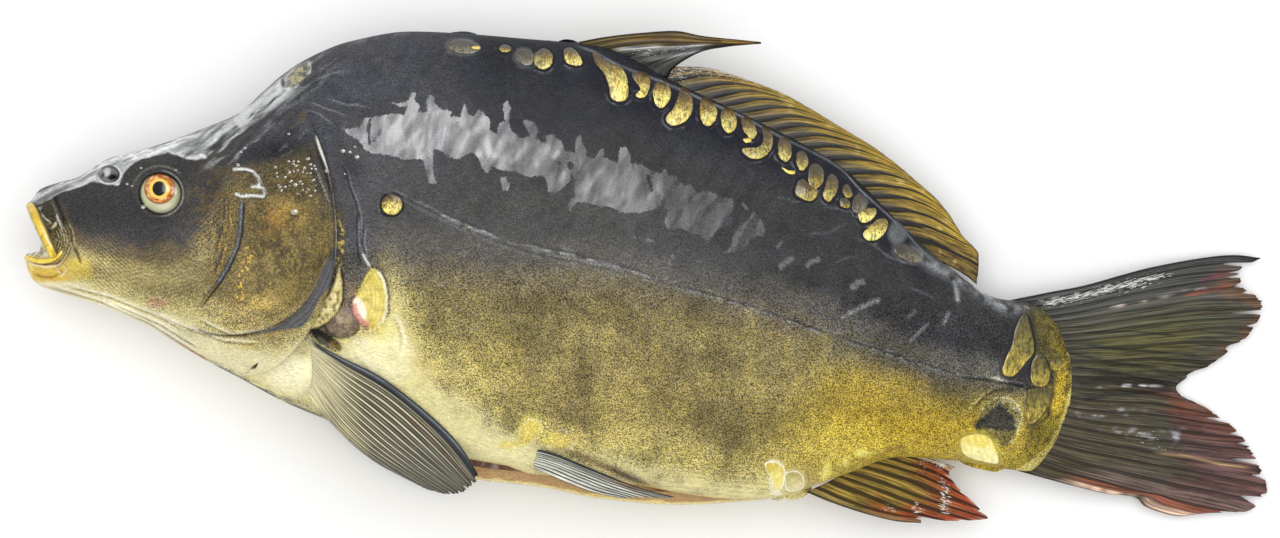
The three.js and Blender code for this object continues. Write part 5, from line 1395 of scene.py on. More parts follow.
def fin_piece(name, guides, across, along, zf, thick, count, paint, length=None, crest=0.3, branch=0.0):
    pts = fan(guides, across, 80)
    s = np.linspace(0, 1, across)
    t = np.linspace(0, 1, along)
    ln = length(s) if length else np.ones(across)
    u = np.array([np.interp(t * ln[i] * 79, np.arange(80), pts[i, :, 0]) for i in range(across)])
    v = np.array([np.interp(t * ln[i] * 79, np.arange(80), pts[i, :, 1]) for i in range(across)])
    S, T = s[:, None] + 0 * t[None, :], t[None, :] + 0 * s[:, None]
    reach = T * ln[:, None]
    z = zf(S, reach, u, v) + 0 * u
    x, y = px(u, v, z)
    wave = np.abs(np.cos(math.pi * count * S)) ** 2
    half = mix(thick[0], thick[1], T ** 0.6) / 2 + crest * wave * np.minimum(1, 5 * T) * (1 - 0.6 * T)
    half = half * np.where(T > 0.995, 0.35, 1.0) * np.where((S < 0.002) | (S > 0.998), 0.5, 1.0)
    zt, zb = z + half, np.maximum(z - half, 0.05)
    zt = np.maximum(zt, zb + 0.25)
    q = np.stack([x, y, z], -1)
    web, ray, rw, fleck, edge = paint(u, v, S, T, q)
    ft = grid_faces(across, along)
    nv = across * along
    i, j = np.arange(across - 1), np.arange(along - 1)
    last = along - 1
    rims = [np.stack([(i + 1) * along + last, i * along + last, nv + i * along + last, nv + (i + 1) * along + last], -1),
            np.stack([i * along, (i + 1) * along, nv + (i + 1) * along, nv + i * along], -1),
            np.stack([j + 1, j, nv + j, nv + j + 1], -1),
            np.stack([(across - 1) * along + j, (across - 1) * along + j + 1, nv + (across - 1) * along + j + 1, nv + (across - 1) * along + j], -1)]
    faces = np.concatenate([ft, ft[:, ::-1] + nv] + rims)
    w = np.concatenate([world(x, y, zt).reshape(-1, 3), world(x, y, zb).reshape(-1, 3)])
    two = lambda a: np.concatenate([a.reshape(nv, -1)] * 2)
    f = ft[len(ft) // 2]
    upward = np.cross(w[f[1]] - w[f[0]], w[f[2]] - w[f[1]])[2] > 0
    one = lambda a: two(np.broadcast_to(np.asarray(a, float), S.shape).copy())[:, 0]
    return make(name, w, faces, MAT_FIN,
                {"paint": two(web), "paint2": two(ray), "rs": one(S * count), "rt": one(reach * 1.0), "rw": one(rw), "fleck": one(fleck), "re": one(edge)},
                flip=not upward)


def plain_col(shape, rgb):
    return np.zeros(shape + (3,)) + lin(*rgb)


def ux(u):
    return 247 + (u - 640) * MM_PX


def notch(s, cuts):
    out = np.ones_like(s)
    for at, wide, deep in cuts:
        out = out * (1 - deep * np.maximum(0, 1 - np.abs(s - at) / wide) ** 0.8)
    return out


def build_fins():
    # ---- tail
    def tail_paint(u, v, s, t, q):
        web = plain_col(u.shape, (68, 67, 56))
        web = over(web, (64, 65, 64), 0.8 * smooth(0.30, 0.08, s))
        web = over(web, (94, 90, 46), 0.7 * bump(s, 0.42, 0.13) * smooth(0.05, 0.3, t) * smooth(1.0, 0.6, t))
        web = over(web, (66, 62, 46), 0.7 * bump(s, 0.535, 0.06))
        web = over(web, (112, 78, 48), 0.7 * smooth(0.86, 1.0, t + 0.16 * fbm(q, 9, 2, 201)) * smooth(0.52, 0.4, s) * smooth(0.02, 0.15, s))
        low = smooth(0.52, 0.58, s)
        web = over(web, (74, 66, 44), 0.7 * low * smooth(0.8, 0.4, t))
        web = over(web, (92, 54, 46), 0.85 * low * smooth(0.52, 0.82, t + 0.16 * fbm(q, 9, 2, 202)))
        web = over(web, (112, 62, 36), 0.7 * low * smooth(0.62, 0.9, t) * smooth(0.74, 0.60, s))
        web = over(web, (104, 78, 80), 0.5 * low * bump(s, 0.82, 0.08) * smooth(0.6, 0.8, t))
        web = over(web, (114, 96, 92), 0.55 * bump(s, 0.93, 0.035) * smooth(0.2, 0.4, t))
        web = over(web, (232, 196, 172), 0.9 * smooth(0.974, 0.986, s) * smooth(0.22, 0.35, t) * smooth(-0.5, 0.1, fbm(q, 6, 2, 204)))
        web = over(web, (150, 84, 60), 0.7 * bump(s, 0.965, 0.012) * smooth(0.2, 0.35, t))
        web = over(web, (230, 190, 140), 0.95 * line(u, v, [(1150, 452), (1190, 457), (1222, 464), (1256, 468)], 1.3, 0.15))
        brk = smooth(-0.3, 0.3, fbm(q, 3.4, 2, 206))
        # painted glints: a broken pale line along the upper lobe
        web = over(web, (214, 196, 190), 0.9 * brk * line(u, v, [(1104, 309), (1140, 302), (1180, 293), (1216, 287)], 1.5, 0.1))
        web = over(web, (150, 72, 52), 0.7 * line(u, v, [(1180, 296), (1206, 291), (1236, 284)], 2.0, 0.2))
        web = over(web, (96, 50, 66), 0.8 * line(u, v, [(1196, 284), (1216, 276), (1236, 268)], 3.4, 0.2))
        # painted sheen: pale bluish spots on the lower lobe
        web = over(web, (198, 198, 208), 0.8 * smooth(0.1, 0.4, fbm(q, 2.6, 2, 207)) * np.clip(blob(u, v, 1160, 442, 26, 7, -20) + 0.7 * blob(u, v, 1105, 412, 26, 5, -4) + 0.6 * blob(u, v, 1130, 432, 20, 4, 6), 0, 1))
        web = over(web, (26, 26, 28), 0.9 * smooth(0.022, 0.006, s))
        for pts, wd in (([(1080, 345), (1120, 349), (1160, 352), (1204, 356)], 1.6), ([(1064, 352), (1110, 362), (1160, 368)], 1.4),
                        ([(1074, 384), (1110, 382), (1150, 384), (1174, 388)], 3.0), ([(1078, 400), (1110, 395), (1150, 392), (1176, 390)], 2.6),
                        ([(1076, 333), (1130, 331), (1180, 336)], 1.2), ([(1070, 366), (1100, 371), (1140, 377), (1170, 384)], 1.6)):
            web = over(web, (24, 24, 26), 0.85 * line(u, v, pts, wd, 0.1))
        # painted highlights: pale lines inside two of the black stripes
        for pts, wd in (([(1092, 388), (1126, 385), (1166, 386)], 1.0), ([(1110, 386), (1150, 386)], 0.8)):
            web = over(web, (200, 202, 204), 0.75 * brk * line(u, v, pts, wd, 0.2))
        ray = web * 0.36
        rw = 0.20 + 0 * s
        # painted glints: pale flecks along the upper edge and on the lower lobe, drawn by the fin material
        fleck = 0.95 * np.exp(-((s - 0.08) / 0.045) ** 2) * smooth(0.06, 0.15, t) * smooth(0.75, 0.6, t)
        fleck = fleck + 0.3 * blob(u, v, 1150, 440, 40, 12, 15)
        return web, ray, rw, fleck, 0 * s

    tail = [(0.00, [(1006, 301), (1050, 292), (1086, 285), (1144, 269), (1195, 259), (1233, 255), (1261, 258)]),
            (0.10, [(1018, 308), (1060, 303), (1120, 289), (1180, 276), (1240, 271)]),
            (0.19, [(1032, 318), (1075, 312), (1140, 300), (1200, 291), (1242, 286)]),
            (0.245, [(1039, 324), (1083, 319), (1145, 309), (1203, 301), (1262, 301)]),
            (0.29, [(1045, 330), (1090, 326), (1150, 317), (1205, 311), (1262, 309)]),
            (0.40, [(1052, 345), (1100, 342), (1160, 337), (1205, 333), (1250, 333)]),
            (0.48, [(1055, 362), (1100, 362), (1150, 361), (1213, 363)]),
            (0.535, [(1056, 378), (1100, 381), (1140, 384), (1176, 388)]),
            (0.60, [(1054, 393), (1100, 396), (1150, 399), (1208, 409)]),
            (0.69, [(1050, 409), (1100, 417), (1160, 422), (1238, 432)]),
            (0.78, [(1044, 424), (1090, 434), (1150, 444), (1255, 457)]),
            (0.87, [(1036, 440), (1080, 453), (1150, 467), (1267, 490)]),
            (0.94, [(1024, 455), (1070, 470), (1140, 488), (1243, 512)]),
            (1.00, [(1004, 467), (1062, 483), (1103, 493), (1134, 497), (1146, 507), (1176, 516), (1200, 513)])]

    def ragged(s):
        k = notch(s, [(0.052, 0.014, 0.11), (0.105, 0.008, 0.05), (0.135, 0.010, 0.09), (0.19, 0.010, 0.04), (0.215, 0.008, 0.05), (0.305, 0.010, 0.16), (0.37, 0.006, 0.03),
                      (0.44, 0.010, 0.05), (0.50, 0.01, 0.03), (0.645, 0.010, 0.12), (0.70, 0.008, 0.05), (0.735, 0.008, 0.07), (0.795, 0.008, 0.16),
                      (0.835, 0.006, 0.05), (0.90, 0.010, 0.10), (0.958, 0.008, 0.06)])
        return k * (1 + 0.010 * np.sin(97 * s) + 0.008 * np.sin(231 * s + 1) + 0.005 * np.sin(517 * s))

    fin_piece("tail_fin", tail, 300, 64, lambda s, t, u, v: mix(13.5, 3.0, smooth(0, 1, t)) + 1.0 * np.sin(7 * s) * t * t, (3.4, 0.6), 21, tail_paint, ragged, 0.3)

    # ---- back fin, folded first rays
    def lobe_paint(u, v, s, t, q):
        web = plain_col(u.shape, (96, 80, 40))
        web = over(web, (52, 52, 52), 0.9 * smooth(0.42, 0.6, s + 0.05 * fbm(q, 8, 2, 211)))
        web = over(web, (150, 118, 58), 0.6 * bump(s, 0.25, 0.1) * smooth(0.1, 0.3, t) * smooth(0.8, 0.6, t))
        web = over(web, (190, 150, 62), 0.9 * line(u, v, [(720, 41), (738, 42.5), (757, 43)], 1.4, 0.1))
        for pts in ([(630, 56), (660, 50), (690, 47), (716, 44)], [(640, 62), (668, 57), (690, 52), (706, 47)], [(610, 50), (640, 48), (668, 46)]):
            web = over(web, (190, 192, 192), 0.75 * line(u, v, pts, 1.7, 0.25))
        web = over(web, (20, 20, 20), 0.9 * np.maximum(smooth(0.09, 0.03, s), smooth(0.93, 0.98, s)))
        ray = web * 0.35
        return web, ray, 0.3 + 0 * s, 0.5 * bump(s, 0.62, 0.16) * smooth(0.05, 0.2, t) * smooth(0.7, 0.5, t), 0 * s

    lobe = [(0.0, [(578, 42), (605, 37), (640, 33), (676, 31), (703, 36), (742, 40), (761, 42)]),
            (0.35, [(592, 49), (620, 43), (660, 40), (700, 42), (735, 43), (761, 42.6)]),
            (0.7, [(622, 62), (650, 56), (690, 50), (725, 45.5), (761, 43.2)]),
            (1.0, [(668, 78), (676, 66), (701, 52), (726, 47), (745, 45), (761, 43.8)])]
    fin_piece("back_fin_front", lobe, 64, 70, lambda s, t, u, v: middle(ux(u)) + 1.6 + 2.4 * t - 1.6 * t * t, (2.6, 0.8), 5, lobe_paint, None, 0.5)

    def back_paint(u, v, s, t, q):
        web = plain_col(u.shape, (142, 118, 48))
        web = over(web, (92, 78, 38), smooth(0.5, 0.05, t))
        web = over(web, (178, 148, 56), 0.85 * smooth(0.45, 0.95, t) * smooth(1.0, 0.85, s))
        web = over(web, (96, 76, 44), 0.75 * smooth(0.86, 0.97, s))
        web = over(web, (132, 92, 40), 0.5 * bump(s, 0.03, 0.05))
        web = over(web, (216, 190, 110), 0.5 * smooth(0.25, 0.6, fbm(q, 3.2, 2, 221)) * smooth(0.3, 0.6, t))
        web = over(web, (20, 20, 18), 0.9 * smooth(0.965, 0.99, t))
        web = over(web, (18, 18, 18), 0.9 * smooth(0.02, 0.004, s))
        ray = plain_col(u.shape, (26, 26, 26)) * mix(1.0, 1.8, t)[..., None]
        rw = mix(0.50, 0.13, smooth(0.0, 0.75, t))
        fleck = 0.75 * smooth(0.22, 0.04, s) * smooth(0.02, 0.1, t) + 0.1 * smooth(0.5, 0.8, t)
        return web, ray, rw, fleck, 0 * s

    dorsal = [(0.00, [(640, 72), (660, 68), (684, 66.5), (709, 68), (734, 75)]),
              (0.10, [(662, 80), (700, 74), (745, 80), (780, 92)]),
              (0.20, [(696, 95), (735, 88), (770, 93), (806, 106)]),
              (0.32, [(731, 111), (770, 105), (800, 109), (839, 126)]),
              (0.45, [(769, 130), (807, 126), (850, 137), (878, 150)]),
              (0.58, [(804, 152), (840, 150), (880, 160), (913, 178)]),
              (0.70, [(840, 180), (880, 180), (915, 188), (943, 206)]),
              (0.82, [(866, 204), (905, 207), (937, 218), (963, 236)]),
              (0.92, [(893, 228), (930, 235), (957, 247), (979, 257)]),
              (1.00, [(912, 252), (945, 264), (965, 275), (977, 285)])]
    fin_piece("back_fin", dorsal, 240, 40, lambda s, t, u, v: middle(np.minimum(ux(u), 386)) + 0.8 - 3.4 * t, (3.0, 0.6), 18, back_paint,
              lambda s: 1 + 0.006 * np.sin(18 * 2 * math.pi * s) + 0.006 * np.sin(61 * s), 0.45)

    # ---- anal fin
    def anal_paint(u, v, s, t, q):
        web = plain_col(u.shape, (142, 118, 50))
        edge = t + 0.16 * fbm(q, 7, 2, 231) + 0.12 * (s - 0.4)
        web = over(web, (140, 76, 34), 0.9 * smooth(0.38, 0.62, edge))
        web = over(web, (158, 62, 34), 0.8 * smooth(0.66, 0.9, edge))
        web = over(web, (206, 150, 120), 0.7 * smooth(0.93, 1.0, t))
        web = over(web, (128, 120, 84), 0.6 * smooth(0.14, 0.0, s))
        web = over(web, (214, 200, 150), 0.7 * smooth(0.86, 0.98, s) * smooth(0.2, 0.6, t))
        ray = web * 0.16
        rw = mix(0.40, 0.30, t)
        # painted glints: pale flecks on the anal fin, drawn by the fin material
        fleck = 0.75 * smooth(0.45, 0.6, t) * smooth(0.92, 0.8, t) * smooth(0.06, 0.2, s) * (0.5 + 0.5 * np.sin(2.2 * u * 0.1 + 1))
        fleck = fleck + 0.5 * smooth(0.8, 0.95, s) * smooth(0.3, 0.5, t)
        return web, ray, rw, fleck, 0 * s

    anal = [(0.00, [(806, 492), (830, 502), (863, 513), (895, 521), (921, 523)]),
            (0.14, [(820, 486), (850, 499), (885, 511), (921, 518)]),
            (0.24, [(832, 480), (865, 493), (905, 508), (950, 521)]),
            (0.46, [(848, 471), (885, 482), (930, 499), (988, 518)]),
            (0.60, [(862, 463), (900, 473), (937, 487), (975, 504)]),
            (0.76, [(878, 456), (905, 464), (932, 473), (955, 484)]),
            (0.88, [(890, 450), (912, 458), (932, 464), (949, 473)]),
            (1.00, [(900, 446), (920, 455), (938, 461), (955, 467)])]
    fin_piece("anal_fin", anal, 100, 46, lambda s, t, u, v: middle(np.minimum(ux(u), 360)) + 0.5 - 8 * t, (3.0, 0.6), 9, anal_paint,
              lambda s: notch(s, [(0.10, 0.03, 0.05), (0.185, 0.02, 0.13), (0.3, 0.02, 0.03), (0.53, 0.02, 0.05), (0.68, 0.02, 0.06), (0.82, 0.02, 0.10)]), 0.4)

    # ---- paired fins
    def pect_paint(u, v, s, t, q):
        web = plain_col(u.shape, (112, 110, 96))
        web = over(web, (138, 134, 104), 0.7 * smooth(0.75, 0.3, t))
        web = over(web, (222, 212, 166), 0.95 * smooth(0.34, 0.06, t + 0.10 * fbm(q, 8, 2, 241) - 0.22 * smooth(0.3, 0.9, s)))
        web = over(web, (118, 82, 60), 0.5 * bump(s, 0.2, 0.05) * smooth(0.3, 0.6, t))
        lead = smooth(0.145, 0.10, s) * smooth(0.0, 0.05, t)
        web = over(web, (40, 44, 52), 0.95 * lead)
        web = over(web, (132, 140, 150), 0.85 * bump(s, 0.035, 0.012) * smooth(0.05, 0.15, t) * smooth(1.0, 0.8, t))
        web = over(web, (160, 152, 120), 0.8 * bump(s, 0.15, 0.012) * smooth(0.05, 0.2, t))
        web = over(web, (22, 23, 26), 0.9 * smooth(0.012, 0.0, s))
        web = over(web, (30, 30, 30), 0.8 * smooth(0.975, 1.0, t))
        ray = over(plain_col(u.shape, (222, 214, 180)), (156, 150, 126), smooth(0.45, 1.0, t))
        ray = over(ray, (46, 50, 58), 0.9 * lead)
        rw = mix(0.26, 0.18, t)
        return web, ray, rw, 0.12 * smooth(0.3, 0.6, t) + 0.35 * smooth(0.9, 1.0, s), 0.85 * smooth(0.1, 0.3, t) * (1 - lead)

    pect = [(0.00, [(307, 337), (337, 355), (378, 375), (412, 400), (441, 425), (462, 448), (478, 474)]),
            (0.14, [(309, 343), (345, 367), (385, 391), (420, 419), (450, 449), (476, 482)]),
            (0.30, [(311, 351), (345, 380), (385, 409), (420, 440), (469, 487)]),
            (0.50, [(312, 362), (341, 395), (377, 427), (415, 458), (461, 493)]),
            (0.70, [(312, 374), (337, 409), (369, 441), (405, 468), (447, 494)]),
            (0.86, [(311, 385), (332, 418), (361, 447), (395, 471), (429, 490)]),
            (1.00, [(309, 396), (329, 421), (353, 445), (378, 464), (405, 478)])]
    f0 = float(flank(118.0, -34.0))
    f1 = float(flank(118.0, -34.0, -1))

    def skin_z(u, v, side=1):
        z = 55.0 if side > 0 else 15.0
        for _ in range(3):
            x, y = px(u, v, z)
            lowest = belly(x) + (cut_step(x) if side > 0 else 0) + 3.0
            z = flank(x, np.maximum(y, lowest), side)
        return z

    def pect_z(s, t, u, v):
        z = mix(f0 - 1.5, 0, smooth(0, 0.22, t)) + smooth(0, 0.22, t) * (55 + 9 * (1 - t) + 4 * (1 - s)) + 0.5 * np.sin(9 * s) * t
        return np.maximum(z, skin_z(u, v) + mix(-1.4, 2.2, smooth(0.02, 0.2, t)))

    tip = lambda s: notch(s, [(0.08, 0.03, 0.02), (0.2, 0.02, 0.03), (0.35, 0.02, 0.025), (0.5, 0.02, 0.03), (0.64, 0.015, 0.02), (0.8, 0.02, 0.02)]) * (1 + 0.006 * np.sin(105 * s))
    fin_piece("pectoral_fin_left", pect, 140, 60, pect_z, (2.4, 0.6), 16, pect_paint, tip, 0.4)
    fin_piece("pectoral_fin_right", [(s, [(u - 3, v - 4) for u, v in pts]) for s, pts in pect], 64, 34,
              lambda s, t, u, v: mix(f1 + 1.6, 9, smooth(0, 0.4, t)) - 4.4 * t, (2.4, 0.6), 16, pect_paint, tip, 0.4)

    def pelv_paint(u, v, s, t, q):
        web = plain_col(u.shape, (226, 226, 212))
        web = over(web, (104, 106, 100), 0.75 * smooth(0.5, 0.2, s) * smooth(0.1, 0.25, t))
        web = over(web, (178, 180, 172), 0.6 * smooth(0.6, 0.95, t))
        web = over(web, (40, 44, 50), 0.92 * smooth(0.17, 0.09, s) * smooth(0.03, 0.12, t))
        web = over(web, (236, 230, 190), 0.9 * smooth(0.16, 0.02, t))
        web = over(web, (150, 96, 50), 0.8 * blob(u, v, 628, 486, 16, 2.4, 20))
        web = over(web, (226, 226, 214), 0.6 * bump(s, 0.18, 0.02) * smooth(0.1, 0.2, t))
        ray = over(plain_col(u.shape, (30, 31, 33)), (206, 200, 160), smooth(0.2, 0.05, t))
        rw = mix(0.22, 0.34, t)
        return web, ray, rw, 0.1 + 0 * s, 0 * s

    pelv = [(0.0, [(510, 449), (530, 448), (556, 454), (585, 466), (614, 478), (644, 489), (675, 497)]),
            (0.35, [(511, 452), (545, 457), (581, 470), (612, 482), (640, 491), (665, 498)]),
            (0.7, [(513, 456), (545, 464), (575, 476), (605, 488), (636, 497)]),
            (1.0, [(515, 461), (540, 471), (566, 482), (592, 492), (620, 498)])]
    g1 = float(flank(201.0, -73.5, -1))

    def pelv_z(s, t, u, v):
        base = skin_z(u, v)
        return base + mix(-3.4, 2.6, smooth(0, 0.24, t)) - 1.5 * t * s
    fin_piece("pelvic_fin_left", pelv, 70, 56, pelv_z, (2.2, 0.5), 9, pelv_paint, None, 0.35)
    fin_piece("pelvic_fin_right", [(s, [(u - 6, v - 8) for u, v in pts]) for s, pts in pelv], 36, 30,
              lambda s, t, u, v: mix(g1 + 1.4, 12, smooth(0, 0.3, t)) - 9.5 * t, (2.2, 0.5), 9, pelv_paint, None, 0.35)


# ------------------------------------------------------------------ scales
def oval(cu, cv, w, h, turn=0.0, n=14):
    a, t = np.linspace(0, 2 * math.pi, n, endpoint=False), math.radians(turn)
    du, dv = w / 2 * np.cos(a), h / 2 * np.sin(a)
    return list(zip(cu + du * math.cos(t) - dv * math.sin(t), cv + du * math.sin(t) + dv * math.cos(t)))


# tone and outline in side-view pixels; a third entry is a centre for hooked shapes
SCALES = [
    ("gold", oval(392, 204.5, 21, 21)), ("clear", oval(464, 46.5, 34, 14, 5)), ("fleck", oval(475, 47.5, 11, 5)), ("olive", oval(505, 48.5, 12, 8)),
    ("clear", oval(525, 57, 20, 16, 20)), ("gold", oval(543.5, 59, 19, 21, 12)), ("gold", [(564, 50), (572, 48), (580, 56), (582, 64), (576, 66), (566, 62)]),
    ("gold", [(592, 52), (597, 52), (605, 60), (614, 65), (622, 68), (627, 78), (628.5, 92), (627, 99), (619, 102), (611, 98), (609, 88), (606, 78), (601, 70), (595, 62)], (617, 82)),
    ("gold", [(632, 74), (639, 71), (647, 73), (650, 80), (649, 90), (645, 97), (639, 98), (635, 95), (641, 92), (639, 86), (634, 80)], (645, 86)),
    ("gold", [(655, 84), (660, 80.5), (666, 81), (670, 88), (671, 96), (667, 104), (661, 108), (656, 105), (653, 96), (653, 89)]),
    ("gold", [(679, 90), (684, 87), (690, 92), (693, 101), (692, 112), (687, 120), (681, 124), (672, 126), (667, 122), (666, 117), (672, 110), (677, 100)], (683, 112)),
    ("gold", [(701, 99), (706, 97), (713, 102), (717, 110), (716, 119), (710, 126), (703, 124), (700, 114), (700, 105)]),
    ("gold", [(725, 106), (730, 108), (735, 113), (737, 121), (736, 128), (730, 133), (724, 130), (721, 122), (721, 112)]),
    ("gold", [(741, 118), (747, 116.5), (753, 122), (757, 130), (756, 136), (752, 139), (746, 134), (742, 126)]),
    ("fleck", [(743, 139), (750, 138), (751, 141), (746, 143)]),
    ("gold", [(761, 126), (768, 128), (773, 137), (772, 147), (768, 153), (764, 157), (756, 159), (748, 157), (742, 151), (743, 148), (752, 148), (760, 146), (763, 140), (762, 132)], (767, 147.6)),
    ("gold", [(779, 139), (785, 137), (790, 141), (792, 151), (789, 160), (785, 162), (779, 156), (778, 147)]),
    ("gold", [(797, 153), (802, 151), (807, 155), (808.5, 162), (805, 169), (801, 170.5), (797, 166), (796, 159)]),
    ("fleck", [(781, 167), (788, 170), (795, 171), (794, 174), (787, 173)]),
    ("olive", [(810, 166), (817, 163.5), (823, 169), (824, 178), (821, 185), (814, 189), (809, 184), (808, 175)]),
    ("gold", [(797, 183), (802, 179), (810, 184), (817, 189), (817, 196), (811, 201), (802, 199), (795, 193)]),
    ("gold", [(829, 175), (834, 174), (838, 180), (838, 189), (833, 198), (828, 202), (823, 196), (825, 186)]),
    ("olive", [(843, 186), (848, 184), (852, 190), (852, 196), (847, 198), (843, 193)]),
    ("olive", [(840, 199), (846, 198), (850, 203), (848, 208), (841, 206)]),
    ("clear", [(855, 196), (862, 195), (868, 201), (866, 208), (857, 213), (852, 208)]),
    ("bright", [(860, 211), (868, 208), (876, 209), (876, 215), (868, 222), (861, 222), (858, 216)]),
    ("bright", [(868, 228), (878, 219), (886, 219), (888, 225), (884, 234), (876, 240), (867, 240), (863, 234)]),
    ("clear", oval(908, 254, 30, 14, 24)),
    ("root", [(1023, 314), (1027, 316), (1031, 330), (1034, 345), (1033, 354), (1026, 362), (1018, 372), (1012, 377), (1004, 375), (1002, 370), (1006, 358), (1012, 345), (1015, 330), (1020, 318)], (1020, 346)),
    ("root", [(1038, 354), (1043, 356), (1048, 366), (1050, 378), (1045, 386), (1035, 386), (1031, 378), (1032, 364)]),
    ("root", [(1030, 389), (1049, 388), (1050, 398), (1044, 412), (1036, 421), (1029, 424), (1027, 410), (1028, 396)]),
    ("root", [(1051, 362), (1057, 358), (1062, 360), (1063, 365), (1057, 370), (1051, 368)]),
    ("pale", [(960, 440), (966, 436), (978, 434), (990, 438), (996, 450), (999, 460), (996, 464), (985, 462), (970, 458), (962, 452)]),
    ("lobe", [(765, 463), (775, 461), (784, 468), (785, 480), (780, 491), (774, 491), (771, 480), (767, 472)]),
    ("lobe2", [(786, 473), (796, 471), (803, 476), (804, 486), (798, 491), (788, 491), (785, 482)]),
]
# base, pale part, pocket (painted shade of the skin pocket round the scale), depth of the pocket (how dark that painted
# shade is), rim under it
TONES = {"gold": ((206, 168, 44), (252, 238, 128), (24, 25, 33), 1.0, (126, 128, 136)),
         "bright": ((226, 192, 60), (253, 242, 140), (34, 34, 36), 0.75, (140, 136, 110)),
         "olive": ((112, 98, 40), (186, 162, 60), (26, 27, 34), 0.95, (112, 114, 122)),
         "fleck": ((190, 156, 44), (246, 226, 110), (30, 31, 36), 0.4, (90, 90, 92)),
         "clear": ((82, 80, 68), (118, 112, 88), (112, 114, 116), 0.35, (140, 140, 140)),
         "root": ((112, 103, 44), (160, 142, 54), (36, 37, 42), 0.55, (60, 60, 62)),
         "pale": ((238, 220, 112), (250, 240, 168), (120, 112, 60), 0.35, (206, 190, 110)),
         "lobe": ((212, 192, 84), (240, 226, 130), (240, 236, 214), 0.6, (240, 236, 214)),
         "lobe2": ((186, 172, 100), (222, 206, 140), (196, 190, 150), 0.5, (200, 190, 150))}


def closed(points, n):
    """A smooth closed outline through the points, n samples evenly along it."""
    p = np.array(points, float)
    if np.sum(p[:, 0] * np.roll(p[:, 1], -1) - np.roll(p[:, 0], -1) * p[:, 1]) < 0:
        p = p[::-1]
    m = len(p)
    t = np.linspace(0, 1, 12, endpoint=False)[:, None]
    out = []
    for i in range(m):
        a, b, c, d = p[i - 1], p[i], p[(i + 1) % m], p[(i + 2) % m]
        out.append(0.5 * (2 * b + (c - a) * t + (2 * a - 5 * b + 4 * c - d) * t ** 2 + (3 * b - a - 3 * c + d) * t ** 3))
    out = np.vstack(out + [out[0][:1]])
    s = np.concatenate([[0], np.cumsum(np.linalg.norm(np.diff(out, axis=0), axis=1))])
    k = np.linspace(0, s[-1], n, endpoint=False)
    return np.stack([np.interp(k, s, out[:, 0]), np.interp(k, s, out[:, 1])], -1)


def skin_at(u, v, side):
    """Point of the finished skin under a pixel."""
    x, y, z = on_flank(u, v, side)
    return x, y, z + side * relief_body(x, y, z, None, side, False)


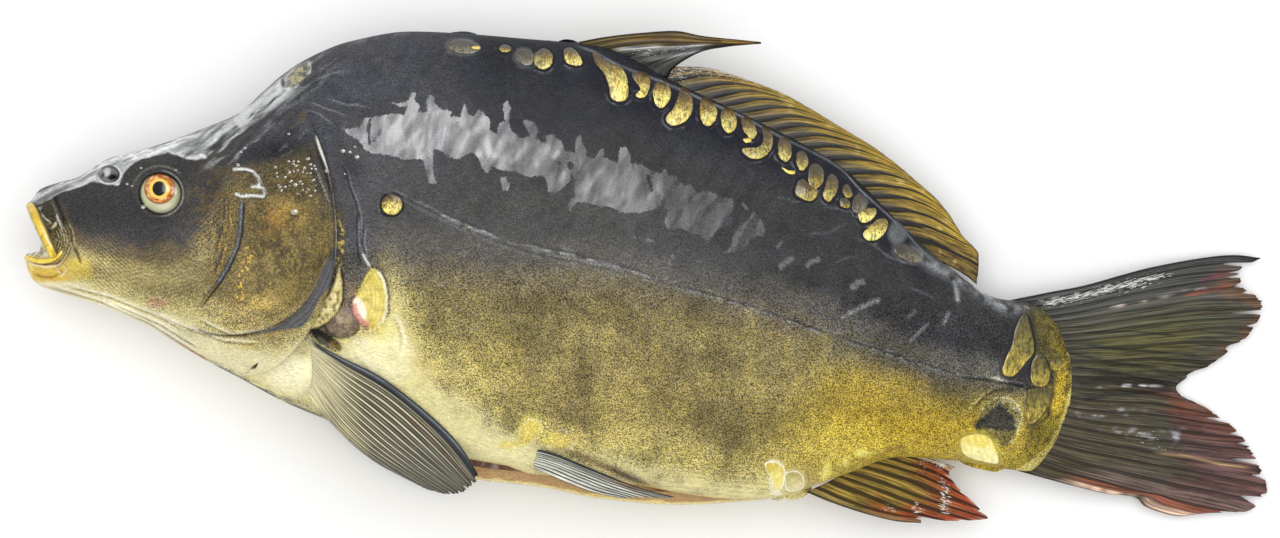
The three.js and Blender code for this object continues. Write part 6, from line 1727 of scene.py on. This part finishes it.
def build_scales():
    verts, faces, attrs = [], [], {"paint": [], "rs": [], "rt": [], "dark": []}
    pv, pf, pc = [], [], {"paint": [], "speck": [], "film": [], "filmw": [], "wet": []}
    total = ptotal = 0
    rng = np.random.default_rng(7)
    for side in (1, -1):
        nr, na = (14, 52) if side > 0 else (7, 24)
        away = np.array([-1.4, 0.0, 1.0, 1.8, 2.6, 3.4, 4.4, 6.0, 8.0] if side > 0 else [-1.4, 0.0, 1.4, 2.6, 4.0, 7.0])[:, None]
        for idx, item in enumerate(SCALES):
            tone, pts = item[0], np.array(item[1], float)
            ctr = np.array(item[2] if len(item) > 2 else pts.mean(0), float)
            shift = rng.uniform(-1, 1, 2) * (4.0, 2.0) * (side < 0)
            line_ = closed(pts, na) + shift
            line_ = line_ + 0.45 * np.stack([fbm(np.stack([line_[:, 0], line_[:, 1], 0 * line_[:, 0] + o], -1), 3.2, 2, 300 + o) for o in (0, 9)], -1)
            cu, cv = ctr + shift
            ou, ov = line_[:, 0][None, :], line_[:, 1][None, :]
            w, h = np.ptp(ou), np.ptp(ov)
            jit = rng.uniform(0, 10, 6)
            rr = np.linspace(0, 1, nr)[:, None] ** 0.85
            u, v = cu + rr * (ou - cu), cv + rr * (ov - cv)
            base, pale, pocket, deep, rimc = TONES[tone]
            rise = (0.15 if tone == "root" else 0.65 if deep > 0.5 else 0.35) * (1 - rr ** 2) + 0.34 - 0.22 * smooth(0.92, 1.0, rr) + 0.08 * np.sin(u / 1.7 + jit[3]) * (1 - rr)
            x, y, z = skin_at(u, v, side)
            z = np.maximum(z + side * rise, 0.0)
            q = np.stack([x, y, z], -1)
            down = (v - ov.mean()) / (h / 2)
            n1, n2 = fbm(q, 2.2, 3, 300 + idx), fbm(q, 1.1, 2, 330 + idx)
            col = plain_col(u.shape, base)
            col = over(col, pale, 0.95 * smooth(-0.3, 0.45, 0.8 * n1 + 0.85 * down + (0.15 if tone != "olive" else -0.05)))
            if tone in ("gold", "olive", "root"):
                col = over(col, (84, 70, 26), (0.45 if tone == "root" else 0.85) * smooth(0.1, 0.7, -down - (0.25 if tone == "gold" else 0.0) + 0.7 * n1))
                col = over(col, (200, 128, 30), 0.4 * smooth(0.05, 0.4, n2) * (tone == "gold"))
                ridge_ = fbm(np.stack([3.0 * (u - cu), 0.45 * (v - cv), 0 * u + 7 * idx], -1), 2.6, 2, 350)
                col = over(col, (112, 82, 26), 0.55 * smooth(0.05, 0.4, ridge_) * smooth(-0.4, 0.3, -n1) * (tone != "root"))
                col = over(col, (96, 80, 30), 0.45 * smooth(0.15, 0.5, -n2) * (tone != "root"))
                col = over(col, (252, 236, 150), 0.5 * smooth(0.2, 0.5, -ridge_) * smooth(-0.2, 0.4, down) * (tone == "gold"))
                col = over(col, (238, 206, 84), 0.7 * bump(rr + 0.05 * n1, 0.93, 0.06) * smooth(0.0, 0.5, down))
            if tone in ("gold", "olive"):
                col = col * (1 - np.array([0.05, 0.05, 0.12]) * smooth(728, 790, cu + 0 * u)[..., None])
                # painted light and shade: darker and lighter spots on single scales
                col = painted_light_and_shade(col, u, v, [(745, 125, 14, 12, -0.22), (755, 150, 18, 9, -0.34), (803, 190, 14, 14, -0.44), (802, 161, 8, 11, -0.42), (830, 188, 9, 16, -0.44),
                                        (868, 214, 14, 10, -0.32), (876, 230, 12, 9, -0.2), (541, 58, 11, 11, -0.34), (661, 95, 10, 12, 0.34), (392, 204, 12, 12, 0.12), (782, 148, 8, 12, -0.12), (706, 110, 9, 12, -0.1), (816, 174, 8, 12, 0.3)])
            if tone == "lobe" or tone == "lobe2":
                col = over(col, (246, 242, 220), 0.9 * smooth(0.86, 0.94, rr + 0.04 * n1))
            else:
                # painted shade at the scale's own edge, next to the pocket
                col = over(col, (40, 34, 22), 0.8 * smooth(0.93, 1.0, rr + 0 * ou) * min(1, deep + 0.2))
            verts.append(world(x, y, z).reshape(-1, 3))
            attrs["paint"].append(col.reshape(-1, 3))
            attrs["rs"].append(((u - cu) / 5 + idx * 3).ravel())
            attrs["rt"].append(((v - cv) / 20 + idx * 3).ravel())
            dk = {"gold": 0.1, "bright": 0.0, "olive": 0.2, "root": -0.3, "clear": 0.1}.get(tone, -1.5)
            if tone == "gold" and cu > 730 and cu < 900:
                dk = dk + 0.22
            attrs["dark"].append(np.clip(dk - (0.3 if tone in ("root", "pale", "lobe", "lobe2") else 0.7) * down, -1.8 if dk < -1 else -0.65, 1.2).ravel())
            f = grid_faces(nr, na, wrap=True) + total
            faces.append(f if side > 0 else f[:, ::-1])
            total += nr * na
            # skin pocket: a trough round the scale painted dark as painted shade and, under it, a thin lip
            tu, tv = np.roll(ou, -1) - np.roll(ou, 1), np.roll(ov, -1) - np.roll(ov, 1)
            tl = np.maximum(1e-6, np.hypot(tu, tv))
            k = min(1.0, 0.35 + min(w, h) / 16)
            off = np.where(away < 0, away, away * k)
            u, v = ou + off * tv / tl, ov - off * tu / tl
            x, y, z = skin_at(u, v, side)
            lift = np.interp(away[:, 0], [-1.4, 1.0, 3.4, 6.0, 7.0, 8.0], [0.02, 0.05, 0.14, 0.05, -0.5, -0.9])[:, None]
            c0, sp, fl, we = skin_paint(x, y, z, side, False)
            pq = np.stack([x, y, z], -1)
            edge = 1.1 * fbm(pq, 3.0, 2, 360 + idx) - 0.5 * np.sin(np.arctan2(ov - cv, ou - cu) - 0.7)
            dark = smooth(3.2, 1.6, away + edge) * deep
            under = np.clip(np.sin(np.arctan2(ov - cv, ou - cu) - 0.3 + 0.5 * np.sin(jit[4])), 0, 1) ** 2
            rim = bump(away + edge, 3.1, 0.7) * under * smooth(-0.2, 0.3, fbm(pq, 2.6, 2, 380 + idx)) * min(1.0, deep + 0.2)
            col = over(c0, pocket, 0.94 * dark)
            col = over(col, rimc, 0.75 * rim)
            z = np.maximum(z + side * lift, 0.0)
            pv.append(world(x, y, z).reshape(-1, 3))
            pc["paint"].append(col.reshape(-1, 3))
            pc["speck"].append((sp * smooth(2.0, 4.4, away + 0 * sp)).ravel())
            pc["film"].append(np.full(sp.size, -60.0))
            pc["filmw"].append(np.full(sp.size, 0.0))
            pc["wet"].append(np.maximum(we, 0.12 * dark).ravel())
            f = grid_faces(len(away), na, wrap=True) + ptotal
            pf.append(f if side > 0 else f[:, ::-1])
            ptotal += len(away) * na
    v, f = np.concatenate(verts), np.concatenate(faces)
    a = f[len(f) // 4]
    up = np.cross(v[a[1]] - v[a[0]], v[a[2]] - v[a[1]])[2] > 0
    make("scales", v, f, MAT_SCALE, {k: np.concatenate(d) for k, d in attrs.items()}, flip=not up)
    v, f = np.concatenate(pv), np.concatenate(pf)
    a = f[len(f) // 4]
    up = np.cross(v[a[1]] - v[a[0]], v[a[2]] - v[a[1]])[2] > 0
    make("scale_pockets", v, f, MAT_SKIN, {k: np.concatenate(d) for k, d in pc.items()}, flip=not up)


# ------------------------------------------------------------------ eyes
def build_drops():
    """Standing drops of water on the gill cover, the cheek and the shoulder."""
    rng = np.random.default_rng(3)
    spots = [(295, 212, 4.2), (343, 151, 2.6), (357, 157, 2.8), (350, 152, 1.8), (355, 147, 1.5), (345, 174, 1.4), (143.5, 207, 2.6), (176, 170, 1.4), (127, 184, 1.8),
             (132, 186, 1.6), (141, 168, 1.5), (241, 152, 1.9), (245, 148, 1.7), (238, 165, 2.1), (289, 134, 1.8), (309, 159, 2.0), (327, 171, 2.3), (305, 168, 1.8),
             (296, 185, 2.4), (311, 196, 1.8)]
    spots += [(rng.uniform(272, 318), rng.uniform(158, 197), rng.uniform(0.9, 1.9)) for _ in range(46)]
    nr, na, total, verts, faces, paint = 6, 16, 0, [], [], []
    t = np.linspace(0, 1, nr)[:, None]
    a = np.linspace(0, 2 * math.pi, na, endpoint=False)[None, :]
    trees = []
    for o in bpy.data.objects:
        if o.type == "MESH" and o.name.startswith("skin_") and o.name.endswith("_left"):
            trees.append(BVHTree.FromPolygons([w.co for w in o.data.vertices], [w.vertices[:] for w in o.data.polygons]))
    for cu, cv, r in spots:
        turn = rng.uniform(0.75, 1.0)
        u, v = cu + r * t * np.cos(a), cv + r * turn * t * np.sin(a)
        x, y, z = on_flank(u, v, 1)
        z = z + relief_body(x, y, z, None, 1, cu < 335)
        c = skin_paint(x, y, z, 1, cu < 335)[0]
        p = world(x, y, z).reshape(-1, 3)
        for i in range(len(p)):
            hits = [h[0].z for h in (tr.ray_cast(Vector((p[i, 0], p[i, 1], 0.3)), Vector((0, 0, -1))) for tr in trees) if h[0] is not None]
            if hits:
                p[i, 2] = max(hits)
        dome = 0.40 * MM_PX * r * (1 - t ** 2) + 0.03 - 0.16 * (t > 0.99) + 0 * a
        p[:, 2] += dome.reshape(-1) / 1000.0
        verts.append(p)
        # drop colour: the skin's with a third of pale mixed in, a painted highlight on top of the drops' real gloss
        paint.append(over(c, (214, 214, 200), 0.35).reshape(-1, 3))
        faces.append(grid_faces(nr, na, wrap=True) + total)
        total += nr * na
    v, f = np.concatenate(verts), np.concatenate(faces)
    q = f[len(f) // 3]
    up = np.cross(v[q[1]] - v[q[0]], v[q[2]] - v[q[1]])[2] > 0
    make("water_drops", v, f, MAT_DROP, {"paint": np.concatenate(paint)}, flip=not up)


def build_eyes():
    out = []
    for side, name in ((1, "eye_left"), (-1, "eye_right")):
        nr, na = 46, 72
        rr = np.linspace(0, 1, nr)[:, None] ** 0.9
        aa = np.linspace(0, 2 * math.pi, na, endpoint=False)[None, :]
        R = 20.3
        u, v = 160 + R * 1.02 * rr * np.cos(aa), 193.5 + R * rr * np.sin(aa)
        cx, cy, cz = on_flank(160.0, 193.5, 1)
        zc = float(flank(float(cx), float(cy)))
        x, y, z = on_flank(u, v, 1)
        tilt = z - zc
        iu, iv = u - 159.5, v - 188.6
        ri = np.hypot(iu, iv)
        dome = 2.6 * (1 - rr ** 2) - 2.2
        cornea = 0.9 * smooth(15.5, 6, ri)
        zz = zc + 0.55 * tilt + dome + cornea
        q = np.stack([x, y, zz], -1)
        col = np.zeros(u.shape + (3,)) + lin(196, 196, 158)
        col = over(col, (150, 150, 112), 0.6 * smooth(16.5, 19.8, np.hypot(u - 160, v - 193.5)))
        col = over(col, (236, 232, 204), 0.7 * blob(u, v, 166, 207, 9, 3.4, -12))
        ring = smooth(15.3, 14.6, ri)
        col = over(col, (206, 120, 52), ring)
        mot = fbm(np.stack([np.cos(np.arctan2(iv, iu)) * 9, np.sin(np.arctan2(iv, iu)) * 9, ri * 1.3], -1), 2.4, 3, 401)
        col = over(col, (236, 196, 132), ring * smooth(0.0, 0.35, mot))
        col = over(col, (140, 62, 26), ring * 0.8 * smooth(0.15, 0.5, -mot) * smooth(9, 11, ri))
        col = over(col, (246, 206, 96), ring * smooth(11.0, 9.4, ri))
        col = over(col, (120, 60, 30), 0.8 * bump(ri, 14.9, 0.7))
        col = over(col, (9, 9, 14), smooth(7.4, 6.8, np.hypot(iu / 0.94, iv / 1.04)))
        zs = zz if side > 0 else 2 * middle(x) - zz
        p = world(x, y, zs)
        f = grid_faces(nr, na, wrap=True)
        p0, p1, p2 = p.reshape(-1, 3)[f[900][0]], p.reshape(-1, 3)[f[900][1]], p.reshape(-1, 3)[f[900][2]]
        nz = np.cross(p1 - p0, p2 - p1)[2]
        out.append(make(name, p, f, MAT_EYE, {"paint": col}, flip=(nz < 0) if side > 0 else (nz > 0)))
    return out


# ------------------------------------------------------------------ tubes: lips, barbels
def tube(points, radii, sections, sides=16, squash=None):
    """A closed tube through 3-D points, with a radius at each and round ends."""
    c = spline2(points, sections)
    k = np.linspace(0, 1, len(radii))
    r = np.interp(np.linspace(0, 1, sections), k, radii)
    tan = np.gradient(c, axis=0)
    tan = tan / np.linalg.norm(tan, axis=1, keepdims=True)
    up = np.array([0.0, 1.0, 0.0])
    a = np.cross(tan, up)
    a = a / np.maximum(1e-6, np.linalg.norm(a, axis=1, keepdims=True))
    b = np.cross(a, tan)
    ang = np.linspace(0, 2 * math.pi, sides, endpoint=False)
    sa, sb = (squash or (1, 1))
    ring = c[:, None] + r[:, None, None] * (np.cos(ang)[None, :, None] * a[:, None] * sa + np.sin(ang)[None, :, None] * b[:, None] * sb)
    ends = [np.repeat(c[:1][:, None], sides, 1), np.repeat(c[-1:][:, None], sides, 1)]
    ring = np.concatenate([ends[0] + (ring[:1] - c[:1][:, None]) * 0.02 - tan[:1][:, None] * r[0] * 0.5, ring,
                           ends[1] + (ring[-1:] - c[-1:][:, None]) * 0.02 + tan[-1:][:, None] * r[-1] * 0.5], 0)
    return ring


def add_tube(name, ring, mat, col):
    p = world(ring[..., 0], ring[..., 1], ring[..., 2])
    f = grid_faces(ring.shape[0], ring.shape[1], wrap=True)
    w = p.reshape(-1, 3)
    mid = len(f) // 2
    ctr = p[ring.shape[0] // 2].mean(0)
    p0, p1, p2 = w[f[mid][0]], w[f[mid][1]], w[f[mid][2]]
    outward = np.cross(p1 - p0, p2 - p1) @ (w[f[mid][0]] - ctr) > 0
    return make(name, p, f, mat, {"paint": col}, flip=not outward)


def build_mouth():
    m0 = float(middle(5.0))

    def side_pts(pts):
        """Lip line of one side, front to corner: place in the side view and how far out from the middle plane."""
        out = []
        for u, v, w in pts:
            x, y = px(u, v, m0 + w)
            out.append((float(x), float(y), w))
        return out

    def around(pts):
        h = side_pts(pts)
        return [(x, y, m0 + w) for x, y, w in h[::-1]] + [(x, y, m0 - w) for x, y, w in h[1:]]
    upper = around([(31.0, 206.0, 0.0), (32.6, 209.0, 6.0), (36.2, 217.0, 11.5), (41.0, 227.5, 15.0), (45.8, 238.5, 16.8), (50.4, 248.5, 17.6), (53.6, 256.0, 17.2)])
    lower = around([(26.4, 257.8, 0.0), (27.8, 258, 4.6), (33, 260, 9.0), (41, 261.5, 12.4), (50, 260.5, 14.8), (57.5, 256.5, 15.8), (62.5, 251, 15.2)])
    for name, pts, rad, sq in (("lip_upper", upper, [1.7, 2.05, 2.25, 2.3, 2.3, 2.1, 1.7, 2.1, 2.3, 2.3, 2.25, 2.05, 1.7], (1.0, 1.0)),
                               ("lip_lower", lower, [0.6, 0.9, 1.0, 1.0, 1.0, 0.9, 0.9, 0.9, 1.0, 1.0, 1.0, 0.9, 0.6], (1.0, 1.0))):
        ring = tube(pts, rad, 120, 20, sq)
        u, v = to_px(ring[..., 0], ring[..., 1], ring[..., 2])
        up = name == "lip_upper"
        col = plain_col(ring.shape[:2], (216, 180, 42) if up else (238, 206, 44))
        col = over(col, (244, 216, 70), 0.8 * smooth(0.0, 0.6, fbm(ring, 3.0, 2, 501) + (0.5 * smooth(236, 250, v) if up else 0.2)))
        col = over(col, (160, 130, 40), 0.7 * smooth(0.15, 0.6, fbm(ring, 1.6, 2, 503)))
        dl = seg_dist(u, v, [to_px(x, y, z) for x, y, z in pts[:7]])
        right = dl[0] * dl[2]
        # painted shade along one edge of each lip, where it meets the skin beside it
        if up:
            col = over(col, (84, 80, 62), 0.9 * smooth(2.7, 3.6, right))
            col = over(col, (150, 124, 40), 0.5 * smooth(-2.6, -3.8, right))
        else:
            col = over(col, (96, 70, 36), 0.7 * smooth(1.5, 2.3, -right))
        add_tube(name, ring, MAT_LIP, col)
    # bag of the mouth behind the lips
    nr, na = 26, 40
    t = np.linspace(0, 1, nr)[:, None]
    a = np.linspace(0, 2 * math.pi, na, endpoint=False)[None, :]
    rad = np.sqrt(np.maximum(0, 1 - (t * 0.98) ** 2.4))
    x = 8.6 + 14 * t + 1.8 * np.cos(a) * (1 - t)
    y = 10.6 + 5.6 * rad * np.cos(a) + 0 * t
    z = m0 + 10.6 * rad * np.sin(a) + 0 * t
    q = np.stack([x, y, z], -1)
    col = plain_col(x.shape, (228, 220, 196))
    col = over(col, (150, 120, 84), 0.6 * smooth(0.1, 0.4, fbm(q, 1.6, 2, 512)))
    col = over(col, (126, 92, 66), smooth(0.35, 0.8, t + 0.15 * fbm(q, 3, 2, 511)))
    make("mouth_lining", world(x, y, z), grid_faces(nr, na, wrap=True), MAT_LIP, {"paint": col})
    # barbels: one at each corner of the mouth and a short one above it
    for side in (1, -1):
        for nm, pts, r in (("corner", [(59.5, 220.5, 14.4), (57, 222.5, 15.6), (54, 226.5, 16.2), (50.5, 229.5, 16.4), (47.2, 230, 16.2), (45, 234.5, 15.2)], [0.9, 0.8, 0.7, 0.6, 0.5, 0.3]),
                           ("snout", [(42, 207, 11.0), (40.4, 210.6, 12.2), (40.0, 214, 12.4)], [0.6, 0.5, 0.25])):
            pp = []
            for u, v, w in pts:
                bx, by = px(u, v, m0 + w)
                pp.append((float(bx), float(by), m0 + side * w))
            ring = tube(pp, r, 30, 12)
            k = np.linspace(0, 1, ring.shape[0])[:, None] + 0 * ring[..., 0]
            col = plain_col(ring.shape[:2], (176, 164, 118) if nm == "corner" else (96, 92, 80))
            col = over(col, (26, 26, 28), smooth(0.40, 0.62, k))
            add_tube("barbel_%s_%s" % (nm, "left" if side > 0 else "right"), ring, MAT_LIP, col)


# ------------------------------------------------------------------ belly lining
def build_lining():
    x = np.linspace(144, 299, 170)[:, None]
    L = gap_open(x)
    s = np.linspace(0, 1, 60)[None, :]
    near = belly(x) + cut_step(x)
    far = belly(x)
    deep = 24 * np.sin(math.pi * (0.04 + 0.93 * (x - 143) / 157)) ** 0.7
    zn = middle(x) + 3.6 * L - 1.25 * L
    zf = middle(x) - 5.6 * L + 1.25 * L
    top = near + deep
    # down the far wall, up the near wall, round at the top
    a = (s - 0.5) * math.pi
    fy = np.where(s < 0.45, mix(far + 1.0, top - 3, s / 0.45), np.where(s > 0.55, mix(top - 3, near + 1.0, (s - 0.55) / 0.45), top - 3 + 3 * np.cos((s - 0.5) / 0.05 * math.pi / 2)))
    fz = np.where(s < 0.45, zf, np.where(s > 0.55, zn, mix(zf, zn, (s - 0.45) / 0.1)))
    bulge = np.sin(math.pi * np.clip(np.where(s < 0.5, s / 0.45, (1 - s) / 0.45), 0, 1))
    fz = fz + np.where(s < 0.5, -1, 1) * 1.4 * bulge * L
    xx = x + 0 * s
    q = np.stack([xx, fy, fz], -1)
    fz = fz + 0.25 * fbm(q, 5, 3, 601)
    u, v = to_px(xx, fy, fz)
    col = np.zeros(xx.shape + (3,)) + lin(122, 78, 66)
    col = over(col, (188, 148, 100), smooth(508, 524, u))
    col = over(col, (196, 156, 108), smooth(580, 600, u))
    col = over(col, (118, 62, 46), 0.9 * smooth(640, 668, u))
    col = over(col, (206, 196, 190), 0.7 * smooth(0.1, 0.4, fbm(q, 3, 3, 603)) * smooth(524, 506, u) * smooth(466, 478, u))
    rim_ = smooth(0.10, 0.0, s + 0 * x)
    col = over(col, (238, 218, 136), 0.95 * rim_)
    col = col * (1 + 0.20 * fbm(q, 3, 3, 605))[..., None]
    # painted shade deep in the cut, where the near rim shades the far wall
    col = over(col, (60, 34, 28), 0.75 * smooth(0.3, 0.5, s) * smooth(0.75, 0.5, s) + 0 * xx)
    p = world(xx, fy, fz)
    f = grid_faces(*xx.shape)
    return make("belly_lining", p, f, MAT_FLESH, {"paint": col})


# ------------------------------------------------------------------ build
build_body()
build_fins()
build_scales()
build_drops()
build_eyes()
build_mouth()
build_lining()

# ------------------------------------------------------------------ stage, camera, lights
scene = bpy.context.scene
scene.view_settings.view_transform = "Standard"
scene.view_settings.look = "None"


def world_pt(x, y, z):
    return Vector(world(np.array(float(x)), np.array(float(y)), np.array(float(z))).tolist())


cam_data = bpy.data.cameras.new("camera")
cam_data.lens = 36.0 * CAM_D / (1280 * MM_PX)
cam_data.sensor_width = 36.0
cam_data.clip_start, cam_data.clip_end = 0.05, 30
cam = bpy.data.objects.new("camera", cam_data)
scene.collection.objects.link(cam)
cam.location = world_pt(247, 0, CAM_Z0 + CAM_D)
cam.rotation_euler = (0, 0, TILT)
scene.camera = cam

floor_me = bpy.data.meshes.new("floor")
floor_me.from_pydata([(-4, -4, 0), (4, -4, 0), (4, 4, 0), (-4, 4, 0)], [], [(0, 1, 2, 3)])
floor = bpy.data.objects.new("floor", floor_me)
scene.collection.objects.link(floor)
fm, fnt, fb = nodes_of("floor_white")
fb.inputs["Base Color"].default_value = (0.95, 0.95, 0.95, 1)
fb.inputs["Roughness"].default_value = 0.9
fb.inputs["Specular IOR Level"].default_value = 0.0
floor_me.materials.append(fm)
floor.location = (0, 0, -0.0002)

wd = bpy.data.worlds.new("studio")
wd.use_nodes = True
bg = [n for n in wd.node_tree.nodes if n.type == "BACKGROUND"][0]
bg.inputs[0].default_value = (1, 1, 1, 1)
bg.inputs[1].default_value = 0.74
scene.world = wd


def area(name, loc, target, size, size_y, power, glossy=True, diffuse=True):
    d = bpy.data.lights.new(name, "AREA")
    d.shape = "RECTANGLE"
    d.size, d.size_y = size, size_y
    d.energy = power
    o = bpy.data.objects.new(name, d)
    scene.collection.objects.link(o)
    o.location = loc
    o.rotation_euler = (Vector(target) - Vector(loc)).to_track_quat("-Z", "Y").to_euler()
    o.visible_glossy = glossy
    o.visible_diffuse = diffuse
    o.visible_camera = False
    return o


area("top_soft", (0.0, 0.15, 1.7), (0, 0, 0), 2.4, 2.0, 21, glossy=False)
area("back_strip", (0.10, 0.92, 1.08), (0.10, 0.08, 0.06), 1.5, 1.05, 42, diffuse=False)
